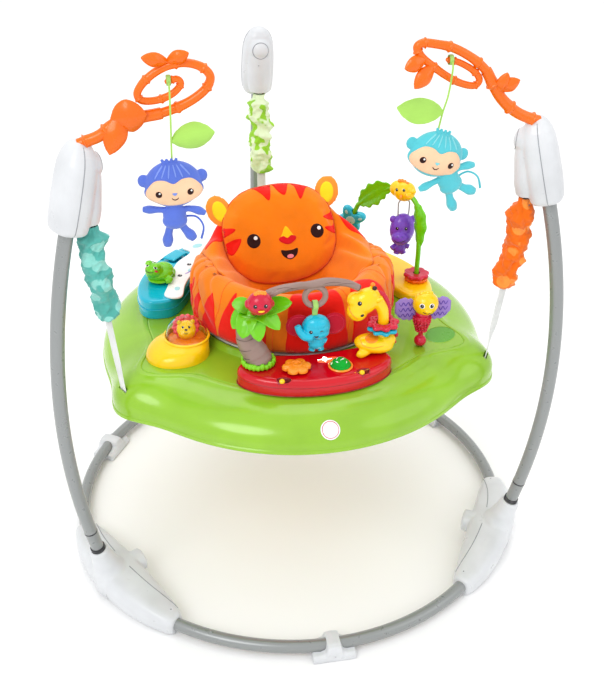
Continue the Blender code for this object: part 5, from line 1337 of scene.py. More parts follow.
# flower push-button with a swirl
BX, BY = -0.034, -0.2360
outline = [(BX + (0.0178 + 0.0056 * abs(cos(3 * a)) ** 0.7) * cos(a),
            BY + AXIS_Y + 0.88 * (0.0178 + 0.0056 * abs(cos(3 * a)) ** 0.7) * sin(a)) for a in circle(96)]
button = prism("flower_button_cap", outline, CONSOLE_Z + 0.0036, CONSOLE_Z + 0.0115, "button",
               "flower_button", bevel=0.0030, segments=6, dome=0.0012, nodes=("flower_button",),
               slot="orange_plastic")
turned("flower_button_stem", [(0.0002, -0.0055), (0.0058, -0.0055), (0.0058, 0.0050), (0.0002, 0.0050)],
       V(BX, BY, CONSOLE_Z), "button", "flower_button", 32)
swirl = [(BX + (0.0022 + 0.0012 * t) * cos(1.3 * t), BY + 0.88 * (0.0022 + 0.0012 * t) * sin(1.3 * t))
         for t in [0.55 * k for k in range(14)]]
ribbon("flower_button_swirl", swirl, 0.0030, top_rays, button, "orange", "flower_button", 0.0011)
for k in range(6):
    a = radians(60 * k + 30)
    ribbon("flower_button_fold_%d" % k, [(BX + r * cos(a), BY + 0.88 * r * sin(a))
                                         for r in (0.0105, 0.0130, 0.0158)], 0.0020, top_rays, button,
           "orange", "flower_button", 0.0006)

# faceted gem in an orange rim with painted highlights, and the lit lens behind it with a painted glow round
# it on the console
GX, GY = 0.0370, -0.2360
gem_rings = []
for z, f in ((0.0, 1.0), (0.0030, 1.0), (0.0080, 0.82), (0.0125, 0.42), (0.0140, 0.10)):
    gem_rings.append([V(GX + f * 0.0165 * cos(a), GY + f * 0.0172 * sin(a), CONSOLE_Z + GAP + z)
                      for a in [2 * pi * (k + (0.5 if z == 0.0080 else 0.0)) / 12 for k in range(12)]])
gem = lofted("gem_lens", gem_rings, "gem", "tray", nodes=("gem_light",), slot="green_clear_plastic", crease=8)
turned("gem_rim", [(0.0168, 0.0003), (0.0196, 0.0003), (0.0200, 0.0016), (0.0188, 0.0030), (0.0168, 0.0026)],
       V(GX, GY, CONSOLE_Z), "orange", "tray", 64, ring=True, slot="orange_plastic")
turned("gem_reflector", [(0.0002, 0.0004), (0.0150, 0.0004), (0.0120, 0.0030), (0.0050, 0.0044),
                         (0.0002, 0.0048)], V(GX, GY, CONSOLE_Z), "ivory", "tray", 12)
# white streaks on the gem are painted highlights
for i, (dx, dy, rx, ry, t) in enumerate(((-0.0050, 0.0040, 0.0050, 0.0012, 60),
                                         (0.0030, -0.0010, 0.0062, 0.0014, 35),
                                         (0.0060, 0.0060, 0.0040, 0.0010, -30),
                                         (-0.0070, -0.0050, 0.0036, 0.0009, -50),
                                         (0.0010, 0.0085, 0.0034, 0.0009, 5),
                                         (0.0080, -0.0060, 0.0036, 0.0010, 70))):
    decal("gem_painted_highlight_%d" % i, [(GX + dx + x * cos(radians(t)) - y * sin(radians(t)),
                                GY + dy + x * sin(radians(t)) + y * cos(radians(t))) for x,
                               y in ((-rx, 0), (0, -ry), (rx, 0), (0, ry))], top_rays, gem, "ivory", "tray",
          0.0003, 2)
LX, LY = 0.0160, -0.2130
# red glow laid on the console round the lens: painted light
decal("lens_painted_glow_wide", ellipse(LX + 0.006, LY - 0.002, 0.0185, 0.0068, 8), top_rays, console, "led_halo",
      "tray", 0.0003)
# white star laid on the console over the lens: a painted glow
star = []
for k in range(16):
    r = 0.0022 if k % 2 else (0.0120 if k % 4 == 0 else 0.0050)
    star.append((LX + r * cos(pi * k / 8), LY + 0.75 * r * sin(pi * k / 8)))
decal("lens_painted_star_glow", star, top_rays, console, "led", "tray", 0.0006)
sculpt("lens_bulb", [ball(V(LX, LY, CONSOLE_Z + 0.0008), (0.0040, 0.0034, 0.0030))], "led", "tray", 0.0005, 1,
       slot="clear_plastic")

# palm: notched trunk, scalloped grass, broad leaves
PALM_X, PALM_Y = -0.0905, -0.2080
trunk_pts = curve_through([V(PALM_X, PALM_Y, 0.4590), V(-0.0907, -0.2080, 0.4680),
                           V(-0.0960, -0.2070, 0.4800), V(-0.1045, -0.2050, 0.4960),
                           V(-0.1090, -0.2030, 0.5140), V(-0.1080, -0.2015, 0.5290)], 12)
radii = spread([0.0212, 0.0214, 0.0205, 0.0186, 0.0160, 0.0124], len(trunk_pts))
radii = [r * (1.0 + 0.035 * max(0.0, sin(2 * pi * i / 10.0)) ** 0.6 - 0.012) for i, r in enumerate(radii)]
tube("palm_trunk_bark", trunk_pts, radii, "trunk", "tray", 40, nodes=("palm_trunk",), slot="brown_plastic",
     crease=None)
# notch lines in a darker taupe round the trunk: painted shade in the notches
for i, f in enumerate((0.22, 0.40, 0.58, 0.74, 0.88)):
    k = int(f * (len(trunk_pts) - 1))
    p, t = trunk_pts[k], (trunk_pts[k + 1] - trunk_pts[k - 1]).normalized()
    u = t.cross(Vector((0, 1, 0))).normalized()
    w = t.cross(u)
    arc = [p + t * (0.0012 * sin(3 * q)) + (u * cos(q) + w * sin(q)) * (radii[k] * 1.001) for q in
           [radians(-150 + 30 * i + 12 * s) for s in range(16)]]
    tube("palm_trunk_notch_%d" % i, arc, 0.0006, "bark_line", "tray", 6)
grass = []
for k in range(22):
    a = 2 * pi * k / 22
    c = V(PALM_X + 0.0232 * cos(a), PALM_Y + 0.0215 * sin(a), CONSOLE_Z)
    out = Vector((cos(a), sin(a), 0))
    h = 0.0112 + 0.0016 * sin(2.7 * k)
    grass.append(limb([c + Vector((0, 0, 0.0022)), c + out * 0.0012 + Vector((0, 0, 0.55 * h)),
                       c + out * 0.0006 + Vector((0, 0, h))], [0.0036, 0.0038, 0.0030], sides=12))
grass.append([[V(PALM_X + r * cos(a), PALM_Y + 0.93 * r * sin(a), CONSOLE_Z + z) for a in circle(48)]
              for r, z in ((0.0225, 0.0006), (0.0232, 0.0020), (0.0225, 0.0075), (0.0200, 0.0085))])
sculpt("palm_grass", grass, "grass", "tray", 0.0008, 2, slot="leaf_green_plastic")
HUB = V(-0.1000, -0.2030, 0.5430)
for i, (tip, w, lift) in enumerate((((-0.1300, -0.2080, 0.5260), 0.0150, 0.012),
                                    ((-0.1180, -0.2330, 0.5220), 0.0160, 0.012),
                                    ((-0.0930, -0.2400, 0.5180), 0.0150, 0.012),
                                    ((-0.0600, -0.2300, 0.5300), 0.0160, 0.012),
                                    ((-0.0360, -0.2020, 0.5600), 0.0170, 0.004),
                                    ((-0.1280, -0.1930, 0.5620), 0.0140, 0.008),
                                    ((-0.0620, -0.2060, 0.5400), 0.0130, 0.006))):
    tip = V(*tip)
    mid = (HUB + tip) * 0.5 + Vector((0, -0.002, lift))
    side = (tip - HUB).cross(Vector((0.0, -0.45, 1.0))).normalized()
    veined_leaf("palm_leaf_%d" % i, [HUB, HUB.lerp(mid, 0.55) + Vector((0, 0, 0.002)), mid,
                                     mid.lerp(tip, 0.6) + Vector((0, 0, 0.001)), tip],
                [0.0060, w * 0.62, w * 0.88, w * 0.99, w * 0.97, w * 0.82, w * 0.52, 0.0012], 0.0026, side,
                "tray", nodes=("palm_leaves",) if i == 0 else ())
sculpt("palm_crown", [ball(HUB, (0.0130, 0.0125, 0.0110)),
                      ball(HUB + Vector((-0.002, 0, -0.010)), (0.0120, 0.0120, 0.0100))], "leaf", "tray",
       0.0009, 3, slot="leaf_green_plastic")

# bird on top of the leaves
B = V(-0.0890, -0.2220, 0.5750)
bird = sculpt("bird_body", [ball(B, (0.0200, 0.0172, 0.0190), None, 32, 20),
                            ball(B + Vector((-0.0185, 0.002, -0.0010)), (0.0046, 0.0065, 0.0072)),
                            ball(B + Vector((0.0185, 0.002, -0.0030)), (0.0044, 0.0060, 0.0066)),
                            limb([B + Vector((-0.004, 0.006, -0.012)), B + Vector((-0.008, 0.011, -0.022))],
                                 [0.006, 0.006])], "crimson", "tray", 0.0008, 4, nodes=("bird",),
              slot="red_plastic")
sculpt("bird_tuft", [ball(B + Vector((dx, -0.0020, 0.0190 - abs(dx) * 0.22)), (0.0036, 0.0046, 0.0036))
                     for dx in (-0.0062, -0.002, 0.003, 0.0070)], "orange", "tray", 0.0006, 2,
       slot="orange_plastic")
rays = look(B, -4, 12)
eyes("bird", ((-0.0078, -0.0005), (0.0078, -0.0005)), 0.0028, rays, bird, "tray")
sculpt("bird_beak", [limb([B + Vector((-0.0045, -0.0168, -0.0050)), B + Vector((0.0, -0.0188, -0.0044)),
                           B + Vector((0.0045, -0.0168, -0.0050))], [0.0012, 0.0019, 0.0012])], "yellow",
       "tray", 0.0004, 2, slot="yellow_plastic")

# branch: two strands that cross, with the ring they curl into
TY = -0.2000
LOOP = V(0.0010, TY, 0.5670)
branch_pts = curve_through([V(-0.0800, TY, 0.5720), V(-0.0700, TY, 0.5800), V(-0.0400, TY, 0.5860),
                            V(-0.0060, TY, 0.5880), V(0.0200, TY, 0.5905), V(0.0500, TY, 0.5860),
                            V(0.0700, TY, 0.5760)], 8)
n = len(branch_pts)
br = [0.0056 + 0.0014 * exp(-((i / n - 0.62) / 0.16) ** 2) + 0.0011 * exp(-((i / n - 0.28) / 0.10) ** 2)
      for i in range(n)]
strand = curve_through([V(-0.0840, TY, 0.5740), V(-0.0700, TY - 0.004, 0.5770),
                        V(-0.0540, TY - 0.005, 0.5850), V(-0.0300, TY - 0.003, 0.5905),
                        V(-0.0080, TY - 0.002, 0.5890), V(0.0060, TY, 0.5860)], 8)
ring = []
for k in range(48):
    a = 2 * pi * k / 48
    d = Vector((cos(a), 0, sin(a)))
    ring.append([LOOP + d * (0.0163 + 0.0047 * cos(b)) + Vector((0, 1, 0)) * (0.0050 * sin(b)) for b in
                 circle(16)])
lofted("branch_ring", ring, "trunk", "tray", True, slot="brown_plastic", crease=None)
branch = sculpt("branch_strands", [sweep(branch_pts, br, 20),
                                   sweep(strand, spread([0.0030, 0.0044, 0.0048, 0.0040], len(strand)), 16)],
                "trunk", "tray", 0.0008, 3, nodes=("branch",), slot="brown_plastic")
rays = look(V(0.0, TY, 0.586), 0, 20)
# groove lines in a darker taupe: painted shade in the grooves
for i, (x0, x1, z) in enumerate(((-0.060, -0.036, 0.0005), (0.012, 0.040, 0.0030), (0.030, 0.062, -0.0010),
                                 (-0.048, -0.026, -0.0020))):
    ribbon("branch_groove_%d" % i, [(x0, z - 0.001), (0.5 * (x0 + x1), z + 0.001), (x1, z - 0.001)], 0.0008,
           rays, branch, "bark_line", "tray", 0.0002)
# the end of the branch in the darker taupe: painted shade
tube("branch_end_tip", [V(0.0700, TY, 0.5760), V(0.0712, TY, 0.5753)], [0.0056, 0.0050], "bark_line", "tray",
     16)

# elephant on its cloth loop
EH = V(0.0030, TY, 0.5120)
EB = V(0.0040, TY, 0.4860)
elephant = sculpt("elephant_body", [ball(EH, (0.0232, 0.0168, 0.0212), None, 32, 20),
                                    ball(EH + Vector((0.0, -0.002, 0.0080)), (0.0205, 0.0150, 0.0140)),
                                    ball(EH + Vector((0.001, -0.004, -0.0085)), (0.0205, 0.0125, 0.0115)),
                                    limb([EH + Vector(p)
                                          for p in ((-0.0080, -0.0120, -0.0110), (-0.0190, -0.0115, -0.0100),
                                                    (-0.0270, -0.0100, -0.0020), (-0.0310, -0.0085, 0.0090))],
                                         [0.0078, 0.0072, 0.0060, 0.0054]),
                                    ball(EB, (0.0136, 0.0100, 0.0134)),
                                    ball(EB + Vector((0, -0.0015, -0.0050)), (0.0134, 0.0100, 0.0092)),
                                    limb([EB + Vector((0.0085, -0.002, 0.004)),
                                          EB + Vector((0.0160, -0.004, 0.0005))], [0.0042, 0.0048]),
                                    limb([EB + Vector((-0.0085, -0.002, 0.004)),
                                          EB + Vector((-0.0145, -0.004, 0.0005))], [0.0042, 0.0048]),
                                    limb([EB + Vector((-0.0055, -0.001, -0.008)),
                                          EB + Vector((-0.0080, -0.003, -0.0165))], [0.0050, 0.0056]),
                                    limb([EB + Vector((0.0060, -0.001, -0.008)),
                                          EB + Vector((0.0080, -0.003, -0.0165))], [0.0050, 0.0056])], "teal",
                  "elephant", 0.0008, 4, nodes=("elephant",), slot="turquoise_plastic")
rays = look(EH, -8, 0)
eyes("elephant", ((-0.0085, -0.0010),), 0.0028, rays, elephant, "elephant")
ribbon("elephant_wink", [(0.0060, -0.0010), (0.0085, 0.0004), (0.0110, -0.0006)], 0.0012, rays, elephant,
       "brown", "elephant")
decal("elephant_mouth", blobby([(-0.0030, -0.0078), (0.0005, -0.0086), (0.0038, -0.0074), (0.0026, -0.0104),
                                (0.0, -0.0112), (-0.0022, -0.0102)]), rays, elephant, "brown", "elephant",
      0.0003, 3)
for i, (c, w) in enumerate(((V(-0.0250, TY + 0.004, 0.5140), -6.0), (V(0.0330, TY + 0.004, 0.5125), 6.0))):
    ear = sculpt("elephant_ear_%d" % i, [ball(c, (0.0198, 0.0021, 0.0200), rot_y(w))], "ear_felt", "elephant",
                 0.0007, 2, slot="red_plastic")
    rays = look(c, 0, 0, 0.03)
    ribbon("elephant_ear_stitch_%d" % i, [(0.0160 * cos(a), 0.0160 * sin(a))
                                          for a in [2 * pi * k / 20 for k in range(21)]], 0.0012, rays, ear,
           "crimson", "elephant", 0.0005)
tag = [(-0.0014, 0.528), (-0.0016, 0.540), (-0.0066, 0.5475), (-0.0072, 0.5515), (-0.0066, 0.5552),
       (-0.0040, 0.5578), (0.0, 0.5587), (0.0040, 0.5578), (0.0066, 0.5552), (0.0072, 0.5515),
       (0.0066, 0.5475), (0.0016, 0.540), (0.0014, 0.528)]
tube("elephant_loop_tag", curve_through([V(0.0010, TY + y, z) for y, z in tag], 4), 0.0005, "ribbon",
     "elephant", 12, 8.4, (1, 0, 0), slot="white_webbing", crease=None)

# giraffe with two loose collars
GH = V(0.0800, TY, 0.5500)
tilt = rot_y(-38.0)
giraffe = sculpt("giraffe_body", [limb([V(0.1130, TY, 0.4780), V(0.1130, TY, 0.5000), V(0.1130, TY, 0.5200),
                                        V(0.1090, TY, 0.5370), V(0.0980, TY, 0.5530)],
                                       [0.0092, 0.0090, 0.0088, 0.0098, 0.0120], sides=20),
                                  ball(V(0.0990, TY - 0.003, 0.4730), (0.0335, 0.0210, 0.0150), rot_y(10), 28,
                                       16), ball(V(0.1180, TY, 0.4770), (0.0180, 0.0165, 0.0140)),
                                  limb([V(0.088, TY - 0.012, 0.4680), V(0.075, TY - 0.017, 0.4640),
                                        V(0.070, TY - 0.014, 0.4650)], [0.0080, 0.0075, 0.0060]),
                                  ball(GH, (0.0285, 0.0162, 0.0205), tilt, 32, 18),
                                  ball(V(0.0690, TY - 0.001, 0.5350), (0.0165, 0.0142, 0.0180), tilt, 28, 16),
                                  ball(V(0.0640, TY, 0.5560), (0.0125, 0.0120, 0.0120), tilt),
                                  limb([V(0.0900, TY - 0.005, 0.5610), V(0.0935, TY - 0.006, 0.5740)],
                                       [0.0042, 0.0034]),
                                  limb([V(0.0900, TY + 0.005, 0.5610), V(0.0935, TY + 0.006, 0.5740)],
                                       [0.0042, 0.0034]),
                                  limb([V(0.0980, TY - 0.010, 0.5560), V(0.1060, TY - 0.014, 0.5610)],
                                       [0.0040, 0.0026])], "yellow", "tray", 0.0011, 12, nodes=("giraffe",),
                 slot="yellow_plastic")
for i, s in enumerate((-1, 1)):
    sculpt("giraffe_horn_tip_%d" % i, [ball(V(0.0940, TY + s * 0.006, 0.5760), (0.0040, 0.0037, 0.0038))],
           "brown" if s < 0 else "orange", "tray", 0.0005, 1)
mane = [V(0.1030, TY, 0.5640), V(0.1110, TY, 0.5590), V(0.1165, TY, 0.5500), V(0.1200, TY, 0.5400),
        V(0.1215, TY, 0.5290), V(0.1218, TY, 0.5190)]
sculpt("giraffe_mane", [ball(p, (0.0040, 0.0026, 0.0044)) for p in curve_through(mane, 2)], "crimson", "tray",
       0.0006, 2, slot="red_plastic")
sculpt("giraffe_rump_tuft", [ball(V(0.1350 + 0.0020 * sin(2 * k), TY, 0.4900 - 0.0062 * k),
                                  (0.0032, 0.0032, 0.0042)) for k in range(4)], "crimson", "tray", 0.0006, 2,
       slot="red_plastic")
rays = look(GH, -28, 10)
eyes("giraffe", ((-0.0030, 0.0020),), 0.0033, rays, giraffe, "tray")
ribbon("giraffe_muzzle_line", [(-0.0250, 0.0030), (-0.0200, -0.0080), (-0.0140, -0.0170), (-0.0050, -0.0260)],
       0.0016, rays, giraffe, "orange", "tray", 0.0005)
decal("giraffe_nostril", ellipse(0.0015, -0.0190, 0.0026, 0.0020, 40, 14), rays, giraffe, "black", "tray",
      0.0004, 2)
rays = look(V(0.099, TY, 0.474), -10, 40)
decal("giraffe_patch", ellipse(-0.0040, 0.0030, 0.0110, 0.0088, 20), rays, giraffe, "orange", "tray", 0.0005)
ribbon("giraffe_haunch_line", [(-0.0240, 0.0050), (-0.0180, -0.0090), (-0.0020, -0.0130), (0.0150, -0.0090)],
       0.0010, rays, giraffe, "orange", "tray", 0.0003)
for name, z, r0, colour, slot in (("red", 0.5085, 0.0232, "crimson", "red_plastic"),
                                  ("teal", 0.4995, 0.0222, "collar", "turquoise_plastic")):
    c = V(0.1130, TY, z)
    pts = [(r0 + 0.0012 + 0.0026 * cos(8 * a)) for a in circle(128)]
    rings = []
    for r, h in ((0.0108, -0.0024), (0.0125, -0.0034), (0.55, -0.0034), (0.86, -0.0036), (0.97, -0.0026),
                 (1.0, -0.0002), (0.975, 0.0024), (0.86, 0.0036), (0.70, 0.0026), (0.55, 0.0022),
                 (0.0125, 0.0030), (0.0108, 0.0022)):
        rings.append([c + Vector(((r if r < 0.02 else r * pts[k]) * cos(2 * pi * k / 128),
                                  (r if r < 0.02 else r * pts[k]) * sin(2 * pi * k / 128), h))
                      for k in range(128)])
    lofted("collar_%s_ruffle" % name, rings, colour, "collar_" + name, True, nodes=("collar_" + name,),
           slot=slot, crease=None)
    if name == "red":
        for k in range(24):
            a = 2 * pi * k / 24
            r = 0.0165 + 0.0035 * (k % 2)
            sculpt("collar_red_pip_%d" % k, [ball(c + Vector((r * cos(a), r * sin(a), 0.0030)),
                                                  (0.0014, 0.0014, 0.0010))], "crimson", "collar_red", 0.0004,
                   0)

# ---------------------------------------------------------------- left toys: lion dome, music pad, frog
DOME = V(-0.1960, -0.1020, 0.4560)
rings = []
for z, f in ((0.4303, 0.0), (0.4330, 0.01), (0.4380, 0.05), (0.4430, 0.14), (0.4480, 0.32), (0.4510, 0.55),
             (0.4535, 0.78), (0.4555, 0.93), (0.4566, 1.0)):
    ring = []
    for k in range(96):
        a = 2 * pi * k / 96
        low = V(-0.2080, -0.1120, z) + Vector((cos(a), sin(a), 0)) * (0.0485
                                                                      + 0.0100
                                                                      * max(0.0, -cos(a - 0.3)) ** 2.2)
        high = Vector((DOME.x, DOME.y, z)) + Vector((cos(a), sin(a), 0)) * 0.0368
        ring.append(low.lerp(high, f))
    rings.append(ring)
rings.append([Vector((DOME.x + 0.0345 * cos(2 * pi * k / 96), DOME.y + 0.0345 * sin(2 * pi * k / 96), 0.4560))
              for k in range(96)])
rings.append([Vector((DOME.x + 0.0330 * cos(2 * pi * k / 96), DOME.y + 0.0330 * sin(2 * pi * k / 96), 0.4500))
              for k in range(96)])
lofted("dome_base_shell", rings, "yellow", "tray", nodes=("dome_base",), slot="yellow_plastic", crease=60)
turned("dome_base_collar", [(0.0352, 0.0), (0.0385, 0.0), (0.0392, 0.0016), (0.0382, 0.0034),
                            (0.0364, 0.0040), (0.0354, 0.0034)], DOME + Vector((0, 0, -0.0006)), "yellow",
       "tray", 96, ring=True, slot="yellow_plastic")
profile = [(0.0350 * cos(a), 0.0350 * sin(a)) for a in [radians(90 * i / 20) for i in range(20)]] + [(0.0002,
                                                                                                      0.0350)]
inner = [(0.0002, 0.0333)] + [(0.0333 * cos(a), 0.0333 * sin(a))
                              for a in [radians(90 * (19 - i) / 20) for i in range(20)]]
turned("dome_globe", [(0.0333, -0.0070), (0.0350, -0.0070)] + profile + inner, DOME, "clear", "dome", 96,
       nodes=("clear_dome",), ring=True, slot="clear_plastic", crease=None)
turned("lion_disc", [(0.0002, -0.0062), (0.0300, -0.0062), (0.0318, -0.0050), (0.0318, -0.0036),
                     (0.0300, -0.0024), (0.0002, -0.0022)], DOME, "orange", "dome", 64, slot="orange_plastic")
tip = rot_x(-30.0)
L = lambda x, y, z: DOME + Vector((x, y, z))
sculpt("lion_mane", [ball(L(0.0185 * cos(a), 0.0060 + 0.0085 * sin(a) * 0.5, 0.0145 + 0.0160 * sin(a)),
                          (0.0048, 0.0056, 0.0048)) for a in circle(14)]
       + [ball(L(0, 0.003, 0.0140), (0.0180, 0.0062, 0.0160), tip)], "pink", "dome", 0.0008, 2,
       slot="red_plastic")
lion = sculpt("lion_figure_body", [ball(L(0, 0, 0.0035), (0.0145, 0.0115, 0.0080)),
                                   ball(L(0, -0.004, 0.0150), (0.0160, 0.0086, 0.0148), tip),
                                   ball(L(-0.0110, -0.001, 0.0265), (0.0042, 0.0030, 0.0042)),
                                   ball(L(0.0110, -0.001, 0.0265), (0.0042, 0.0030, 0.0042)),
                                   ball(L(-0.0035, -0.0125, 0.0120), (0.0040, 0.0030, 0.0030)),
                                   ball(L(0.0035, -0.0125, 0.0120), (0.0040, 0.0030, 0.0030))], "yellow",
              "dome", 0.0008, 3, nodes=("lion_figure",), slot="orange_plastic")
rays = look(L(0, -0.004, 0.015), -6, 30, 0.03)
eyes("lion", ((-0.0052, 0.0030), (0.0052, 0.0030)), 0.0018, rays, lion, "dome")
decal("lion_nose", ellipse(0, -0.0014, 0.0024, 0.0016, n=14), rays, lion, "brown", "dome", 0.0005, 3)
ribbon("lion_smile", [(-0.0040, -0.0058), (0.0, -0.0078), (0.0040, -0.0058)], 0.0009, rays, lion, "brown",
       "dome", 0.0004)

PAD_Z = 0.4660
key_well = [[pol(r, d, z) for r, d in [(0.2440, 133.0 + 11.0 * i / 8) for i in range(9)]
             + [(0.2790, 144.0 - 11.0 * i / 8) for i in range(9)]] for z in (0.4618, 0.4720)]
pad = prism("music_pad_wall", band(0.2350, 0.0460, 117.0, 179.0, n=64), DECK + GAP, PAD_Z, "piano", "tray",
            bevel=0.0060, segments=6, nodes=("piano_base",), slot="turquoise_plastic", cuts=[key_well])
tube("music_pad_waist", [Vector((x, y, 0.4480)) for x, y in band(0.2350, 0.0463, 116.8, 179.2, n=48)], 0.0009,
     "teal", "tray", 6)
panel_polar = ((.1935, 176), (.1925, 165), (.1925, 154), (.1925, 143), (.1925, 132), (.1935, 122),
               (.2150, 119.5), (.2450, 120), (.2650, 122.5), (.2690, 127), (.2690, 131.5), (.2450, 132.5),
               (.2400, 143), (.2320, 152), (.2240, 160), (.2230, 168), (.2250, 175), (.2080, 178.0))
outline = [(p.x, p.y) for p in curve_through([pol(r, d, 0) for r, d in panel_polar], 5, closed=True)]
panel = prism("music_panel", outline, PAD_Z + GAP, PAD_Z + 0.0036, "ivory", "tray", bevel=0.0012, segments=4,
              nodes=("slide_panel",), slot="white_plastic")
for i, (r, d, rx, ry) in enumerate(((0.2040, 169.0, 0.0070, 0.0050), (0.2010, 148.0, 0.0075, 0.0050),
                                    (0.2540, 126.0, 0.0110, 0.0075), (0.2240, 125.0, 0.0090, 0.0065),
                                    (0.2110, 131.0, 0.0080, 0.0060))):
    p = pol(r, d)
    decal("music_cloud_%d" % i, ellipse(p.x, p.y - AXIS_Y, rx, ry, d + 90), top_rays, panel, "pale_teal",
          "tray", 0.0003)
for i, (r, d) in enumerate(((0.2110, 155.5), (0.2150, 143.0))):
    p = pol(r, d)
    decal("music_eye_%d" % i, ellipse(p.x, p.y - AXIS_Y, 0.0042, 0.0042), top_rays, panel, "black", "tray",
          0.0005)
    decal("music_glint_%d" % i, ellipse(p.x + 0.0013, p.y - AXIS_Y + 0.0013, 0.0012, 0.0012, n=12), top_rays,
          panel, "ivory", "tray", 0.0008, 2)
smile = [pol(r, d) for r, d in ((0.2040, 153.0), (0.2000, 150.0), (0.2000, 146.5), (0.2050, 143.5))]
ribbon("music_smile", [(p.x, p.y - AXIS_Y) for p in smile], 0.0030, top_rays, panel, "lavender", "tray",
       0.0004)

rings = []
for s in range(21):
    d = 134.0 + 9.0 * s / 20
    end = min(1.0, 0.45 + 6.0 * min(s, 20 - s) / 20)
    ring = []
    for k in range(28):
        a = 2 * pi * k / 28
        r = 0.2610 + 0.0130 * signed_pow(cos(a), 0.5)
        ring.append(pol(r, d, 0.4688 + 0.0022 * end * signed_pow(sin(a), 0.6)))
    rings.append(ring)
lofted("paddle_key", rings, "teal", "paddle", nodes=("piano_paddle",), slot="turquoise_plastic", crease=None)

FROG = pol(0.2420, 160.5, 0.4745)
F = lambda x, y, z: FROG + Vector((x * 1.08, y * 1.08, z * 1.30))
frog = sculpt("frog_body", [ball(F(0, 0, 0.0060), (0.0255, 0.0220, 0.0130)),
                            ball(F(0.006, 0.005, 0.0085), (0.0195, 0.0180, 0.0125)),
                            ball(F(-0.009, -0.008, 0.0135), (0.0165, 0.0155, 0.0130)),
                            ball(F(-0.0165, -0.0015, 0.0210), (0.0068, 0.0066, 0.0068)),
                            ball(F(-0.0035, -0.0140, 0.0210), (0.0068, 0.0066, 0.0068)),
                            limb([F(0.008, -0.010, 0.005), F(0.016, -0.019, 0.002), F(0.008, -0.021, 0.0005)],
                                 [0.0062, 0.0055, 0.0046]),
                            limb([F(-0.012, 0.010, 0.005), F(-0.014, 0.019, 0.002), F(-0.005, 0.021, 0.0005)],
                                 [0.0062, 0.0055, 0.0046]),
                            limb([F(0.014, 0.008, 0.006), F(0.022, 0.014, 0.001), F(0.021, 0.002, -0.0005)],
                                 [0.0070, 0.0056, 0.0044])], "leaf", "frog", 0.0009, 3,
              nodes=("frog_spinner",), slot="leaf_green_plastic")
turned("frog_turntable", [(0.0002, -0.0042), (0.0200, -0.0042), (0.0222, -0.0030), (0.0222, -0.0006),
                          (0.0190, 0.0008), (0.0002, 0.0010)], FROG, "grass", "frog", 48)
rays = look(F(-0.009, -0.008, 0.0135), -41, 35, 0.03)
for i, x in enumerate((-0.0090, 0.0090)):
    decal("frog_eye_white_%d" % i, ellipse(x, 0.0058, 0.0040, 0.0038), rays, frog, "ivory", "frog", 0.0003)
    decal("frog_pupil_%d" % i, ellipse(x + 0.0004, 0.0046, 0.0021, 0.0022, n=16), rays, frog, "black", "frog",
          0.0006, 3)
    decal("frog_lid_%d" % i, [(x - 0.0044, 0.0062), (x - 0.0030, 0.0092), (x, 0.0104), (x + 0.0030, 0.0092),
                              (x + 0.0044, 0.0062), (x, 0.0056)], rays, frog, "grass", "frog", 0.0010, 3)
ribbon("frog_mouth", [(-0.0090, -0.0040), (-0.0030, -0.0066), (0.0030, -0.0066), (0.0090, -0.0040)], 0.0011,
       rays, frog, "brown", "frog")
for i, (x, y) in enumerate(((-0.0115, -0.0010), (0.0115, -0.0010))):
    decal("frog_cheek_%d" % i, ellipse(x, y, 0.0022, 0.0018, n=14), rays, frog, "crimson", "frog", 0.0004, 3)
for i, (a, b) in enumerate(((-0.004, 0.002), (0.004, 0.010), (0.011, 0.016))):
    ribbon("frog_back_stripe_%d" % i, [(FROG.x + a - 0.012, FROG.y - AXIS_Y + b + 0.006),
                                       (FROG.x + a, FROG.y - AXIS_Y + b),
                                       (FROG.x + a + 0.008, FROG.y - AXIS_Y + b - 0.012)], 0.0026, top_rays,
           frog, "grass", "frog", 0.0004)

# ---------------------------------------------------------------- right toys: beads, arch, chick, butterfly
prism("bead_base_moulding", band(0.2330, 0.0435, -3.0, 66.0, n=64), DECK + GAP, 0.4480, "yellow", "tray",
      bevel=0.0075, segments=7, nodes=("bead_base",), slot="yellow_plastic")
A0, A1 = V(0.2430, 0.0430, 0.4390), V(0.1290, 0.2140, 0.4390)
FIG, LEG = V(0.2200, 0.0780, 0.6110), V(0.1580, 0.1705, 0.5500)
across = Vector((A1.x - A0.x, A1.y - A0.y, 0)).normalized()
arch_pts = [A0, V(.2430, .0430, .4750), V(.2430, .0430, .5100), V(.2412, .0460, .5550),
            V(.2360, .0540, .5950), FIG, V(.2040, .1020, .6090), V(.1810, .1370, .5840), LEG, A1]
tube("bead_arch_rod", curve_through(arch_pts[:-1], 10) + [LEG.lerp(A1, f) for f in (0.3, 0.6, 1.0)], 0.0045,
     "leaf", "tray", 20, nodes=("bead_arch",), slot="leaf_green_plastic", crease=None)
for i, p in enumerate((A0, A1)):
    turned("bead_arch_foot_%d" % i, [(0.0002, 0.0), (0.0105, 0.0), (0.0100, 0.0022), (0.0064, 0.0034),
                                     (0.0050, 0.0048), (0.0002, 0.0050)], Vector((p.x, p.y, 0.4478)),
           "yellow", "tray", 40)
veined_leaf("arch_leaf_outer", [V(.2430, .0430, .5150), V(.2420, .0445, .5400), V(.2408, .0465, .5650),
                                V(.2380, .0510, .5850), V(.2350, .0560, .5950)],
            [0.0042, 0.0112, 0.0138, 0.0104, 0.0045], 0.0048, across, "tray", bumps=0.10, count=4)
veined_leaf("arch_leaf_inner", [V(.2030, .1035, .6090), V(.1930, .1190, .6020), V(.1810, .1370, .5850),
                                V(.1680, .1560, .5660), V(.1600, .1680, .5525)],
            [0.0050, 0.0150, 0.0200, 0.0152, 0.0040], 0.0048, across * 0.6 + Vector((0, 0, 1)), "tray",
            bumps=0.12, count=5)
chick_head = FIG + across * 0.017 + Vector((0, -0.001, 0.0010))
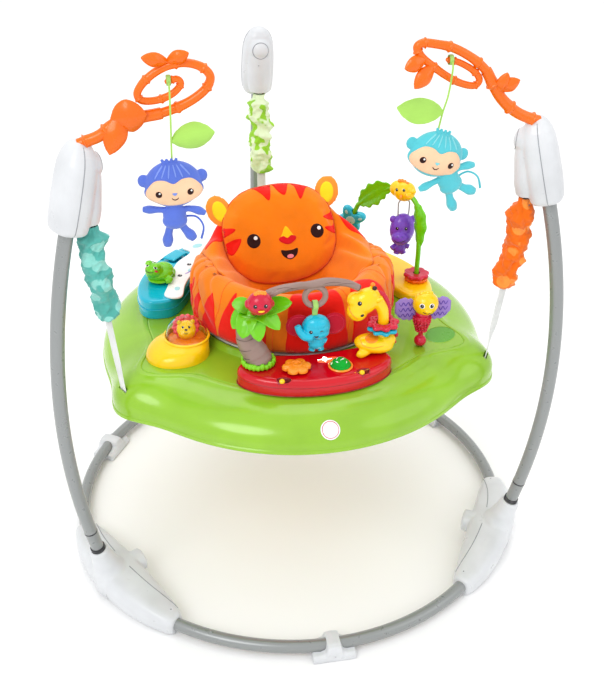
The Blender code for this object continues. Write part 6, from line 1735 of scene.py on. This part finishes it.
chick = sculpt("chick_body", [ball(FIG, (0.0200, 0.0172, 0.0182)), ball(chick_head, (0.0152, 0.0146, 0.0148)),
                              ball(FIG - across * 0.0185 + Vector((0, 0, 0.0050)), (0.0060, 0.0050, 0.0045)),
                              ball(FIG + Vector((0.004, -0.0165, -0.0030)), (0.0090, 0.0040, 0.0068))],
               "yellow", "tray", 0.0008, 4, nodes=("arch_chick",), slot="yellow_plastic")
sculpt("chick_crest", [ball(FIG + across * (0.006 * k - 0.004)
                            + Vector((0, 0, 0.0182 - 0.0016 * abs(k - 1.5))), (0.0038, 0.0036, 0.0044))
                       for k in range(4)], "orange", "tray", 0.0006, 2, slot="orange_plastic")
rays = look(FIG + Vector((-0.004, 0, 0)), -22, 14)
eyes("chick", ((-0.0100, 0.0040), (0.0030, 0.0048)), 0.0024, rays, chick, "tray")
sculpt("chick_beak", [limb([FIG + Vector((-0.0110, -0.0150, -0.0018)),
                            FIG + Vector((-0.0130, -0.0215, -0.0030))], [0.0032, 0.0010])], "orange", "tray",
       0.0005, 2, slot="orange_plastic")
ribbon("chick_wing_line", [(0.0060, -0.0020), (0.0100, -0.0070), (0.0150, -0.0040)], 0.0010, rays, chick,
       "orange", "tray", 0.0004)

# loose beads on the near leg of the arch
for name, z, r0, wave, count, colour, slot in (("red", 0.4600, 0.0230, 0.0016, 8, "crimson", "red_plastic"),
                                               ("orange", 0.4522, 0.0215, 0.0006, 12, "vine",
                                                "orange_plastic")):
    c = Vector((A0.x, A0.y, z))
    rings = []
    for r, h in ((0.0058, -0.0026), (0.0075, -0.0034), (0.60, -0.0036), (0.90, -0.0035), (0.985, -0.0020),
                 (1.0, 0.0), (0.985, 0.0020), (0.90, 0.0035), (0.72, 0.0032), (0.60, 0.0024),
                 (0.0075, 0.0030), (0.0058, 0.0024)):
        ring = []
        for k in range(112):
            a = 2 * pi * k / 112
            q = r if r < 0.02 else r * (r0 + wave * cos(count * a))
            ring.append(c + Vector((q * cos(a), q * sin(a), h)))
        rings.append(ring)
    lofted("bead_%s_disc" % name, rings, colour, "bead_" + name, True, nodes=("bead_" + name,), slot=slot,
           crease=None)

# butterfly threaded on the far leg
BF = LEG.lerp(A1, 0.30)
zax = (LEG - A1).normalized()
uax = (Vector((0.846, -0.383, -0.371)) - zax * zax.dot(Vector((0.846, -0.383, -0.371)))).normalized()
nax = uax.cross(zax).normalized()
rings = []
N = 112
for off, f in ((-0.0085, 0.55), (-0.0080, 0.80), (-0.0060, 0.94), (-0.0025, 1.0), (0.0025, 1.0),
               (0.0060, 0.94), (0.0080, 0.80), (0.0085, 0.55)):
    ring = []
    for k in range(N):
        a = 2 * pi * k / N
        r = (0.0225 + 0.0062 * cos(4 * (a - radians(42.0)))) * f
        ring.append(BF + uax * (1.08 * r * cos(a)) + zax * (0.98 * r * sin(a)) + nax * off)
    rings.append(ring)
hole = sweep([BF - zax * 0.045, BF + zax * 0.045], 0.0062, 32)
me = skin("butterfly", [rings])
butterfly = carve("butterfly_wings", me, [hole], "teal", "butterfly", nodes=("butterfly",),
                  slot="turquoise_plastic", crease=60)
face_out = nax if nax.dot(Vector((0.2, -1, 0.3))) > 0 else -nax
rays = flat_rays(BF, uax if uax.cross(zax).dot(face_out) > 0 else -uax, zax, 0.04)
decal("butterfly_face", ellipse(0, 0.0, 0.0092, 0.0100), rays, butterfly, "pale_teal", "butterfly", 0.0006)
eyes("butterfly", ((-0.0034, 0.0020), (0.0034, 0.0020)), 0.0016, rays, butterfly, "butterfly")
ribbon("butterfly_smile", [(-0.0034, -0.0034), (0.0, -0.0052), (0.0034, -0.0034)], 0.0010, rays, butterfly,
       "brown", "butterfly", 0.0011)
for i in range(4):
    a = radians(42 + 90 * i)
    decal("butterfly_spot_%d" % i, ellipse(0.0200 * cos(a) * 1.05, 0.0200 * sin(a) * 0.98, 0.0042, 0.0030,
                                           degrees(a), 18), rays, butterfly, "pale_teal", "butterfly", 0.0004)

# hippo on two cords
HP = anchor("hippo_swing")
H = lambda x, y, z: HP + Vector((x, y, z))
hippo = sculpt("hippo_body", [ball(H(0, 0, -0.0520), (0.0235, 0.0172, 0.0305), None, 28, 18),
                              ball(H(-0.004, -0.0110, -0.0640), (0.0190, 0.0135, 0.0140)),
                              ball(H(-0.0185, 0, -0.0310), (0.0066, 0.0048, 0.0070)),
                              ball(H(0.0190, 0, -0.0330), (0.0066, 0.0048, 0.0070)),
                              ball(H(-0.003, 0, -0.0890), (0.0132, 0.0102, 0.0132)),
                              limb([H(-0.012, -0.002, -0.084), H(-0.020, -0.005, -0.088)], [0.0046, 0.0048]),
                              limb([H(0.006, -0.002, -0.084), H(0.014, -0.005, -0.087)], [0.0046, 0.0048]),
                              limb([H(-0.008, -0.002, -0.096), H(-0.010, -0.004, -0.1010)], [0.0052, 0.0050]),
                              limb([H(0.003, -0.002, -0.096), H(0.005, -0.004, -0.1010)], [0.0052, 0.0050])],
               "purple", "hippo", 0.0009, 4, nodes=("hippo",), slot="purple_plastic")
rays = look(H(0, 0, -0.052), -14, 6)
eyes("hippo", ((-0.0100, 0.0060), (0.0060, 0.0060)), 0.0027, rays, hippo, "hippo")
for i, x in enumerate((-0.0100, -0.0010)):
    decal("hippo_nostril_%d" % i, ellipse(x + 0.001, -0.0080, 0.0016, 0.0012, n=12), rays, hippo, "violet",
          "hippo", 0.0004, 2)
ribbon("hippo_smile", [(-0.0150, -0.0150), (-0.0060, -0.0190), (0.0060, -0.0150)], 0.0012, rays, hippo,
       "brown", "hippo")
for i, s in enumerate((-1, 1)):
    tube("hippo_cord_%d" % i, curve_through([H(s * 0.0105, 0, -0.0003), H(s * 0.0103, -0.0004, -0.012),
                                             H(s * 0.0098, 0.0002, -0.024), H(s * 0.0095, 0, -0.0330)], 8),
         0.0014, "cord", "hippo", 12)
tube("hippo_cord_yoke", curve_through([H(-0.0105, 0, -0.0003), H(-0.0075, 0, 0.0046), H(0, 0, 0.0066),
                                       H(0.0075, 0, 0.0046), H(0.0105, 0, -0.0003)], 8), 0.0013, "cord",
     "hippo", 12)

# ---------------------------------------------------------------- bee on its sprung stalk
BEE = anchor("bee_sway")
K = lambda x, y, z: BEE + Vector((x, y, z))
sculpt("bee_body", [ball(K(0, 0, 0), (0.0105, 0.0105, 0.0102)),
                    limb([K(0, 0, 0), K(0, 0, 0.0245)], [0.0042, 0.0042])]
       + [ball(K(0, 0, z), (r, r, h)) for z, r, h in ((0.0220, 0.0085, 0.0062), (0.0320, 0.0118, 0.0070),
                                                      (0.0430, 0.0148, 0.0080), (0.0520, 0.0120, 0.0070))],
       "crimson", "bee", 0.0008, 2, nodes=("bee",), slot="red_plastic")
for row, (z, r) in enumerate(((0.0215, 0.0088), (0.0275, 0.0104), (0.0335, 0.0122), (0.0395, 0.0140),
                              (0.0455, 0.0142))):
    n = 12 + row
    sculpt("bee_pips_%d" % row, [ball(K(r * cos(a), r * sin(a), z), (0.0021, 0.0021, 0.0025))
                                 for a in [2 * pi * (k + 0.5 * (row % 2)) / n for k in range(n)]], "crimson",
           "bee", 0.0006, 1, slot="red_plastic")
bee_head = sculpt("bee_head", [ball(K(0.004, 0, 0.0710), (0.0220, 0.0188, 0.0205)),
                               ball(K(0.0035, -0.0165, 0.0650), (0.0060, 0.0045, 0.0042))], "yellow", "bee",
                  0.0008, 3, slot="yellow_plastic")
sculpt("bee_crest", [ball(K(0.004 + 0.0055 * (k - 1.5), 0.001, 0.0905 - 0.0012 * abs(k - 1.5)),
                          (0.0036, 0.0040, 0.0042)) for k in range(4)], "yellow", "bee", 0.0006, 2,
       slot="yellow_plastic")
rays = look(K(0.004, 0, 0.071), -10, 10)
eyes("bee", ((-0.0080, 0.0010), (0.0080, 0.0010)), 0.0030, rays, bee_head, "bee", white=True)
ribbon("bee_smile", [(-0.0060, -0.0100), (0.0, -0.0130), (0.0060, -0.0100)], 0.0012, rays, bee_head, "brown",
       "bee")
for i, (s, top) in enumerate(((-1, 0.0635), (1, 0.0595))):
    base, tip_p = K(0.002, 0.006, 0.0535), K(0.002 + s * 0.048, 0.006, top)
    rings = []
    for k in range(25):
        f = k / 24
        w = spread([0.006, 0.0165, 0.0205, 0.0205, 0.0110], 25)[k] * (1.0 + 0.06 * cos(2 * pi * 4.5 * f))
        c = base.lerp(tip_p, f)
        rings.append([c + Vector((0, 0, 1)) * (w * cos(q))
                      + Vector((0, 1, 0)) * (0.0015 * (1.0 + 0.25 * cos(3 * q)) * sin(q))
                      for q in circle(28)])
    wing = lofted("bee_wing_%d" % i, rings, "lavender", "bee", slot="purple_plastic", crease=None)
    rays = look(base.lerp(tip_p, 0.55), 0, 0, 0.03)
    for j in range(3):
        z0 = 0.0105 * (j - 1)
        zig = [(0.0040 * (k - 4), z0 + 0.0030 * (-1) ** k) for k in range(9)]
        zig = [(x, z) for x, z in zig if abs(x) < 0.0165]
        ribbon("bee_wing_%d_zigzag_%d" % (i, j), zig, 0.0018, rays, wing, "violet", "bee", 0.0004)

# ---------------------------------------------------------------- vines
VY = -0.1950
VINES = {"left": ((-.3300, .8285), (-.3180, .8330), (-.3000, .8400), (-.2770, .8560), (-.2480, .8620),
                  (-.2150, .8670), (-.1810, .8790), (-.1560, .8960), (-.1480, .9130), (-.1600, .9270),
                  (-.1830, .9330), (-.2090, .9280), (-.2330, .9130), (-.2460, .8955), (-.2400, .8850),
                  (-.2190, .8850), (-.1990, .8930), (-.1880, .9050), (-.1930, .9120), (-.2060, .9090)),
         "right": ((.3300, .8285), (.3160, .8330), (.2930, .8440), (.2700, .8630), (.2530, .8860),
                   (.2400, .9060), (.2180, .9240), (.1890, .9390), (.1640, .9450), (.1450, .9470),
                   (.1370, .9410), (.1450, .9280), (.1630, .9140), (.1820, .9010), (.2030, .8900),
                   (.2240, .8850), (.2320, .8930), (.2220, .9060), (.2010, .9180), (.1830, .9230))}
LEAVES = {"left": (((-.270, .868), (-.290, .816), .027), ((-.284, .862), (-.236, .870), .037),
                   ((-.204, .936), (-.238, .945), .016), ((-.204, .936), (-.176, .949), .016)),
          "right": (((.262, .878), (.288, .894), .018), ((.262, .873), (.268, .905), .017),
                    ((.150, .926), (.118, .916), .019), ((.162, .916), (.134, .888), .020))}
for name, pts in VINES.items():
    path = curve_through([V(x, VY, z) for x, z in pts], 24)
    n = len(path)
    radii = []
    for i in range(n):
        k = i / 24.0
        r = 0.0085 if k < 5 else 0.0068 - 0.0022 * (k - 5) / 14.0
        r *= 0.96 + 0.30 * exp(-(((k % 1.6) - 0.8) / 0.070) ** 2) + 0.05 * exp(-(((k % 1.6)
                                                                                  - 0.95) / 0.20) ** 2)
        radii.append(r * (0.80 if i == n - 1 else 1.0))
    tube("vine_%s_stem" % name, path, radii, "vine", "frame", 24, nodes=("vine_" + name,),
         slot="orange_plastic", crease=None)
    tube("vine_%s_tip" % name, [path[-1], path[-1] + (path[-1] - path[-3]).normalized() * 0.0030],
         [0.0040, 0.0020], "vine", "frame", 20, crease=None)
    for i, ((ax, az), (bx, bz), w) in enumerate(LEAVES[name]):
        a, b = V(ax, VY - 0.003, az), V(bx, VY - 0.012, bz)
        mid = (a + b) * 0.5 + Vector((0, -0.003, 0))
        side = (b - a).cross(Vector((0, 1, 0))).normalized()
        veined_leaf("vine_%s_leaf_%d" % (name, i), [a, a.lerp(mid, 0.5), mid, mid.lerp(b, 0.5), b],
                    [0.0030, w * 0.42, w * 0.58, w * 0.62, w * 0.55, w * 0.36, 0.0010], 0.0030, side, "frame",
                    slot="orange_plastic", material="vine", count=3)

# ---------------------------------------------------------------- plush monkeys on strings
for name, hook, top, head_at, tint, pale, turn_head, turn_body, leaf_x, leaf_z in (("left",
                                                                                    V(-.2040, VY, .9108),
                                                                                    0.800,
                                                                                    V(-.2060, VY, .7640),
                                                                                    "blue", "blue_pale", -3.0,
                                                                                    0.0, 0.060, 0.829),
                                                                                   ("right",
                                                                                    V(.1870, VY, .9228),
                                                                                    0.822,
                                                                                    V(.1780, VY, .7860),
                                                                                    "aqua", "aqua_pale", 15.0,
                                                                                    -30.0, -0.068, 0.851)):
    body = "monkey_" + name
    mh = Matrix.Translation(head_at) @ rot_y(turn_head)
    mb = Matrix.Translation(head_at) @ rot_y(turn_body)
    M = lambda x, y, z: mh @ Vector((x, y, z))
    B = lambda x, y, z: mb @ Vector((x, y, z))
    RH, RB = rot_y(turn_head), rot_y(turn_body)
    W = lambda pts, radii: limb([B(*p) for p in pts], radii, 1.0, None, 16)
    plush = sculpt(body + "_plush", [ball(M(0, 0, 0), (0.0405, 0.0162, 0.0345), RH, 36, 20),
                                     ball(M(0, 0, -0.0090), (0.0425, 0.0140, 0.0200), RH, 32, 16),
                                     ball(M(-0.0410, 0.002, 0.0080), (0.0085, 0.0050, 0.0095), RH),
                                     ball(M(0.0410, 0.002, 0.0080), (0.0085, 0.0050, 0.0095), RH),
                                     ball(B(-0.001, 0, -0.0480), (0.0170, 0.0122, 0.0190), RB, 28, 16),
                                     ball(B(-0.001, 0, -0.0560), (0.0182, 0.0122, 0.0130), RB),
                                     W([(-.006, 0, -.040), (-.022, 0, -.038), (-.036, 0, -.037),
                                        (-.046, 0, -.036)], [.0040, .0046, .0062, .0040]),
                                     W([(.006, 0, -.040), (.020, 0, -.039), (.034, 0, -.043),
                                        (.043, 0, -.048)], [.0040, .0046, .0064, .0040]),
                                     W([(-.007, 0, -.060), (-.011, 0, -.074), (-.013, 0, -.086),
                                        (-.014, 0, -.096)], [.0050, .0058, .0082, .0056]),
                                     W([(.007, 0, -.060), (.013, 0, -.071), (.020, 0, -.080),
                                        (.026, 0, -.087)], [.0050, .0058, .0080, .0056]),
                                     W([(.010, .004, -.052), (.030, .004, -.054), (.040, .004, -.070),
                                        (.036, .004, -.090)], [.0018, .0017, .0017, .0020])], tint, body,
                   0.0011, 4, nodes=(body,), slot="blue_plush" if name == "left" else "teal_plush")
    tuft = sculpt(body + "_tuft", [limb([M(dx, -0.002, 0.0300), M(dx * 1.5, -0.003, 0.0385)],
                                        [0.0034, 0.0020]) for dx in (-0.0085, -0.0040, 0.0008, 0.0055)], tint,
                  body, 0.0008, 2)
    rays = flat_rays(head_at, RH.to_3x3() @ Vector((1, 0, 0)), RH.to_3x3() @ Vector((0, 0, 1)), 0.04)
    mask = blobby([(0.0, 0.0060), (-0.0120, 0.0115), (-0.0250, 0.0110), (-0.0350, 0.0020), (-0.0405, -0.0100),
                   (-0.0340, -0.0200), (-0.0180, -0.0265), (0.0, -0.0285), (0.0180, -0.0265),
                   (0.0340, -0.0200), (0.0405, -0.0100), (0.0350, 0.0020), (0.0250, 0.0110),
                   (0.0120, 0.0115)], 4)
    decal(body + "_face", mask, rays, plush, "peach", body, 0.0009, 9)
    for i, x in enumerate((-0.0220, 0.0220)):
        decal(body + "_eye_%d" % i, ellipse(x, -0.0085, 0.0044, 0.0048), rays, plush, "eye_brown", body,
              0.0014)
        decal(body + "_glint_%d" % i, ellipse(x + 0.0014, -0.0066, 0.0014, 0.0014, n=12), rays, plush,
              "eye_white", body, 0.0018, 2)
    decal(body + "_nose", blobby([(-0.0036, -0.0075), (0.0036, -0.0075), (0.0, -0.0115)], 4), rays, plush,
          pale, body, 0.0014, 3)
    ribbon(body + "_smile", [(-0.0048, -0.0150), (-0.0018, -0.0178), (0.0018, -0.0178), (0.0048, -0.0150)],
           0.0015, rays, plush, "eye_brown", body, 0.0014)
    # pale lines up the crown are painted highlights on the ridges of the hair
    for i, x in enumerate((-0.0240, -0.0150, -0.0060, 0.0040, 0.0130, 0.0230)):
        ribbon(body + "_painted_ridge_highlight_%d" % i, [(x * 1.05, 0.0140 + 0.0010 * (i % 2)), (x * 0.80, 0.0230),
                                         (x * 0.52, 0.0305)], 0.0020, rays, plush, pale, body, 0.0006)
    # webbing loop over the vine, string, leaf
    hb = "hanger_" + name
    hx, zs = head_at.x - hook.x, top - hook.z
    string = curve_through([hook + Vector(p) for p in ((0, -.0076, -.0010), (0, -.0125, -.0100),
                                                       (hx * .4, -.0140, -.0450),
                                                       (hx * .8, -.0080, zs + .0300), (hx, 0, zs + .0010))],
                           10)
    tube(hb + "_string", string, 0.0013, "hang_leaf", body, 12, nodes=(hb,), slot="white_webbing",
         crease=None)
    loop_pts = [hook + Vector((0, 0.0068 * cos(2 * pi * k / 32), 0.0068 * sin(2 * pi * k / 32)))
                for k in range(33)]
    tube(hb + "_loop", loop_pts, 0.0005, "ribbon", body, 10, 6.0, (1, 0, 0), crease=None)
    lx, lz = leaf_x, leaf_z - hook.z
    a, b = hook + Vector((hx * .8, -.0075, lz)), hook + Vector((hx * .8 + lx, -.0075, lz + .010))
    blade = veined_leaf(hb + "_leaf", [a, a.lerp(b, .25), a.lerp(b, .5), a.lerp(b, .75), b],
                        [.0020, .0105, .0160, .0185, .0190, .0165, .0105, .0012], 0.0014, (0, 0, 1), body,
                        slot="leaf_green_plastic", material="hang_leaf", count=3)


# ---------------------------------------------------------------- floor, lights, camera

def far_light(name, at, aim, size, power):
    data = bpy.data.lights.new(name, "AREA")
    data.shape = "DISK"
    data.size, data.energy = size, power
    o = new_object(name, data)
    o.location = at
    o.rotation_euler = (Vector(aim) - Vector(at)).to_track_quat("-Z", "Y").to_euler()


bm = bmesh.new()
bmesh.ops.create_circle(bm, cap_ends=True, radius=14.0, segments=96)
bmesh.ops.translate(bm, verts=bm.verts, vec=(0, 0, -0.0004))
floor = new_object("studio_floor", to_mesh("floor", bm, outward=False))
f = Nodes("studio_floor_paint")
f.link(f.mix(f.remap(f.noise(3.0, 2.0), 0.3, 0.7, 0.0, 0.5), (0.95, 0.95, 0.95, 1), (0.935, 0.935, 0.935, 1)),
       f.bsdf.inputs["Base Color"])
f.link(f.remap(f.noise(40.0, 2.0), 0.3, 0.7, 0.62, 0.72), f.bsdf.inputs["Roughness"])
floor.data.materials.append(f.mat)

world = bpy.data.worlds.new("studio_world")
bpy.context.scene.world = world
world.use_nodes = True
world.node_tree.nodes["Background"].inputs["Color"].default_value = (1.0, 1.0, 1.0, 1.0)
world.node_tree.nodes["Background"].inputs["Strength"].default_value = 0.88
far_light("key_light", (-1.9, -2.3, 3.0), (0, 0, 0.35), 2.0, 33.0)
far_light("fill_light", (2.4, -1.6, 2.2), (0, 0, 0.35), 2.4, 9.0)
far_light("top_light", (0.2, 1.2, 3.4), (0, 0, 0.3), 2.6, 17.0)

AZ, DOWN, ROLL = radians(-10.904), radians(32.255), radians(0.802)
fwd = Vector((-sin(AZ) * cos(DOWN), cos(AZ) * cos(DOWN), -sin(DOWN)))
level = Vector((cos(AZ), sin(AZ), 0.0))
upward = level.cross(fwd)
right = level * cos(ROLL) + upward * sin(ROLL)
upward = upward * cos(ROLL) - level * sin(ROLL)
cam_data = bpy.data.cameras.new("camera")
cam_data.lens, cam_data.sensor_width = 49.23, 36.0
camera = new_object("camera", cam_data)
turn = Matrix((right, upward, -fwd)).transposed()
camera.matrix_world = Matrix.Translation(V(-0.2641, -1.4739, 1.2890)) @ turn.to_4x4()
bpy.context.scene.camera = camera
view = bpy.context.scene.view_settings
view.view_transform = "Standard"
view.look = "Medium High Contrast"
